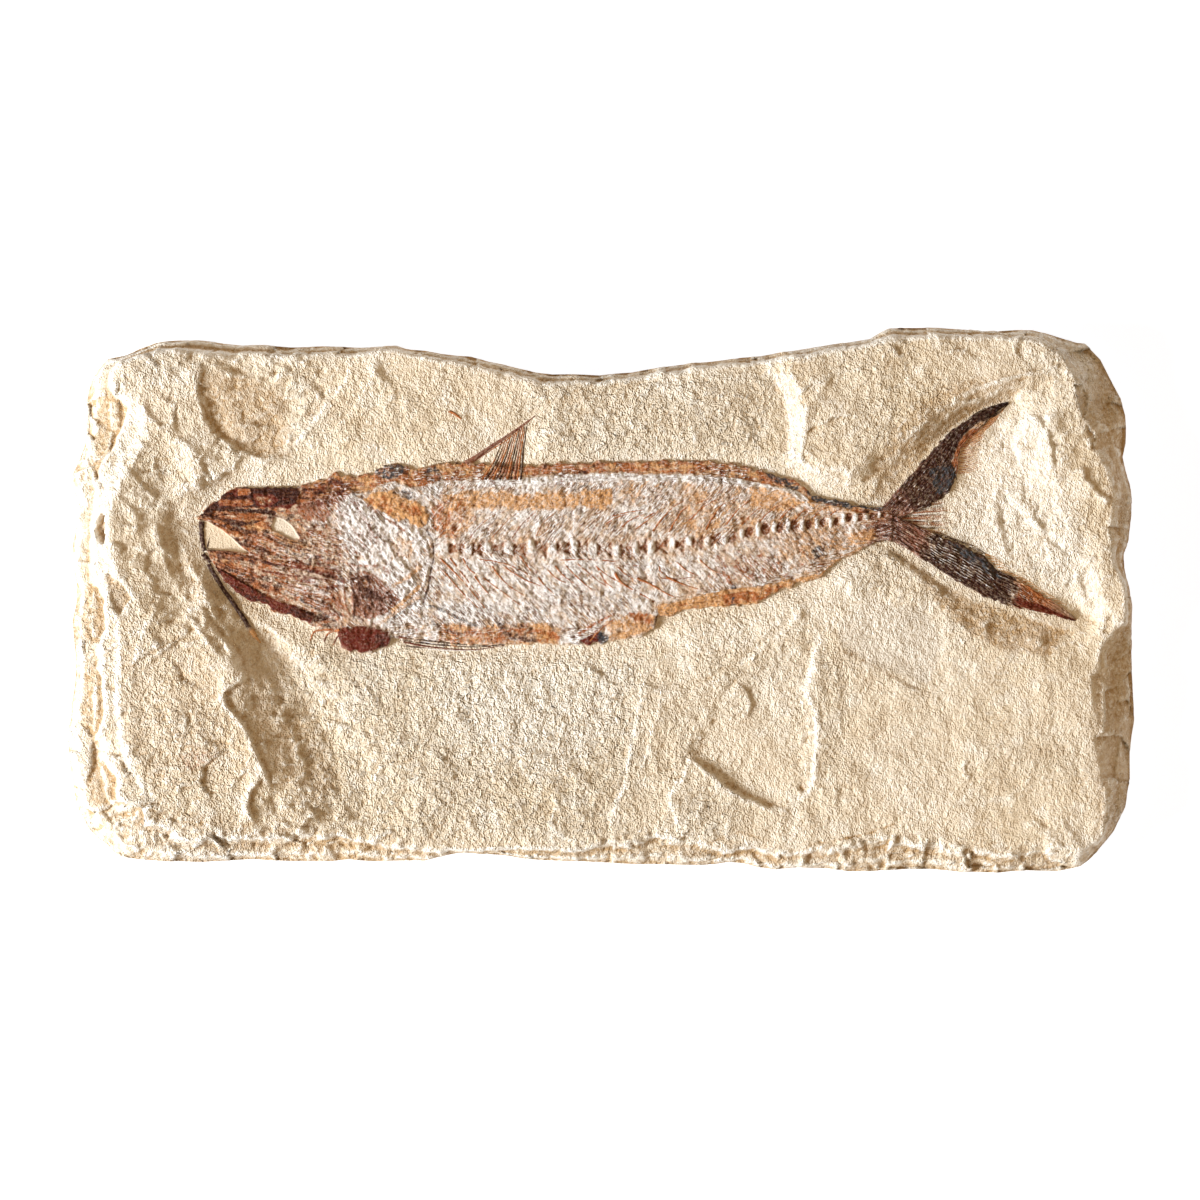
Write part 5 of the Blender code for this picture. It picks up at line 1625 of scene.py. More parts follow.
    def relief(self, x: Array, y: Array, fish_outline: Path, grain: Grain) -> Relief:
        """The stone's surface.

        Args:
            x: Sheet distances to the right.
            y: Sheet distances down.
            fish_outline: The outline of the fish, whose bed is kept flat.
            grain: The noise that shapes it.

        Returns:
            The relief with its coats.
        """
        warp_x = x + self.warp * grain.fractal(x, y, self.warp_size, 3)
        warp_y = y + self.warp * grain.fractal(x + 400, y, self.warp_size, 3)
        height = np.full(x.shape, LEVELS.field) + self.waves.height * grain.smooth(x, y, self.waves.size)
        relief = Relief(x, y, height, grain)
        sloping, carved = self._raise_banks(relief, warp_x, warp_y)
        for step in self.steps:
            relief.step(step.path, step.drop, step.run, step.crisp, step.ragged)
        self._weather(relief, (warp_x, warp_y), sloping, carved, -depth_inside(x, y, fish_outline))
        edge = self._break_edge(relief, warp_x, warp_y)
        self._colour(relief, edge)
        return relief

    def _raise_banks(self, relief: Relief, warp_x: Array, warp_y: Array) -> tuple[Array, Array]:
        """Raise or sink each bank in turn.

        Args:
            relief: The stone's surface.
            warp_x: Sheet distances to the right, wandering.
            warp_y: Sheet distances down, wandering.

        Returns:
            How far each point lies on a bank's slope, and how far it is carved by the tail's upper bank.
        """
        x, y, grain = relief.x, relief.y, relief.grain
        carved, sloping = np.zeros(x.shape), np.zeros(x.shape)
        for bank in self.banks:
            share = bank_share(warp_x, warp_y, bank.brow, bank.toe)
            if bank.level == LEVELS.bed:
                carved = np.sin(math.pi * np.clip(share, 0,
                                                  1)) * eased((980 - x) / 30) * eased((500 - y) / 30)
            slope = 4 * share * (1 - share)
            sloping = np.maximum(sloping, 0.9 * slope)
            terraced = self.ledged(share, grain.fractal(x - 80, y, 34.0, 3), bank.terraces)
            share = share + self.terraced * (terraced - share) * np.sqrt(slope)
            share = np.clip(share + self.bank_fray * slope * grain.fractal(x, y + 300, 15.0, 3), 0, 1)
            level = bank.level - bank.tilt * eased((x - 120) / 130)
            rise = level if bank.relative else level - relief.height
            relief.height = relief.height + rise * share**bank.power
        return sloping, carved

    def _weather(
        self, relief: Relief, warped: tuple[Array, Array], sloping: Array, carved: Array, from_fish: Array
    ) -> None:
        """Roughen the face, and keep it flat where the fish lies.

        Args:
            relief: The stone's surface.
            warped: Sheet distances to the right and down, wandering.
            sloping: How far each point lies on a bank's slope.
            carved: How far each point is carved by the tail's upper bank.
            from_fish: Distances outside the fish.
        """
        x, y, grain, height = relief.x, relief.y, relief.grain, relief.height
        warp_x, warp_y = warped
        high = eased((height - LEVELS.field) / (LEVELS.border - LEVELS.field))
        reach = self.bed_reach - (self.bed_reach - self.tail_bed_reach) * eased((x - 880) / 14)
        clear = eased(from_fish / reach)
        worn = 0.25 + 1.05 * self._roughness(relief, sloping)
        partly = 0.3 + 0.7 * clear
        scoops = grain.scoops(warp_x, 1.2 * warp_y, self.scoops.size)
        height = height - self.scoops.height * carved * (1 - scoops)
        flakes = grain.chips(warp_x, warp_y, self.flakes.size)
        height = height + self.flakes.height * (0.5 + high) * flakes * clear
        height = height + self.chips.height * worn * grain.chips(warp_y, warp_x, self.chips.size) * partly
        height = height + self.lumps.height * worn * grain.fractal(x, y, self.lumps.size, 3) * partly
        height = height + self.swells.height * grain.fractal(x - 30, y + 50, self.swells.size, 3) * clear
        chips = grain.chips(warp_x, 1.4 * warp_y, self.slope_chips.size)
        height = height + self.slope_chips.height * sloping * chips * clear
        lumps = grain.fractal(x + 7, y, self.slope_lumps.size, 4)
        height = height + self.slope_lumps.height * sloping * lumps * clear
        bed_share = eased(1 - from_fish / reach) * (height < LEVELS.border - 0.004)
        uneven = self.bed_lumps.height * grain.fractal(x, y, self.bed_lumps.size, 2)
        height = height + (LEVELS.bed + self.bed_depth + uneven - height) * bed_share * self.bed_flat
        pecks = grain.chips(x, y, self.pecks.size) + 0.7 * grain.fractal(x, y, 5.0, 2)
        relief.height = height + self.pecks.height * worn * pecks

    def _break_edge(self, relief: Relief, warp_x: Array, warp_y: Array) -> Array:
        """Break the slab's edge down to its lip in ledges, facets and chips.

        Args:
            relief: The stone's surface.
            warp_x: Sheet distances to the right, wandering.
            warp_y: Sheet distances down, wandering.

        Returns:
            The share of the way up from the lip: 0 on the slab's outline and 1 on its face.
        """
        x, y, grain, height = relief.x, relief.y, relief.grain, relief.height
        edge = bank_share(warp_x, warp_y, self.face_edge, self.outline())
        lip = LEVELS.lip + self.lip_waves.height * grain.smooth(x, y, self.lip_waves.size)
        crisp = 0.75 - 0.5 * eased((x - 1000) / 60)
        wander = (0.8 - 0.5 * eased((150 - x) / 20)) * grain.chips(warp_x, warp_y, 44.0)
        share = self.ledged(edge, wander, self.ledges, crisp)
        for facet in self.facets:
            held = eased(depth_inside(warp_x, warp_y, facet.outline) / 6 + 0.5)
            middle = sum(point[0] for point in facet.outline) / len(facet.outline)
            share = share + held * np.minimum(facet.level - facet.fall * (x - middle) - share, 0)
        broken = lip + (height - lip) * share
        inset = eased((1 - edge) * 3)
        scoops = grain.scoops(warp_x, warp_y * 1.3, self.edge_scoops.size)
        broken = broken + self.edge_scoops.height * (scoops - 0.6) * inset
        broken = broken + self.edge_flakes.height * grain.chips(warp_x, warp_y, self.edge_flakes.size) * inset
        ragged = 1 + 0.8 * eased((y - 800) / 20)
        fine = self.edge_chips.height * ragged**2 * grain.chips(x, y, self.edge_chips.size)
        foot = self.foot_chips.height * (ragged - 1) * grain.chips(y, x, self.foot_chips.size)
        relief.height = np.where(edge >= 1, height, np.minimum(broken + fine + foot, height))
        return edge

    def _roughness(self, relief: Relief, sloping: Array) -> Array:
        """Paint how rough the stone is: flaky over most of its face, and smoother in the scars and on the slopes.

        Args:
            relief: The stone's surface.
            sloping: How far each point lies on a bank's slope.

        Returns:
            The roughness of each point, from 0 to about 1.
        """
        x, y, grain = relief.x, relief.y, relief.grain
        rough = relief.coat(Coat.ROUGH)
        rough += np.clip(0.46 + 0.55 * grain.fractal(x + 60, y, 100.0, 3), 0.1, 1.0)
        for outline, strength, feather in self.rough_zones:
            relief.patch(outline, Coat.ROUGH, strength, feather, 0.0, 6.0)
        rough *= 1 - 0.25 * sloping
        return rough

    def _colour(self, relief: Relief, edge: Array) -> None:
        """Paint the stone: painted shade in its hollows, cracks and shaded slopes, painted highlight along cliff faces
        that face the light, its chalky ground, grey and rust patches, and its facets.

        Args:
            relief: The stone's surface.
            edge: The share of the way up from the lip to the face.
        """
        x, y, grain = relief.x, relief.y, relief.grain
        relief.coats[Coat.HOLLOW] = np.clip(0.3 * grain.fractal(x, y, 60.0, 4) - 0.05, 0, 1)
        relief.coats[Coat.CHALK] = np.clip(0.5 * grain.fractal(x + 200, y, 90.0, 3), 0, 1)
        for stain in self.shade_and_stain_plates:
            relief.lay(stain)
        for crack in self.cracks:
            # Pale strokes lay painted highlight on lit cliff faces; the others sink a groove and lay painted shadow in
            # it.
            if crack.coat is Coat.CHALK:
                wide, soft = 1.2 * crack.width, 0.6 * crack.width
                relief.stroke(crack.path, wide, Coat.CHALK, 0.75 * crack.strength, 0.0, 2.6, feather=soft,
                              broken=1.0)
            else:
                relief.stroke(crack.path, crack.width, crack.coat, crack.strength, -0.00018, 1.4, broken=0.5)
        border = 0.4 * eased((1 - edge) * 6) * eased((130 - x) / 16)
        relief.coats[Coat.HOLLOW] = relief.coats[Coat.HOLLOW] - border
        for facet in self.facets:
            relief.patch(facet.outline, Coat.HOLLOW, 0.60, 3.0, 0.0, 4.0)
            relief.patch(facet.outline, Coat.CHALK, -0.8, 3.0, 0.0, 4.0)

    def build(self, fish_outline: Path, finish: bpy.types.Material) -> None:
        """Build the slab as two closed halves that meet under the fish's body.

        Args:
            fish_outline: The outline of the fish.
            finish: The stone's material.
        """
        grain = Grain(self.seed)
        across = np.linspace(0, 1, self.rows + 1)
        seam_x, _ = SHEET.metres(*self.plan(np.full(across.shape, self.split), across))
        middle = float(seam_x.min() + seam_x.max()) / 2
        for name, start, end in (("slab_head_end", 0.0, self.split), ("slab_tail_end", self.split, 1.0)):

            def place(u: Array, v: Array) -> Relief:
                """The stone's relief over one half's grid."""
                x, y = self.plan(start + (end - start) * u, v)
                return self.relief(x, y, fish_outline, grain)

            mesh = grid_mesh(name, self.columns, self.rows, place)
            rings = [self._side_ring(ring, grain, middle) for ring in range(1, self.side_rings + 1)]
            finished_piece(name, close_below(mesh, rings), finish, ["slab"])

    def ground(self, fish_outline: Path) -> Surface:
        """A function that gives the stone's height at sheet points."""
        grain = Grain(self.seed)
        return lambda x, y: self.relief(x, y, fish_outline, grain).height

    def _side_ring(self, ring: int, grain: Grain, middle: float) -> Callable[[Vector], Vector]:
        """Shape one ring of the slab's side, which draws in towards the back, but not near the seam.

        Args:
            ring: The ring's number, from 1 below the lip to the last on the back.
            grain: The noise that makes the side uneven.
            middle: The X of the seam between the two halves.

        Returns:
            A function from a vertex of the ring above to its place on this ring.
        """
        left = (self.side_rings - ring) / (self.side_rings - ring + 1)
        share = ring / self.side_rings
        inset = self.back_inset * (share**2 - ((ring - 1) / self.side_rings) ** 2)

        def lowered(point: Vector) -> Vector:
            """Find the point one ring further down.

            Args:
                point: The point on the ring above.

            Returns:
                The new point.
            """
            inward = Vector((-point.x, -2 * point.y, 0)).normalized()
            where = np.array([point.x / SHEET.unit]), np.array([point.y / SHEET.unit + 37.0 * ring])
            uneven = float(grain.fractal(where[0], where[1], 24.0, 3)[0])
            ledge = self.side_ledge * uneven * math.sin(math.pi * share)
            height = point.z * left if ring < self.side_rings else 0.0
            held = float(eased((abs(point.x - middle) - self.seam_flat) / self.seam_fade))
            return Vector((point.x, point.y, height)) + inward * held * max(inset + ledge, -self.side_bulge)

        return lowered


# ------------------------------------------------------------------ the fish


@dataclass(frozen=True)
class Thread:
    """A bone as fine as a hair or a needle: its line, its width at either end, and its coat."""

    path: Path
    width: float = 1.8
    tip: float = 0.7
    coat: Coat = Coat.RUST
    strength: float = 0.9


SPLINTERED = (Coat.CHALK, Coat.MAUVE, Coat.AMBER, Coat.RUST, Coat.BLOOD, Coat.DARK, Coat.SOOT)

SKULL_PLATES: tuple[Plate, ...] = (
    Plate(((300, 484), (345, 474), (352, 492), (338, 506), (306, 508)), Coat.MAUVE, 0.75, 0.0, 6),
    Plate(((296, 500), (328, 496), (330, 520), (310, 524), (298, 514)), Coat.MAUVE, 0.8, 0.0, 6),
    Plate(((206, 508), (222, 494), (240, 487), (262, 486), (292, 486), (300, 492), (297, 504), (288, 509),
           (268, 507),
           (240, 507), (214, 509)), Coat.BLOOD, 0.96, 0.00035, 3),
    Plate(((206, 508), (222, 494), (240, 487), (292, 486), (300, 492), (297, 504), (268, 507), (214, 509)),
          Coat.DARK, 0.88, 0.0, 4),
    Plate(((252, 488), (296, 486), (310, 492), (300, 506), (270, 508)), Coat.RUST, 0.50, 0.0, 6),
    Plate(((254, 495), (272, 494), (280, 500), (270, 507), (256, 506)), Coat.DARK, -0.85, 0.0, 2),
    Plate(((256, 497), (268, 496), (272, 502), (262, 506)), Coat.BLOOD, -0.7, 0.0, 2),
    Plate(((218, 499), (250, 498), (254, 504), (240, 507), (220, 506)), Coat.DARK, -0.8, 0.0, 2),
    Plate(((218, 499), (250, 498), (254, 504), (240, 507), (220, 506)), Coat.BLOOD, -0.7, 0.0, 2),
    Plate(((216, 499), (250, 498), (254, 504), (240, 507), (218, 506)), Coat.RUST, 0.92, 0.0, 2),
    Plate(((224, 491), (236, 489), (237, 497), (226, 498)), Coat.DARK, -0.6, 0.0, 2),
    Plate(((238, 489), (250, 488), (252, 492), (249, 495), (238, 496)), Coat.DARK, -1.0, 0.0, 1.2, 0.5),
    Plate(((238, 489), (250, 488), (252, 492), (249, 495), (238, 496)), Coat.BLOOD, -0.9, 0.0, 1.2, 0.5),
    Plate(((238, 489), (250, 488), (252, 492), (249, 495), (238, 496)), Coat.RUST, 0.95, 0.00018, 1.2, 0.5),
    Plate(((199, 514), (206, 509), (214, 510), (212, 517), (202, 519)), Coat.DARK, 0.85, 0.0004, 2),
    Plate(((222, 511.5), (236, 512), (256, 514), (250, 518), (236, 517)), Coat.RUST, 0.9, 0.0001, 1.5, 0.6),
    Plate(((212, 515), (226, 518), (246, 521), (264, 520), (246, 526), (228, 525)), Coat.DARK, 0.75, 0.0, 2),
    Plate(((212, 519), (222, 521), (238, 530), (243, 537), (236, 538), (224, 530)),
          Coat.AMBER, 0.6, 0.0002, 2),
    Plate(((240, 519), (262, 518), (268, 527), (264, 533), (246, 531)), Coat.AMBER, 0.85, 0.00015, 3),
    Plate(((240, 533), (258, 536), (264, 549), (250, 549)), Coat.MAUVE, 0.8, 0.0, 3),
    Plate(((213, 552), (232, 553), (258, 558), (256, 563), (236, 560), (218, 560)),
          Coat.MAUVE, 0.9, 0.0002, 2),
    Plate(((222, 558), (243, 562), (245, 571), (232, 570), (222, 563)), Coat.AMBER, 0.5, 0.0001, 2),
    Plate(((214, 567), (224, 571), (234, 577), (244, 583), (252, 588), (262, 594), (276, 600), (296, 606),
           (316, 617),
           (310, 623), (292, 617), (268, 608), (246, 600), (233, 591), (222, 579)),
           Coat.BLOOD, 1.0, 0.0005, 2.5, 0.8),
    Plate(((282, 603), (300, 607), (332, 620), (330, 628), (312, 624), (290, 615)), Coat.DARK, 0.55, 0.0, 3),
    Plate(((300, 590), (340, 596), (346, 616), (330, 618), (306, 604)), Coat.MAUVE, 0.7, 0.0, 5),
    Plate(((262, 568), (300, 574), (304, 583), (276, 582)), Coat.RUST, 0.5, 0.0, 4),
    Plate(((334, 502), (352, 492), (372, 506), (392, 530), (392, 560), (372, 567), (352, 550), (338, 526)),
          Coat.CHALK, 0.88, 0.0, 8, 3.0),
    Plate(((292, 486), (330, 478), (352, 484), (342, 502), (314, 514), (298, 506)),
          Coat.BLOOD, 0.38, 0.0, 9, 3.0),
    Plate(((292, 486), (330, 478), (346, 486), (330, 506), (300, 506)), Coat.DARK, 0.42, 0.0, 9, 3.0),
    Plate(((300, 520), (330, 516), (344, 550), (340, 584), (304, 578), (290, 548)),
          Coat.DARK, 0.30, 0.0, 12, 4.0),
    Plate(((296, 548), (340, 556), (352, 584), (330, 596), (290, 580)), Coat.BLOOD, 0.35, 0.0, 10, 4.0),
    Plate(((364, 499), (376, 492), (392, 490), (402, 497), (416, 500), (430, 514), (428, 524), (418, 531),
           (408, 520),
           (398, 522), (386, 514), (372, 508)), Coat.AMBER, 1.0, 0.0004, 3, 3.0),
    Plate(((366, 500), (384, 494), (398, 502), (392, 514), (376, 508)), Coat.RUST, 0.42, 0.0, 5, 3.0),
    Plate(((398, 503), (420, 508), (424, 518), (408, 516)), Coat.RUST, 0.55, 0.0, 4),
    Plate(((390, 537), (412, 540), (415, 560), (398, 558)), Coat.AMBER, 0.4, 0.0, 4),
    Plate(((402, 524), (422, 530), (430, 546), (414, 552), (404, 540)), Coat.CHALK, 1.0, 0.0, 4),
    Plate(((380, 570), (398, 556), (411, 572), (418, 588), (403, 600), (390, 590)),
          Coat.CHALK, 1.0, 0.0002, 2, 0.8),
    Plate(((350, 574), (366, 570), (384, 582), (400, 600), (388, 612), (370, 619), (352, 614)),
          Coat.MAUVE, 0.9,
          0.00015, 3),
    Plate(((352, 578), (366, 574), (382, 586), (396, 600), (384, 610), (368, 616), (354, 608)),
          Coat.DARK, 0.52, 0.0,
          4),
    Plate(((338, 631), (346, 628), (360, 626), (378, 628), (388, 632), (391, 640), (388, 646), (376, 651),
           (362, 654),
           (350, 652), (342, 646), (338, 638)), Coat.BLOOD, 1.0, 0.0008, 6, 1.0),
    # Painted shade: the oxblood lump's right side is darker. Painted highlight: its upper-left rim is a lighter rust.
    Plate(((376, 632), (390, 634), (390, 645), (380, 650), (374, 642)), Coat.DARK, 0.45, 0.0, 4),
    Plate(((346, 629), (364, 627), (366, 634), (350, 638)), Coat.RUST, 0.6, 0.0001, 4),
    Plate(((374, 470), (382, 463), (395, 464), (400, 458), (406, 468), (398, 478), (382, 480)),
          Coat.SOOT, 0.72,
          0.0002, 5, 5.0),
    Plate(((426, 470), (436, 466), (444, 470), (440, 481), (430, 482)), Coat.SOOT, 0.5, 0.0, 5, 4.0),
    Plate(((394, 492), (410, 490), (416, 498), (402, 503)), Coat.SOOT, 0.5, 0.0, 4, 2.5),
)

SKULL_STREAKS: tuple[Streak, ...] = (
    Streak(((207, 509.5), (230, 509.5), (256, 511), (274, 513)), 4.5, Coat.DARK, 1.0, -0.0001, (0.6, 1.0)),
    Streak(((237, 497), (249, 496), (252.5, 491)), 1.4, Coat.CHALK, 1.0),
    Streak(((294, 489), (297, 494), (294, 498)), 1.6, Coat.CHALK, 1.0, 0.0001),
    Streak(((218, 500), (228, 499), (246, 498), (256, 496)), 1.3, Coat.MAUVE, 0.9, 0.0001),
    Streak(((222, 505), (240, 503.5), (254, 501)), 1.6, Coat.RUST, 0.9, 0.0001),
    Streak(((270, 530), (284, 540), (304, 546)), 5.0, Coat.AMBER, 0.7, 0.0001),
    Streak(((272, 533), (287, 541), (306, 545)), 1.6, Coat.DARK, 0.8),
    Streak(((264, 535), (282, 544), (304, 550)), 1.8, Coat.DARK, 0.8),
    Streak(((256, 531), (270, 540), (286, 548), (300, 552)), 1.4, Coat.RUST, 0.9),
    Streak(((274, 516), (288, 522), (300, 536), (304, 546)), 2.4, Coat.DARK, 0.7, 0.0002),
    Streak(((276, 512), (292, 517), (304, 530)), 1.8, Coat.AMBER, 0.8, 0.0001),
    Streak(((206, 550), (222, 550.5), (240, 555), (262, 561)), 2.2, Coat.DARK, 0.75, 0.0002),
    Streak(((260, 560), (296, 565), (332, 572)), 6.0, Coat.RUST, 0.75, 0.0003, (0.8, 1.0)),
    Streak(((262, 562), (300, 568), (346, 582)), 2.0, Coat.BLOOD, 0.9, 0.0001),
    Streak(((262, 571), (296, 576), (330, 580)), 2.0, Coat.BLOOD, 0.8, 0.0001),
    Streak(((214, 566), (232, 575.5), (250, 586.5), (266, 596)), 1.6, Coat.DARK, 0.9),
    Streak(((214, 571), (225, 584), (237, 594.5)), 2.0, Coat.AMBER, 0.9),
    Streak(((300, 600), (318, 610), (336, 622)), 2.2, Coat.SOOT, 0.6, 0.0001),
    Streak(((308, 596), (326, 606), (342, 616)), 1.6, Coat.DARK, 0.6, 0.0001),
    Streak(((286, 592), (306, 598), (330, 606)), 2.0, Coat.CHALK, 0.9, 0.0002),
    Streak(((278, 584), (300, 590), (330, 594)), 2.4, Coat.CHALK, 0.9, 0.0002),
    Streak(((340, 487), (350, 500), (364, 510), (370, 530), (388, 544), (396, 562), (413, 573)),
           2.6, Coat.CHALK, 0.8,
           0.00028),
    Streak(((330, 478), (346, 486), (356, 496)), 2.6, Coat.DARK, 0.7, 0.0002),
    Streak(((346, 492), (356, 504), (366, 522), (378, 540)), 1.8, Coat.MAUVE, 0.8),
    Streak(((393, 586), (408, 577), (421, 567)), 4.0, Coat.AMBER, 0.65, 0.0002),
    Streak(((350, 571), (354, 596), (354, 618)), 1.8, Coat.DARK, 0.85, 0.0002),
    Streak(((358, 569), (359, 596), (366, 618)), 2.0, Coat.DARK, 0.75, 0.0002),
    Streak(((366, 574), (370, 592), (380, 612)), 1.6, Coat.CHALK, 0.7, 0.0002),
    Streak(((344, 578), (345, 602), (350, 616)), 1.8, Coat.MAUVE, 0.9, 0.0002),
    Streak(((392, 611), (404, 601), (419, 587)), 4.2, Coat.AMBER, 0.85, 0.0002),
    Streak(((384, 621), (400, 609), (419, 597)), 4.2, Coat.AMBER, 0.5, 0.0002),
    Streak(((386, 623), (402, 612), (420, 600)), 1.8, Coat.SOOT, 0.7),
    Streak(((421, 520), (427, 530), (433, 541), (434, 558), (431, 572), (428, 590), (423, 604)),
           1.8, Coat.DARK, 0.8,
           -0.0002),
    Streak(((417, 530), (427, 546), (429, 562), (424, 584), (418, 596)), 3.6, Coat.CHALK, 0.9, 0.0004),
    Streak(((366, 504), (380, 514), (404, 530)), 1.8, Coat.RUST, 0.8, 0.0001),
    Streak(((338, 560), (356, 566), (378, 566)), 2.0, Coat.RUST, 0.6, 0.0001),
    Streak(((300, 520), (318, 540), (330, 556)), 1.8, Coat.MAUVE, 0.9, 0.0001),
    Streak(((312, 512), (330, 530), (350, 552)), 1.6, Coat.MAUVE, 0.8, 0.0001),
    Streak(((336, 508), (350, 524), (366, 548)), 1.6, Coat.RUST, 0.5, 0.0001),
)

TRUNK_PLATES: tuple[Plate, ...] = (
    Plate(((442, 494), (470, 490), (520, 493), (566, 490), (604, 488), (612, 498), (608, 510), (570, 508),
           (520, 510),
           (470, 509), (444, 516)), Coat.AMBER, 0.74, 0.0001, 7, 4.0),
    Plate(((428, 506), (446, 496), (466, 498), (468, 518), (460, 538), (440, 538), (430, 528)),
          Coat.RUST, 0.45, 0.0, 8,
          3.0),
    Plate(((430, 504), (446, 494), (470, 496), (478, 514), (462, 540), (440, 540), (430, 528)),
          Coat.AMBER, 0.5, 0.0, 8,
          3.0),
    Plate(((596, 490), (612, 488), (613, 504), (600, 508)), Coat.AMBER, 0.95, 0.0, 3),
    Plate(((614, 480), (676, 482), (760, 486), (800, 498), (790, 514), (730, 512), (690, 516), (660, 512),
           (640, 500),
           (616, 498)), Coat.AMBER, 0.38, 0.0, 8, 4),
    Plate(((748, 486), (790, 492), (806, 504), (780, 514), (750, 508)), Coat.AMBER, 0.7, 0.0, 8, 3),
    Plate(((806, 500), (860, 507), (862, 516), (812, 514)), Coat.AMBER, 0.6, 0.0, 5, 3),
    Plate(((440, 622), (480, 626), (524, 622), (560, 624), (560, 644), (520, 647), (470, 652), (436, 648)),
          Coat.AMBER, 0.62, 0.0, 5, 3),
    Plate(((440, 624), (480, 628), (524, 624), (556, 628), (556, 642), (520, 645), (470, 650), (436, 646)),
          Coat.RUST, 0.46, 0.0, 7, 4),
    Plate(((498, 622), (534, 622), (538, 642), (500, 644)), Coat.DARK, 0.45, 0.0, 5, 3),
    Plate(((532, 622), (550, 626), (562, 638), (552, 643), (538, 641)), Coat.AMBER, 0.95, 0.00025, 3, 1),
    Plate(((545, 630), (562, 636), (558, 641), (548, 638)), Coat.RUST, 0.7, 0.0, 4, 1),
    Plate(((580, 640), (600, 632), (606, 636), (598, 646), (584, 648)), Coat.BLOOD, 0.95, 0.0002, 2, 1),
    Plate(((598, 632), (610, 634), (608, 644), (598, 643)), Coat.SOOT, 0.85, 0.0, 3, 2),
    Plate(((606, 622), (640, 612), (656, 616), (652, 630), (634, 638), (608, 643)),
          Coat.AMBER, 0.7, 0.0002, 4, 2),
    Plate(((628, 612), (650, 612), (652, 622), (636, 626)), Coat.RUST, 0.6, 0.0, 5, 2),
    Plate(((656, 606), (700, 596), (724, 590), (760, 586), (796, 578), (820, 574), (796, 590), (762, 603),
           (720, 609),
           (690, 613), (660, 618)), Coat.AMBER, 0.95, 0.0002, 3, 2),
    Plate(((716, 594), (760, 590), (790, 582), (766, 600), (730, 607)), Coat.RUST, 0.7, 0.0, 4, 2),
    Plate(((764, 472), (786, 474), (800, 488), (790, 492), (774, 482)), Coat.SOOT, 0.55, 0.0, 4, 3),
    Plate(((806, 490), (860, 502), (890, 506), (888, 511), (850, 508), (812, 500)),
          Coat.SOOT, 0.85, 0.0, 3, 3),
    Plate(((729, 584), (737, 586), (736, 610), (730, 610)), Coat.SOOT, 0.55, 0.0, 4, 3),
    Plate(((808, 544), (826, 548), (822, 566), (812, 562)), Coat.SOOT, 0.45, 0.0, 6, 5),
    Plate(((780, 528), (850, 528), (880, 534), (840, 556), (800, 572), (770, 560)),
          Coat.AMBER, 0.45, 0.0, 8, 5),
    Plate(((850, 530), (874, 529), (880, 538), (866, 546), (842, 552)), Coat.AMBER, 0.7, 0.0, 8, 3),
    Plate(((876, 514), (900, 506), (900, 545), (876, 538)), Coat.AMBER, -0.9, 0.0, 10, 4),
    Plate(((876, 514), (900, 506), (900, 545), (876, 538)), Coat.MAUVE, 0.7, 0.0, 10, 4),
    Plate(((878, 530), (900, 526), (900, 545), (878, 540)), Coat.DARK, 0.3, 0.0, 8, 4),
    Plate(((716, 556), (770, 552), (790, 566), (760, 582), (720, 584)), Coat.RUST, 0.4, 0.0, 8, 5),
    Plate(((560, 594), (600, 590), (640, 596), (630, 608), (580, 606)), Coat.SOOT, 0.22, 0.0, 8, 4),
    Plate(((440, 560), (500, 570), (640, 570), (650, 600), (560, 620), (450, 612)),
          Coat.CHALK, 0.6, 0.0, 10, 3),
)

TRUNK_STREAKS: tuple[Streak, ...] = (
    Streak(((444, 520), (448, 500), (458, 490), (474, 488)), 2.5, Coat.CHALK, 0.9, 0.0001),
    Streak(((580, 634), (594, 624), (614, 614)), 4.0, Coat.RUST, 0.9, 0.0002, (1.0, 0.4)),
    Streak(((586, 640), (600, 628), (616, 618)), 2.0, Coat.MAUVE, 0.9, 0.0001, (1.0, 0.4)),
    Streak(((430, 606), (446, 612), (462, 620), (476, 626)), 3.0, Coat.SOOT, 0.65, 0.0002),
    Streak(((440, 604), (460, 614), (480, 624)), 2.0, Coat.CHALK, 0.9, 0.0002),
    Streak(((432, 622), (446, 630), (460, 634)), 3.0, Coat.DARK, 0.6, 0.0001),
    Streak(((612, 514), (612, 500), (616, 486)), 2.0, Coat.CHALK, 0.8),
    Streak(((560, 494), (574, 490), (588, 484)), 1.6, Coat.SOOT, 0.35),
)

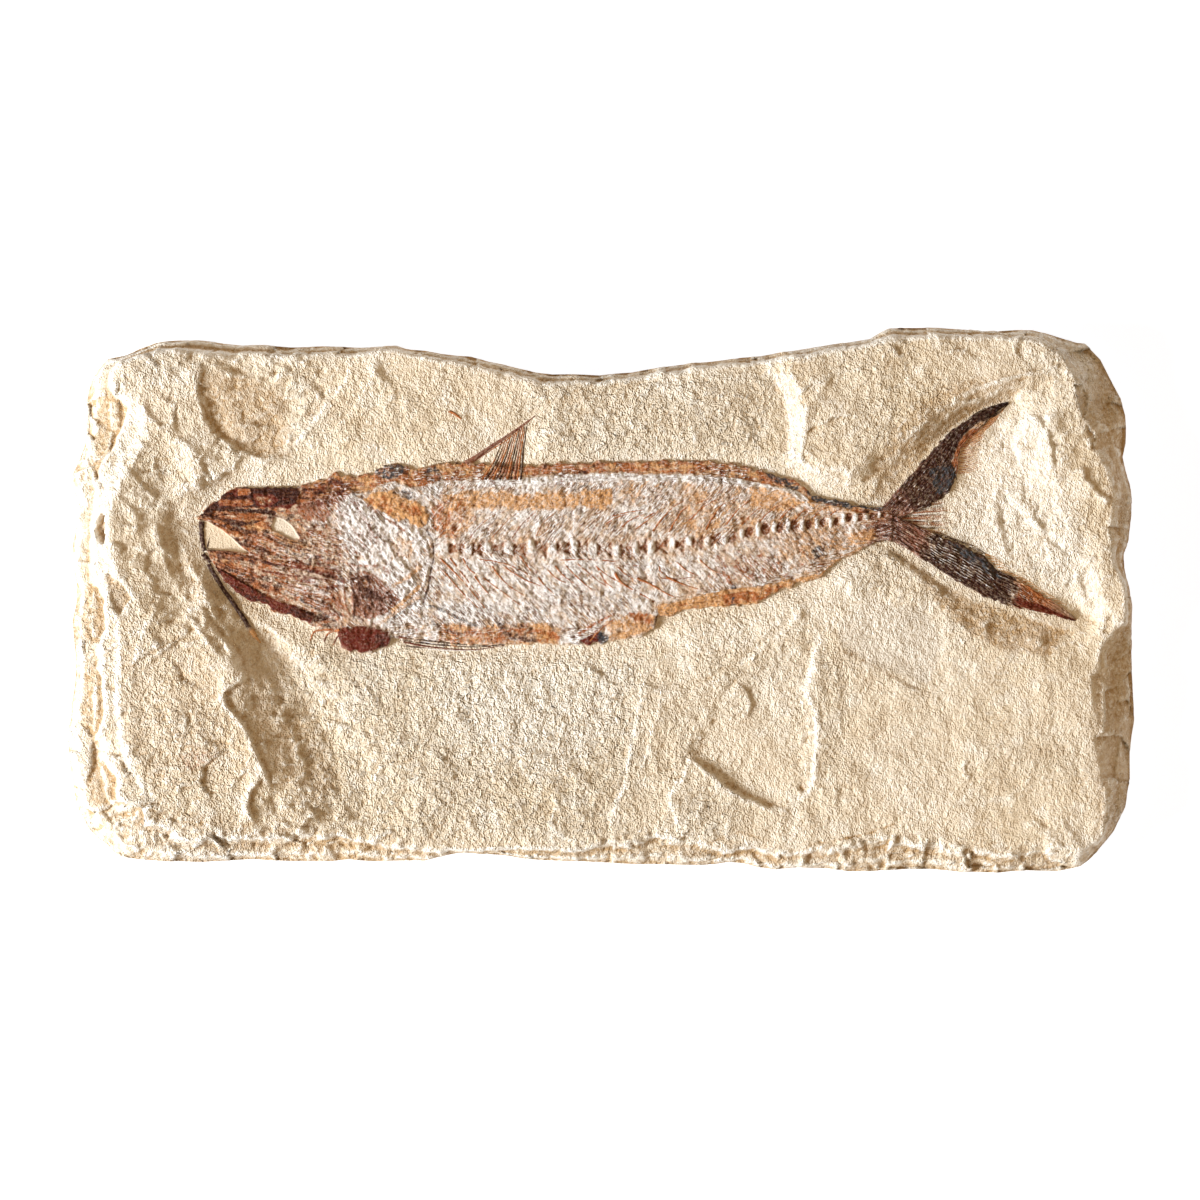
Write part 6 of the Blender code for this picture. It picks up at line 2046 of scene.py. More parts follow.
RIBS: tuple[Thread, ...] = (
    Thread(((440, 558), (462, 580), (485, 608)), 1.9),
    Thread(((443, 570), (458, 588), (478, 608)), 1.7),
    Thread(((463, 558), (470, 570), (486, 580), (500, 590), (520, 605)), 2.0),
    Thread(((450, 558), (470, 584), (482, 600)), 1.3),
    Thread(((475, 576), (482, 586), (490, 595)), 1.9),
    Thread(((480, 559), (506, 564), (528, 574)), 1.5),
    Thread(((492, 566), (500, 577), (512, 588), (527, 597)), 2.1),
    Thread(((505, 567), (522, 578), (540, 586)), 1.6),
    Thread(((520, 556), (526, 564), (531, 571)), 2.0),
    Thread(((538, 577), (546, 587), (554, 594)), 1.8),
    Thread(((548, 570), (556, 578), (566, 583)), 1.5),
    Thread(((555, 566), (564, 576), (578, 586)), 1.9),
    Thread(((566, 566), (578, 578), (592, 590)), 1.7),
    Thread(((578, 564), (594, 578), (606, 586)), 1.3),
    Thread(((597, 567), (604, 580), (613, 588)), 1.7),
    Thread(((596, 566), (608, 576), (622, 583)), 1.3),
    Thread(((615, 573), (621, 582), (633, 590)), 3.0, 1.6),
    Thread(((618, 567), (625, 574), (634, 579)), 1.8),
    Thread(((637, 578), (650, 584), (664, 592), (676, 598)), 2.9, 1.2),
    Thread(((640, 594), (648, 598), (654, 602)), 1.6),
    Thread(((659, 566), (661, 572), (666, 575)), 2.2),
    Thread(((666, 577), (680, 583), (698, 589)), 2.8, 1.0),
    Thread(((660, 578), (676, 579), (695, 577)), 1.8),
    Thread(((677, 562), (686, 570), (698, 576)), 1.8),
    Thread(((700, 560), (712, 570), (728, 576)), 1.5),
    Thread(((560, 560), (600, 560), (640, 566)), 1.2, 0.6, Coat.MAUVE),
)

UPPER_SPINES: tuple[Thread, ...] = (
    Thread(((653, 531), (661, 520), (672, 508), (686, 500)), 2.4),
    Thread(((669, 532), (676, 520), (686, 508), (712, 498)), 2.2),
    Thread(((690, 520), (702, 508), (718, 499)), 1.9),
    Thread(((706, 530), (712, 518), (722, 505), (738, 498)), 2.0),
    Thread(((726, 525), (736, 512), (750, 500)), 1.8),
    Thread(((606, 524), (616, 518), (628, 514)), 1.7),
    Thread(((622, 527), (632, 519), (645, 514)), 1.8),
    Thread(((644, 519), (650, 515), (656, 512)), 2.0),
    Thread(((636, 529), (648, 520), (660, 510)), 1.4),
    Thread(((612, 516), (630, 512), (644, 510)), 1.3),
    Thread(((742, 524), (752, 514), (762, 506)), 1.5),
    Thread(((760, 521), (770, 511), (782, 504)), 1.5),
    Thread(((780, 520), (787, 512), (796, 505)), 1.8),
    Thread(((795, 519), (802, 512), (811, 507)), 1.7),
    Thread(((814, 517), (820, 511), (828, 507)), 1.5),
    Thread(((830, 515), (836, 511), (843, 508)), 1.5),
    Thread(((470, 538), (482, 524), (496, 514)), 1.2, 0.6, Coat.MAUVE),
    Thread(((492, 538), (504, 524), (516, 514)), 1.3, 0.6, Coat.RUST, 0.6),
    Thread(((512, 538), (524, 522), (536, 512)), 1.2, 0.6, Coat.MAUVE),
    Thread(((536, 536), (544, 522), (556, 512)), 1.3, 0.6, Coat.RUST, 0.6),
)


@dataclass
class Fish:
    """The flattened skeleton: skull, trunk, vertebrae, ribs, fins and the forked tail."""

    skull_columns: int = 262
    trunk_columns: int = 396
    body_rows: int = 176
    rim_rise: float = 0.0006
    crown_rise: float = 0.0008
    margin: float = 5.0
    grains: tuple[tuple[float, float, float], ...] = ((-3, 17, 2.8), (15, 20, 2.9), (47, 13, 2.7),
                                                      (-50, 13, 2.7))
    gill_x: float = 436.0
    root_x: float = 897.0
    lobe_columns: int = 170
    lobe_rows: int = 66
    ray_count: int = 15

    back: Path = (
        (196, 516), (199, 514), (203, 510), (207, 507), (212, 501), (217, 500), (222, 494), (226, 491),
        (233, 489),
        (240, 487), (260, 487), (280, 487), (297, 487), (302, 485), (310, 483), (318, 480), (325, 479),
        (330, 475),
        (336, 471), (342, 477), (350, 475), (360, 475), (367, 473), (372, 474), (377, 468), (395, 463),
        (402, 465),
        (410, 467), (420, 468), (430, 465), (440, 462), (468, 462), (490, 464), (520, 466), (540, 465),
        (560, 463),
        (600, 462), (640, 461), (680, 460), (700, 460), (720, 462), (740, 465), (760, 470), (780, 476),
        (795, 480),
        (805, 487), (812, 495), (840, 500), (860, 505), (870, 507), (886, 507), (900, 506),
    )
    belly: Path = (
        (196, 518), (199, 520), (201, 528), (203, 540), (206, 551), (213, 566), (220, 575), (226, 583),
        (231, 588),
        (237, 592), (242, 597), (250, 602), (258, 603), (266, 605), (272, 610), (280, 613), (290, 616),
        (300, 620),
        (310, 625), (320, 629), (335, 630), (338, 636), (340, 646), (345, 650), (353, 652), (362, 654),
        (372, 652),
        (382, 648), (389, 645), (391, 638), (403, 640), (430, 642), (470, 645), (500, 645), (530, 644),
        (560, 645),
        (580, 645), (600, 644), (620, 640), (640, 637), (655, 628), (658, 617), (668, 617), (680, 612),
        (700, 608),
        (720, 607), (735, 606), (750, 604), (765, 600), (775, 592), (790, 588), (795, 584), (818, 579),
        (830, 568),
        (838, 560), (848, 556), (860, 550), (870, 545), (883, 540), (900, 541),
    )
    spine: Path = (
        (196, 517), (206, 528), (230, 536), (300, 540), (430, 549), (485, 550), (530, 549), (600, 549),
        (650, 548),
        (690, 544), (720, 540), (760, 530), (800, 525), (830, 521), (860, 517), (900, 515),
    )
    mouth: Path = ((190, 521), (207, 521), (213, 525), (222, 530), (232, 538), (240, 546), (249, 553),
                   (228, 550.5),
                   (208, 549.5), (190, 550))
    eye: Path = ((271, 527), (275, 517), (283, 519), (292, 526), (297, 534), (299, 539), (290, 539),
                 (282, 534),
                 (273, 530))
    upper_leading: Path = (
        (882, 507), (889, 499), (897, 490), (905, 481), (915, 469), (925, 457), (935, 446), (945, 436),
        (955, 427),
        (965, 420), (975, 413), (985, 408), (998, 403), (1010, 401),
    )
    upper_trailing: Path = (
        (888, 526), (903, 518), (916, 513), (928, 508), (940, 500), (950, 493), (956, 484), (959, 472),
        (959, 460),
        (962, 448), (970, 438), (980, 431), (990, 419), (1003, 408), (1011, 403),
    )
    lower_leading: Path = (
        (880, 540), (892, 541), (903, 547), (915, 555), (928, 563), (940, 572), (955, 581), (970, 590),
        (985, 598),
        (1000, 604), (1015, 608), (1030, 611), (1045, 614), (1060, 618), (1078, 622),
    )
    lower_trailing: Path = (
        (888, 514), (905, 519), (925, 528), (945, 537), (965, 544), (975, 551), (985, 555), (993, 562),
        (1001, 571),
        (1012, 575), (1024, 581), (1036, 590), (1050, 598), (1064, 607), (1079, 620),
    )
    dorsal_leading: Path = ((466, 464), (484, 452), (500, 441), (515, 431), (526, 423), (535, 416))
    dorsal_base: Path = ((482, 480), (500, 480), (521, 480))

    def bed_outline(self) -> Path:
        """The outline of the flat bed: the fish with its dorsal fin and tail."""
        before = [point for point in self.back if point[0] < 466]
        after = [point for point in self.back if point[0] > 524 and point[0] < 880]
        fin = [*self.dorsal_leading, (527, 440), (524, 464)]
        tail = [*self.upper_leading, *self.upper_trailing[:2:-1], *self.lower_trailing[1:],
                *self.lower_leading[::-1]]
        belly = [point for point in self.belly if point[0] < 880]
        return tuple([*before, *fin, *after, *tail, *belly[::-1]])

    def vertebrae(self) -> list[float]:
        """Where each vertebra starts along the sheet, with the pitch closing up towards the tail."""
        starts = [441.0]
        while starts[-1] < 886:
            starts.append(starts[-1] + float(np.interp(starts[-1], (440, 600, 700, 800, 880),
                                                       (22.5, 20, 17.5, 14, 11))))
        return starts

    def relief(self, x: Array, y: Array, grain: Grain) -> Relief:
        """The body's surface and coats, for the skull and the trunk alike.

        Args:
            x: Sheet distances to the right.
            y: Sheet distances down.
            grain: The noise that shapes it.

        Returns:
            The relief.
        """
        back, belly, spine = at_x(self.back, x), at_x(self.belly, x), at_x(self.spine, x)
        tall = np.maximum(belly - back, 1.0)
        across = np.clip((y - back) / tall, 0, 1)
        crown = self.crown_rise * np.sqrt(4 * across * (1 - across)) * (1 - 0.6 * eased((x - 810) / 80))
        height = LEVELS.bed + self.rim_rise + crown
        relief = Relief(x, y, height, grain)
        splinters = self._splinters(relief, spine, y - back, belly - y)
        self._ground_coats(relief, spine)
        self._bands(relief, y - back, belly - y)
        for plate in (*SKULL_PLATES, *TRUNK_PLATES):
            relief.patch(plate.outline, plate.coat, plate.strength, plate.feather, plate.rise, plate.ragged)
        self._shatter(relief, splinters)
        self._column(relief, spine)
        for streak in (*SKULL_STREAKS, *TRUNK_STREAKS):
            relief.stroke(streak.path, streak.width, streak.coat, streak.strength, streak.rise, 0.9,
                          streak.taper)
        self._openings(relief)
        self._sink_edge(relief, np.minimum(np.minimum(y - back, belly - y), self.root_x - 3 - x))
        return relief

    def _splinters(
        self, relief: Relief, spine: Array, below_back: Array, above_belly: Array
    ) -> tuple[Array, Array, Array]:
        """Split the bone into splinters that lie along each part's own grain.

        Args:
            relief: The body's surface.
            spine: Where the spine runs at each x.
            below_back: Distances below the back.
            above_belly: Distances above the belly.

        Returns:
            Each point's splinter number, height and nearness to the splinter's edge.
        """
        x, y, grain = relief.x, relief.y, relief.grain
        near_x = x + 7 * grain.fractal(x, y, 18.0, 3)
        off = y - spine + 5 * grain.fractal(x + 50, y, 18.0, 3)
        skull = (near_x < 304) & (off < -14)
        jaw = (near_x < 344) & (off >= -14) & (near_x + 0.4 * off < 352)
        edge_strip = (below_back < 20) | (above_belly < 17) | skull
        above = (off < 0) & (near_x > 436)
        chosen = np.select([edge_strip & ~jaw, jaw, above], [0, 1, 3], 2)
        for index, coat in enumerate((Coat.FIBRE_JAW, Coat.FIBRE_RIB, Coat.FIBRE_SPINE), start=1):
            relief.coats[coat] = np.where(chosen == index, 1.0, 0.0)
        flaky = 0.42 + 0.58 * eased((x - 300) / 70) + 0.30 * grain.fractal(x - 40, y, 24.0, 2)
        flaky = flaky - 0.35 * eased((318 - x) / 20) * eased((522 - y) / 8) - 0.4 * eased((x - 862) / 20)
        relief.coats[Coat.ROUGH] = np.clip(flaky, 0.1, 1.0)
        number, height, edge = np.zeros(x.shape), np.zeros(x.shape), np.zeros(x.shape)
        for index, (heading, run, width) in enumerate(self.grains):
            here = chosen == index
            if here.any():
                parts = grain.shards(x[here], y[here], run, width, math.radians(heading))
                number[here], height[here], edge[here] = parts
        return number, height, edge

    def _ground_coats(self, relief: Relief, spine: Array) -> None:
        """The share of each coat that the bone has before any plate is drawn on it."""
        x, y, grain = relief.x, relief.y, relief.grain
        head = eased((372 + 0.25 * (y - spine) - x) / 60)
        snout = eased((300 - x) / 50)
        right = eased((x - 640) / 60)
        low = eased((y - spine) / 14 + 0.5)
        patchy = 0.22 * grain.fractal(x, y, 42.0, 4) + 0.16 * grain.fractal(x + 90, y, 14.0, 2)
        trunk = 1 - head
        relief.coats[Coat.CHALK] = 0.58 * trunk + 0.24 * head - 0.20 * snout - 0.10 * right + 1.25 * patchy
        relief.coats[Coat.MAUVE] = 0.06 * trunk + 0.32 * head + 0.10 * snout - 0.6 * patchy
        relief.coats[Coat.AMBER] = 0.12 * trunk + 0.18 * head + 0.18 * right * (1 - low) + 0.10 * right - 0.6 * patchy
        relief.coats[Coat.RUST] = 0.08 * trunk + 0.34 * head + 0.24 * snout + 0.06 * right - 0.5 * patchy
        relief.coats[Coat.DARK] = 0.03 * trunk + 0.24 * head + 0.16 * snout - 0.3 * patchy
        stem = eased((x - 856) / 22)
        for coat, share in ((Coat.MAUVE, 0.80), (Coat.RUST, 0.30), (Coat.DARK, 0.45), (Coat.CHALK, 0.25),
                            (Coat.AMBER, 0.1)):
            relief.coats[coat] = relief.coats[coat] + (share - relief.coats[coat]) * stem

    def _shatter(self, relief: Relief, splinters: tuple[Array, Array, Array]) -> None:
        """Raise each splinter its own way, and give it whole the coats that it has its share of."""
        x, y, grain = relief.x, relief.y, relief.grain
        number, height, edge = splinters
        flake = grain.chips(x, y, 6.5)
        fine = grain.smooth(x, y, 2.6)
        crumple = 1 - np.abs(grain.fractal(x + 12, y, 13.0, 3))
        relief.height += 0.00013 * height + 0.00010 * flake - 0.00010 * edge**2 + 0.00006 * fine
        creased = 1 - np.abs(grain.fractal(x - 33, y + 9, 7.0, 2))
        folded = 0.00044 + 0.00056 * np.clip(relief.coat(Coat.CHALK), 0, 1)
        relief.height += folded * crumple + 0.5 * folded * creased + 0.00022 * grain.chips(x, y, 12.0)
        for order, coat in enumerate(SPLINTERED):
            own = np.mod(number * (7.31 + 5.17 * order) + 0.37 * order, 1.0)
            speck = 0.5 + 0.70 * grain.fractal(x + 53.0 * order, y - 29.0 * order, 6.5, 2)
            chance = 0.46 * own + 0.54 * np.clip(speck, 0, 1)
            share = np.clip(relief.coat(coat), 0, 1)
            crisp = np.clip((share - chance) / 0.16 + 0.5, 0, 1) * eased(share / 0.04)
            soft = 0.6 if coat is Coat.AMBER else 0.3
            relief.coats[coat] = np.where(share > 0.9, share, (1 - soft) * crisp + soft * share)
        # Painted shade along the sunk edges between splinters.
        gap = np.clip(edge - 0.55, 0, 1) * 2.2 * (np.mod(number * 31.7, 1.0) < 0.6)
        relief.coats[Coat.HOLLOW] = np.clip(0.75 * gap, 0, 1)

    def _bands(self, relief: Relief, below_back: Array, above_belly: Array) -> None:
        """The rust-brown speckled band along the back and the pale strip under it."""
        x, y, grain = relief.x, relief.y, relief.grain
        wander = below_back + 2.4 * grain.fractal(x, y, 12.0, 3)
        depth = np.interp(x, (300, 440, 520, 600, 700, 760, 812, 900), (17, 19, 12, 11, 15, 13, 8, 6))
        behind_eye = eased((x - 296) / 20)
        band = eased((depth - wander) / 3 + 0.5) * behind_eye
        clumps = grain.fractal(x, y, 11.0, 3)
        strip = eased((wander - depth) / 3 + 0.5) * eased((depth + 10 - wander) / 4) * eased((x - 470) / 20)
        relief.coats[Coat.CHALK] = relief.coats[Coat.CHALK] * (1 - 0.7 * band) + 0.35 * strip
        relief.coats[Coat.RUST] = relief.coats[Coat.RUST] * (1 - band) * (1 - strip) + band * (0.55 + 0.5 * clumps)
        relief.coats[Coat.AMBER] = relief.coats[Coat.AMBER] * (1 - band) * (1 - strip) + band * (0.50 - 0.6 * clumps)
        relief.coats[Coat.DARK] = relief.coats[Coat.DARK] * (1 - band) + band * (0.14 + 0.5 * grain.fractal(x + 9, y, 9, 2))
        relief.coats[Coat.MAUVE] = relief.coats[Coat.MAUVE] * (1 - band)
        relief.height += band * (0.00010 + 0.00014 * clumps)
        rim = eased((5 - above_belly) / 3) * eased((x - 640) / 20) * eased((880 - x) / 16)
        relief.coats[Coat.AMBER] = np.maximum(relief.coats[Coat.AMBER], 0.7 * rim)

    def _column(self, relief: Relief, spine: Array) -> None:
        """The vertebrae: a pale rounded joint, chalky bone with painted highlight, on the left of each dark, waisted
        core, bone colour with painted shade.
        """
        x, y, grain = relief.x, relief.y, relief.grain
        starts = np.array(self.vertebrae())
        starts += np.random.default_rng(12).uniform(-1, 1, len(starts)) * np.interp(starts, (600, 800),
                                                                                    (3.0, 0.6))
        index = np.clip(np.searchsorted(starts, x, side="right") - 1, 0, len(starts) - 2)
        own = np.random.default_rng(8).uniform(-1, 1, (len(starts), 5))[index]
        pitch = starts[index + 1] - starts[index]
        share = np.clip((x + 0.8 * grain.smooth(x, y, 6.0) - starts[index]) / pitch, 0, 1)
        worn = eased((752 - x) / 40)
        half = np.interp(x, (440, 620, 720, 800, 880), (9.6, 11.4, 9.6, 8.0, 5.4)) * (1 + 0.22 * own[:, 0])
        lean = 0.5 * own[:, 1] * (share - 0.6)
        stray = (1.0 + 1.2 * worn) * own[:, 2] - (1.0 + 1.3 * worn) * grain.smooth(x, y, 7.0)
        off = (y - stray - spine) / half + lean
        column = eased((x - 436) / 8) * eased((892 - x) / 8)
        near = eased((1.35 - np.abs(off)) * 2) * column
        ball = np.hypot((share - 0.17) / (0.17 + 0.05 * worn), off / (0.72 + 0.15 * own[:, 3]))
        patchy = np.clip(1 - worn * (0.15 - 0.9 * grain.fractal(x, y, 7.0, 2)), 0, 1)
        joint = eased((1.15 - ball) * (3 - 1.2 * worn)) * column * patchy
        narrow = 0.22 + 0.16 * (1 + own[:, 4])
        waist = narrow + (1 - narrow) * np.abs(share - 0.60) / 0.36
        waisted = eased((waist - np.abs(off)) * 3.5) * eased((share - 0.30) / 0.10) * eased((0.97 - share) / 0.08)
        oval = eased((1.1 - np.hypot((share - 0.60) / (0.25 + 0.05 * own[:, 4]), off / 0.66)) * 3)
        core = (waisted * worn + oval * (1 - worn)) * column * patchy
        relief.height += 0.00020 * near - (0.00034 + 0.00012 * worn) * core
        relief.height += (0.00046 - 0.00006 * worn) * joint * np.sqrt(np.clip(1.3 - ball, 0, 1))
        # The raised joint is painted pale as chalky bone and painted highlight; the sunk core is painted rust as bone
        # colour and painted shade.
        relief.coats[Coat.CHALK] = np.clip(relief.coats[Coat.CHALK] * (1 - core) + (0.8 - 0.1 * worn) * joint, 0, 1)
        relief.coats[Coat.RUST] = np.maximum(relief.coats[Coat.RUST] * (1 - joint),
                                             (0.95 - 0.1 * worn) * core)
        # Painted shade: the left part of the sunk core, whose wall faces away from the light, is darker.
        dark = core * (0.50 + 0.2 * (share < 0.5)) * (1 - 0.45 * worn)
        relief.coats[Coat.DARK] = np.maximum(relief.coats[Coat.DARK] * (1 - joint), dark)
        for coat in (Coat.MAUVE, Coat.AMBER, Coat.HOLLOW):
            relief.coats[coat] = relief.coats[coat] * (1 - joint)
        relief.coats[Coat.AMBER] = np.maximum(relief.coats[Coat.AMBER],
                                              0.35 * near * (1 - core) * (1 - joint) * patchy)

    def _openings(self, relief: Relief) -> None:
        """Stone shows in the open mouth and over the eye."""
        gap = eased(depth_inside(relief.x, relief.y, self.mouth) / 1.6 + 0.5)
        lens = eased(depth_inside(relief.x, relief.y, self.eye) / 1.4 + 0.5)
        relief.height += gap * (LEVELS.bed + 0.00045 - relief.height)
        relief.height += lens * (LEVELS.bed + self.rim_rise + 0.0007 - relief.height)
        for coat in list(relief.coats):
            relief.coats[coat] = relief.coats[coat] * (1 - gap) * (1 - lens)
        relief.coats[Coat.MATRIX] = np.maximum(0.95 * gap, 0.75 * lens)
        relief.coats[Coat.CHALK] = np.maximum(relief.coats[Coat.CHALK], 0.8 * lens)
        relief.stroke(((232, 540), (240, 546), (250, 554)), 3.0, Coat.CHALK, 0.9)

    def _sink_edge(self, relief: Relief, depth: Array) -> None:
        """Fray the edge of the body and sink it into the stone."""
        x, y, grain = relief.x, relief.y, relief.grain
        depth = depth + 3.6 * grain.fractal(x, y, 7.5, 4)
        inside = eased(depth / 2.2 + 0.5)
        low = LEVELS.bed - 0.0004
        relief.height = low + (relief.height - low) * inside
        relief.coats[Coat.MATRIX] = np.maximum(relief.coats[Coat.MATRIX], eased(0.6 - depth / 1.2))

    def _body_piece(self, name: str, start: float, end: float, columns: int,
                    finish: bpy.types.Material) -> None:
        """Build a length of the body as a closed solid.

        Args:
            name: The piece's name.
            start: The sheet x where it starts.
            end: The sheet x where it ends.
            columns: Quads along it.
            finish: The bone's material.
        """
        grain = Grain(23)

        def place(u: Array, v: Array) -> Relief:
            """The relief over the grid, a little past the body's outline."""
            x = start + (end - start) * u
            back, belly = at_x(self.back, x) - self.margin, at_x(self.belly, x) + self.margin
            return self.relief(x, back + (belly - back) * v, grain)

        mesh = grid_mesh(name, columns, self.body_rows, place)
        floor = LEVELS.bed - 0.0006
        finished_piece(name, close_below(mesh, [lambda point: Vector((point.x, point.y, floor))]),
                       finish, ["fish"])

    def _lobe_piece(self, name: str, leading: Path, trailing: Path, upper: bool,
                    finish: bpy.types.Material) -> None:
        """Build one lobe of the tail as a closed solid.

        Args:
            name: The piece's name.
            leading: Its outer edge, from the root to the tip.
            trailing: Its inner edge, from the root to the tip.
            upper: Whether it is the upper lobe.
            finish: The bone's material.
        """
        grain = Grain(31 if upper else 37)

        def place(u: Array, v: Array) -> Relief:
            """The relief over the grid, a little past the lobe's edges."""
            outer, inner = along(leading, u), along(trailing, u)
            wide = v * 1.12 - 0.06
            point = outer + (inner - outer) * wide[:, None]
            x, y = point[:, 0], point[:, 1]
            ridge = np.cos(2 * math.pi * self.ray_count * (wide + 0.02 * grain.smooth(x, y, 9.0)))
            split = grain.smooth(u * 30, wide * self.ray_count * 1.3, 1.0)
            height = LEVELS.bed + 0.0007 * (1 - 0.4 * u) + 0.00013 * ridge + 0.00008 * split
            relief = Relief(x, y, height, grain)
            self._colour_lobe(relief, u, wide, ridge, split, upper)
            relief.coats[Coat.FIBRE_SPINE if upper else Coat.FIBRE_RIB] = np.ones(x.shape)
            relief.coats[Coat.ROUGH] = np.full(x.shape, 0.6)
            heading = math.radians(-46 if upper else 34)
            self._shatter(relief, grain.shards(x, y, 15.0, 2.4, heading))
            depth = 26.0 * np.minimum(wide, 1 - wide) * (1 - 0.75 * u) + 1.2 * split
            depth = np.minimum(depth, (1 - u) * 60)
            inside = eased(depth / 2.0 + 0.2)
            low = LEVELS.bed - 0.0004
            relief.height = low + (relief.height - low) * inside
            faded = 0.0 if upper else 0.6 * eased((u - 0.80) / 0.16) * eased((wide - 0.3) / 0.4)
            relief.coats[Coat.MATRIX] = np.maximum(eased(0.5 - depth / 1.5), faded)
            return relief

        mesh = grid_mesh(name, self.lobe_columns, self.lobe_rows, place)
        floor = LEVELS.bed - 0.0006
        finished_piece(name, close_below(mesh, [lambda point: Vector((point.x, point.y, floor))]),
                       finish, ["fish"])

    @staticmethod
    def _colour_lobe(relief: Relief, u: Array, wide: Array, ridge: Array, split: Array, upper: bool) -> None:
        """Paint a lobe: mauve-red at its root, near black along the middle and amber to rust at its tip."""
        groove = np.clip(-ridge * 0.8 + 0.9 * split - 0.75, 0, 1)
        root = eased((0.30 - u) / 0.2)
        if upper:
            relief.coats[Coat.DARK] = np.clip(0.98 - 0.5 * root - 0.5 * groove, 0, 1)
            relief.coats[Coat.MAUVE] = 0.85 * root
            relief.coats[Coat.CHALK] = np.clip(groove * 1.6 + 0.24 * root, 0, 1)
            bright = ((958, 450), (964, 436), (976, 424), (986, 420), (982, 434), (974, 444), (962, 458))
            warm = ((952, 462), (958, 444), (970, 430), (982, 426), (974, 444), (966, 460), (956, 476))
            for outline, coat, share in ((bright, Coat.AMBER, 0.45), (warm, Coat.RUST, 1.0)):
                relief.patch(outline, coat, share, 3, 0.0, 1)
                relief.patch(outline, Coat.DARK, -0.95, 3, 0.0, 1)
            relief.patch(((930, 470), (948, 462), (958, 470), (954, 486), (936, 496)),
                         Coat.SOOT, 0.6, 4, 0.0, 2)
        else:
            tip = eased((u - 0.60) / 0.16)
            middle = eased((u - 0.16) / 0.12) * (1 - tip)
            flecks = np.clip(0.8 * split - 0.8 * ridge - 0.1, 0,
                             1) * eased((u - 0.2) / 0.1) * eased((0.6 - u) / 0.1)
            flecks = flecks * eased(1.6 - 4.2 * np.abs(wide - 0.52))
            relief.coats[Coat.DARK] = np.clip(0.96 * middle + 0.45 * root * (1 - groove) - 0.6 * groove - flecks, 0, 1)
            relief.coats[Coat.BLOOD] = 0.80 * tip * eased((0.62 - wide) / 0.3)
            relief.coats[Coat.RUST] = 0.9 * tip
            relief.coats[Coat.AMBER] = np.clip(tip * (2.0 * wide - 0.8) * (1 - 0.8 * eased((u - 0.86) / 0.1)), 0, 1)
            relief.coats[Coat.CHALK] = np.clip(groove * 1.8 * (1 - 0.6 * tip) + 0.24 * root + flecks, 0, 1)
            relief.coats[Coat.MAUVE] = 0.85 * np.clip(1 - middle - tip, 0, 1)
            upper_side = ((950, 542), (972, 551), (992, 564), (1004, 580), (990, 576), (966, 560))
            relief.patch(upper_side, Coat.SOOT, 0.75, 4, 0.0, 3)

    def _fin_threads(self) -> list[Thread]:
        """The rays of the dorsal fin, fanning from its leading spine to its base."""
        outer = tuple((x, y - 0.8) for x, y in self.dorsal_leading)
        threads = [
            Thread(outer, 5.6, 0.9, Coat.DARK, 0.8),
            Thread(self.dorsal_leading, 4.6, 0.8, Coat.MAUVE, 1.0),
            Thread(((470, 463), (486, 453), (506, 440), (520, 430)), 2.0, 0.8, Coat.BLOOD, 0.8),
        ]
        count = 12
        for ray in range(count):
            share = ray / (count - 1)
            base = along(self.dorsal_base, np.array(share))
            tip = along(self.dorsal_leading, np.array(0.52 + 0.36 * share**0.8))
            middle = base + (tip - base) * 0.5 + np.array([2.5 * (1 - share) - 1.0, 1.5])
            coat = (Coat.MAUVE, Coat.RUST, Coat.DARK)[ray % 3]
            threads.append(Thread((tuple(base), tuple(middle), tuple(tip)), 2.3 + 0.5 * (ray % 2),
                                  0.9, coat, 0.9))
        return threads

    def _belly_threads(self) -> list[Thread]:
        """The long belly rays, the two hooked bones before them, and the fin behind."""
        return [
            Thread(((400, 640), (440, 645), (480, 647), (512, 643)), 2.6, 0.8, Coat.BLOOD, 0.95),
            Thread(((403, 642), (430, 647), (470, 650), (508, 645)), 2.4, 0.7, Coat.DARK, 0.85),
            Thread(((398, 637), (430, 641), (470, 645), (500, 646)), 2.2, 0.7, Coat.BLOOD, 0.9),
            Thread(((406, 646), (440, 650), (478, 651)), 1.8, 0.6, Coat.DARK, 0.8),
            Thread(((416, 640), (450, 646), (490, 647)), 1.6, 0.6, Coat.CHALK, 0.7),
            Thread(((332, 629), (320, 630), (313, 633), (310, 641)), 3.6, 1.4, Coat.RUST, 0.9),
            Thread(((340, 630), (331, 632), (326, 636), (324, 642)), 3.2, 1.3, Coat.RUST, 0.9),
            Thread(((344, 634), (337, 637), (333, 645)), 2.6, 1.0, Coat.BLOOD, 0.9),
            Thread(((590, 641), (600, 630), (614, 619)), 2.2, 0.8, Coat.RUST, 0.9),
        ]

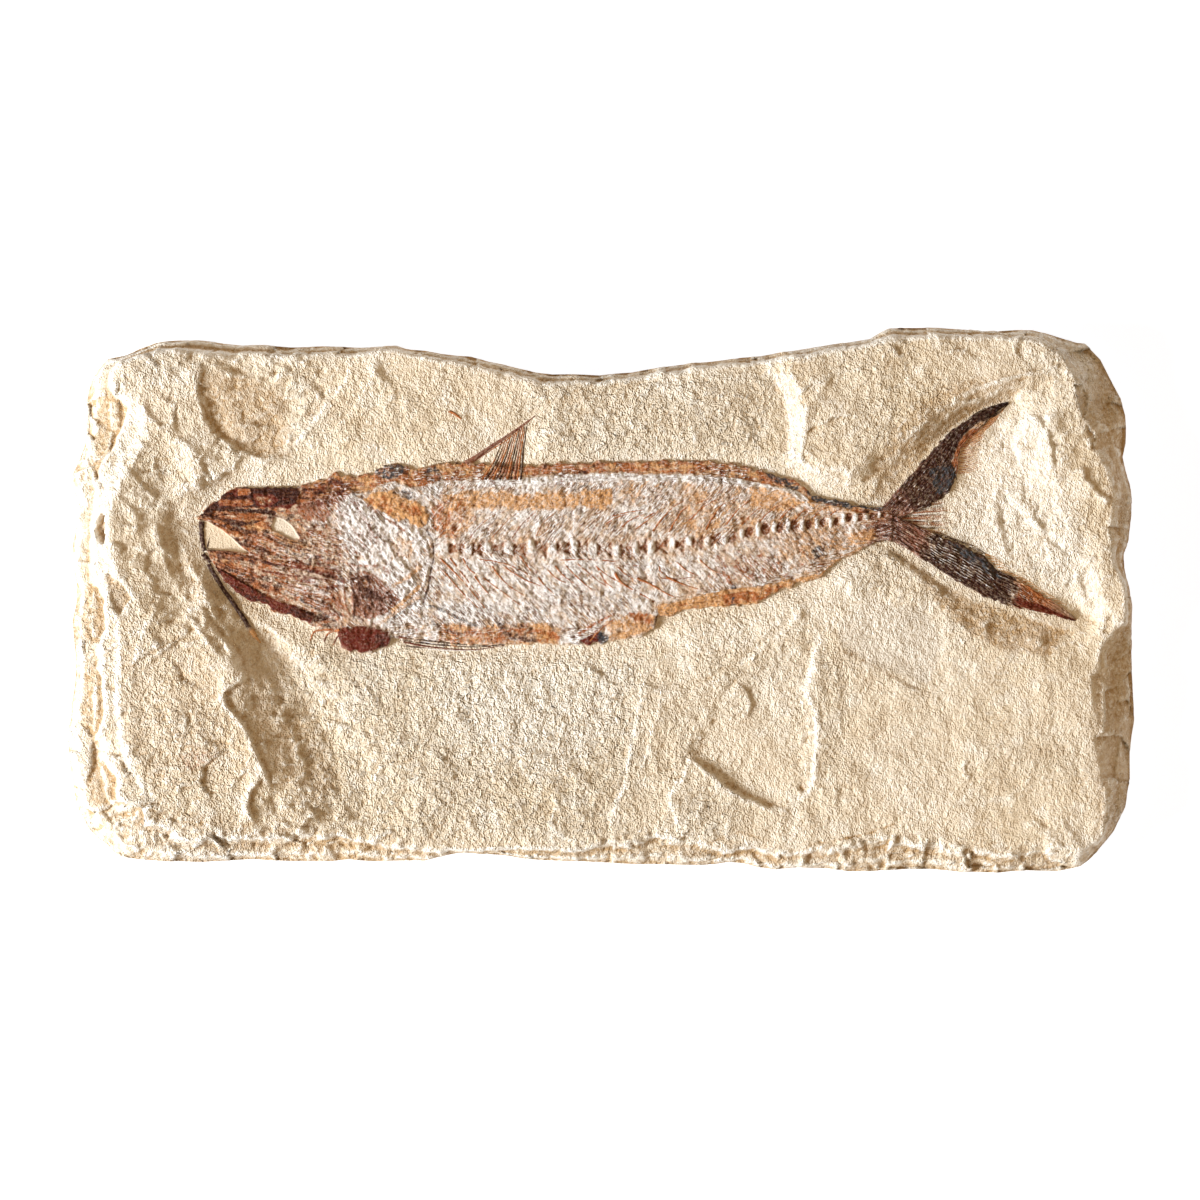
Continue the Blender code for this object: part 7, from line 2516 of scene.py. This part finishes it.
    def _tail_threads(self, grain: Grain) -> list[Thread]:
        """The hair-fine rays between the lobes and along their inner edges."""
        threads = []
        root_coats = (Coat.RUST, Coat.MAUVE, Coat.CHALK, Coat.DARK, Coat.MAUVE)
        for ray in range(39):
            share = ray / 38
            short = float(grain.smooth(np.array([ray * 1.7]), np.array([4.0]), 1.0)[0])
            start = np.array([886.0, 510.0 + 18 * share])
            end = np.array([946 + 9 * short - 30 * (share - 0.5) ** 2, 494 + 50 * share])
            middle = (start + end) / 2 + np.array([0.0, 3.0 * (share - 0.5)])
            threads.append(Thread((tuple(start), tuple(middle), tuple(end)),
                                  1.6, 0.5, root_coats[ray % 5], 0.85))
        for ray in range(44):
            share = ray / 43
            start = along(self.upper_trailing, np.array(0.50 + 0.40 * share))
            reach = 26 - 10 * share + 5 * float(grain.smooth(np.array([ray * 3.1]), np.array([1.0]), 1.0)[0])
            end = start + np.array([reach * 0.86, -reach * (0.2 + 0.5 * share)])
            threads.append(Thread((tuple(start), tuple((start + end) / 2 + np.array([0, 1.5])), tuple(end)),
                                  1.3, 0.4,
                                  Coat.RUST if ray % 2 else Coat.AMBER, 0.8))
        for ray in range(34):
            share = ray / 33
            start = along(self.lower_trailing, np.array(0.22 + 0.66 * share))
            reach = 18 - 8 * share + 5 * float(grain.smooth(np.array([ray * 2.3]), np.array([9.0]), 1.0)[0])
            end = start + np.array([reach * 0.85, reach * 0.34 - 2])
            coat = Coat.DARK if share < 0.45 else Coat.AMBER
            threads.append(Thread((tuple(start), tuple((start + end) / 2 - np.array([0, 1.0])), tuple(end)),
                                  1.3, 0.4, coat, 0.8))
        return threads

    def build(self, ground: Callable[[Array, Array], Array], finish: bpy.types.Material) -> None:
        """Build every piece of the skeleton.

        Args:
            ground: Gives the height of the stone at sheet points.
            finish: The bone's material.
        """
        grain = Grain(23)
        self._body_piece("skull", self.back[0][0], self.gill_x, self.skull_columns, finish)
        self._body_piece("trunk", self.gill_x, self.root_x, self.trunk_columns, finish)
        self._lobe_piece("tail_upper_lobe", self.upper_leading, self.upper_trailing, True, finish)
        self._lobe_piece("tail_lower_lobe", self.lower_leading, self.lower_trailing, False, finish)

        def body(x: Array, y: Array) -> Array:
            """The height of the body, or of the stone beside it."""
            return np.maximum(self.relief(x, y, grain).height, LEVELS.bed)

        def beside(x: Array, y: Array) -> Array:
            """The height of the higher of the body and the stone."""
            return np.maximum(body(x, y), ground(x, y))

        ThreadBundle("ribs_and_spines", [*RIBS, *UPPER_SPINES]).build(body, finish)
        ThreadBundle("dorsal_fin_rays", self._fin_threads()).build(beside, finish)
        ThreadBundle("belly_rays", self._belly_threads()).build(beside, finish)
        ThreadBundle("tail_rays", self._tail_threads(grain)).build(ground, finish)


@dataclass
class ThreadBundle:
    """Many thin bones, drawn as tapered rods half sunk into what they lie on."""

    name: str
    threads: Sequence[Thread]
    points: int = 14
    sunk: float = 0.30
    wobble: float = 0.35

    def build(self, surface: Callable[[Array, Array], Array], finish: bpy.types.Material,
              node: str = "fish") -> None:
        """Build the bundle as one piece.

        Args:
            surface: Gives the height of what the bones lie on.
            finish: The bone's material.
            node: The CAD node that it stands for.
        """
        grain = Grain(5)
        curve = bpy.data.curves.new(self.name, "CURVE")
        curve.dimensions = "3D"
        curve.bevel_depth = 1.0
        curve.bevel_resolution = 1
        curve.use_fill_caps = True
        steps = np.linspace(0, 1, self.points)
        for number, thread in enumerate(self.threads):
            line = smoothed(thread.path, steps)
            x = line[:, 0] + self.wobble * grain.smooth(line[:, 0] + 61 * number, line[:, 1], 7.0)
            y = line[:, 1] + self.wobble * grain.smooth(line[:, 0], line[:, 1] + 87 * number, 7.0)
            radius = 0.5 * (thread.width + (thread.tip - thread.width) * steps) * SHEET.unit
            radius = radius * (1 + 0.22 * grain.smooth(x * 3, y * 3 + 11 * number, 9.0))
            top = surface(x, y)
            plan_x, plan_y = SHEET.metres(x, y)
            spline = curve.splines.new("POLY")
            spline.points.add(self.points - 1)
            place = np.stack([plan_x, plan_y, top - self.sunk * radius, np.ones_like(x)], axis=-1)
            spline.points.foreach_set("co", place.ravel())
            spline.points.foreach_set("radius", radius)
        shape = bpy.data.objects.new(self.name, curve)
        bpy.context.scene.collection.objects.link(shape)
        bpy.context.view_layer.update()
        mesh = bpy.data.meshes.new_from_object(shape.evaluated_get(bpy.context.evaluated_depsgraph_get()))
        bpy.data.objects.remove(shape)
        bpy.data.curves.remove(curve)
        mesh.shade_smooth()
        self._paint(mesh, grain)
        placed_piece(self.name, mesh, finish, [node])

    def _paint(self, mesh: bpy.types.Mesh, grain: Grain) -> None:
        """Give each rod its coat, worn in places."""
        total = len(mesh.vertices)
        each = total // len(self.threads)
        owner = np.minimum(np.arange(total) // each, len(self.threads) - 1)
        flat = np.empty(total * 3)
        mesh.vertices.foreach_get("co", flat)
        x, y = flat[0::3] / SHEET.unit, flat[1::3] / SHEET.unit
        worn = 0.2 * grain.fractal(x, y, 6.0, 2)
        for coat in sorted({thread.coat for thread in self.threads}, key=lambda item: item.value):
            strength = np.array([thread.strength if thread.coat is coat else 0.0 for thread in self.threads])
            values = np.clip(strength[owner] * (1 + worn), 0, 1)
            layer = mesh.attributes.new(coat.value, "FLOAT", "POINT")
            layer.data.foreach_set("value", values)


def smoothed(path: Path, steps: Array) -> Array:
    """Points along a smooth curve through a path's corners."""
    corners = np.array(path, float)
    if len(corners) == 2:
        return corners[0] + (corners[1] - corners[0]) * steps[:, None]
    padded = np.vstack([2 * corners[0] - corners[1], corners, 2 * corners[-1] - corners[-2]])
    at = steps * (len(corners) - 1)
    left = np.minimum(at.astype(int), len(corners) - 2)
    t = (at - left)[:, None]
    a, b, c, d = padded[left], padded[left + 1], padded[left + 2], padded[left + 3]
    return 0.5 * (2 * b + (c - a) * t + (2 * a - 5 * b + 4 * c - d) * t**2 + (3 * b - a - 3 * c + d) * t**3)


@dataclass
class LooseBones:
    """The black bone across the mouth, the long needle under the jaw, and a splinter above the back."""

    snout: Thread = Thread(((201.5, 521), (201, 530), (202, 540), (204, 551)), 6.6, 4.6, Coat.DARK, 1.0)
    snout_splinter: Thread = Thread(((207, 548), (208, 542), (209.5, 536)), 2.6, 1.2, Coat.DARK, 0.85)
    needle_head: Thread = Thread(((202, 554), (206, 558), (210, 562)), 5.0, 4.2, Coat.DARK, 1.0)
    needle: Thread = Thread(
        ((208, 564), (212, 572), (217, 580), (223, 590), (229, 598), (236, 608), (243, 619), (249, 628),
         (255, 637)),
        4.6, 5.4, Coat.DARK, 1.0,
    )
    needle_tip: Thread = Thread(((252, 632), (256, 638), (260, 643)), 4.6, 1.8, Coat.AMBER, 0.95)
    splinter: Thread = Thread(((449, 411), (455, 414), (461, 419)), 2.8, 1.6, Coat.RUST, 1.0)

    def build(self, surface: Callable[[Array, Array], Array], finish: bpy.types.Material) -> None:
        """Build the three bones.

        Args:
            surface: Gives the height of what the bones lie on.
            finish: The bone's material.
        """
        ThreadBundle("snout_bone_rod", [self.snout, self.snout_splinter], sunk=0.1).build(surface, finish,
                                                                                          "snout_bone")
        rods = [self.needle_head, self.needle, self.needle_tip]
        ThreadBundle("needle_bone_rod", rods, sunk=0.1).build(surface, finish, "needle_bone")
        ThreadBundle("stray_bone_rod", [self.splinter], sunk=0.1).build(surface, finish, "stray_bone")


# ------------------------------------------------------------------ floor, light and camera


@dataclass(frozen=True)
class Studio:
    """A pale floor, a raking key light from the head's end, a soft sky and a camera straight above."""

    floor_size: float = 8.0
    floor_colour: Colour = (0.55, 0.55, 0.55)
    floor_glow: Colour = (0.76, 0.81, 0.88)
    key_distance: float = 2.0
    key_elevation: float = math.radians(27.0)
    key_heading: float = math.radians(194.0)
    key_size: float = 0.60
    key_power: float = 67.0
    key_colour: Colour = (0.95, 0.985, 1.0)
    sky: Colour = (1.0, 0.71, 0.42)
    sky_strength: float = 0.47
    lens: float = 110.0
    frame_units: float = 1200.0
    sight_height: float = 0.019

    def _floor(self) -> None:
        """Lay the floor."""
        builder = bmesh.new()
        bmesh.ops.create_grid(builder, x_segments=4, y_segments=4, size=self.floor_size / 2)
        mesh = bpy.data.meshes.new("floor")
        builder.to_mesh(mesh)
        builder.free()
        material, _, shader = new_material("studio floor")
        shader.inputs["Base Color"].default_value = (*self.floor_colour, 1.0)
        shader.inputs["Roughness"].default_value = 0.9
        shader.inputs["Specular IOR Level"].default_value = 0.1
        shader.inputs["Emission Color"].default_value = (*self.floor_glow, 1.0)
        shader.inputs["Emission Strength"].default_value = 1.0
        mesh.materials.append(material)
        floor = bpy.data.objects.new("floor", mesh)
        bpy.context.scene.collection.objects.link(floor)

    def _key(self) -> None:
        """Hang the key light, turned to face the slab."""
        light = bpy.data.lights.new("key", "AREA")
        light.shape = "DISK"
        light.size = self.key_size
        light.energy = self.key_power
        light.color = self.key_colour
        lamp = bpy.data.objects.new("key", light)
        level = math.cos(self.key_elevation)
        across, along_y = level * math.cos(self.key_heading), level * math.sin(self.key_heading)
        away = Vector((across, along_y, math.sin(self.key_elevation)))
        lamp.location = away * self.key_distance
        lamp.rotation_euler = away.to_track_quat("Z", "Y").to_euler()
        bpy.context.scene.collection.objects.link(lamp)

    def _sky(self) -> None:
        """Light everything softly from all round."""
        world = bpy.data.worlds.new("soft sky")
        world.use_nodes = True
        background = world.node_tree.nodes["Background"]
        background.inputs["Color"].default_value = (*self.sky, 1.0)
        background.inputs["Strength"].default_value = self.sky_strength
        bpy.context.scene.world = world

    def _camera(self) -> None:
        """Stand the camera over the slab so that a frame's width is the sheet's."""
        camera = bpy.data.cameras.new("camera")
        camera.lens = self.lens
        width = self.frame_units * SHEET.unit
        eye = bpy.data.objects.new("camera", camera)
        middle = self.frame_units / 2
        x, y = SHEET.metres(middle, middle)
        eye.location = (x, y, self.sight_height + width * self.lens / camera.sensor_width)
        bpy.context.scene.collection.objects.link(eye)
        bpy.context.scene.camera = eye

    def build(self) -> None:
        """Set up the studio."""
        self._floor()
        self._key()
        self._sky()
        self._camera()
        bpy.context.scene.view_settings.view_transform = "Standard"


def main() -> None:
    """Build the studio, the stone and the fish, and report each."""
    logging.basicConfig(level=logging.INFO, format="%(name)s: %(message)s")
    Studio().build()
    groups = EffectGroups()
    fish, slab = Fish(), Slab()
    bone = BoneFinish().build(groups)
    slab.build(fish.bed_outline(), LimestoneFinish().build(groups))
    ground = slab.ground(fish.bed_outline())
    fish.build(ground, bone)
    LooseBones().build(ground, bone)


if __name__ == "__main__":
    main()
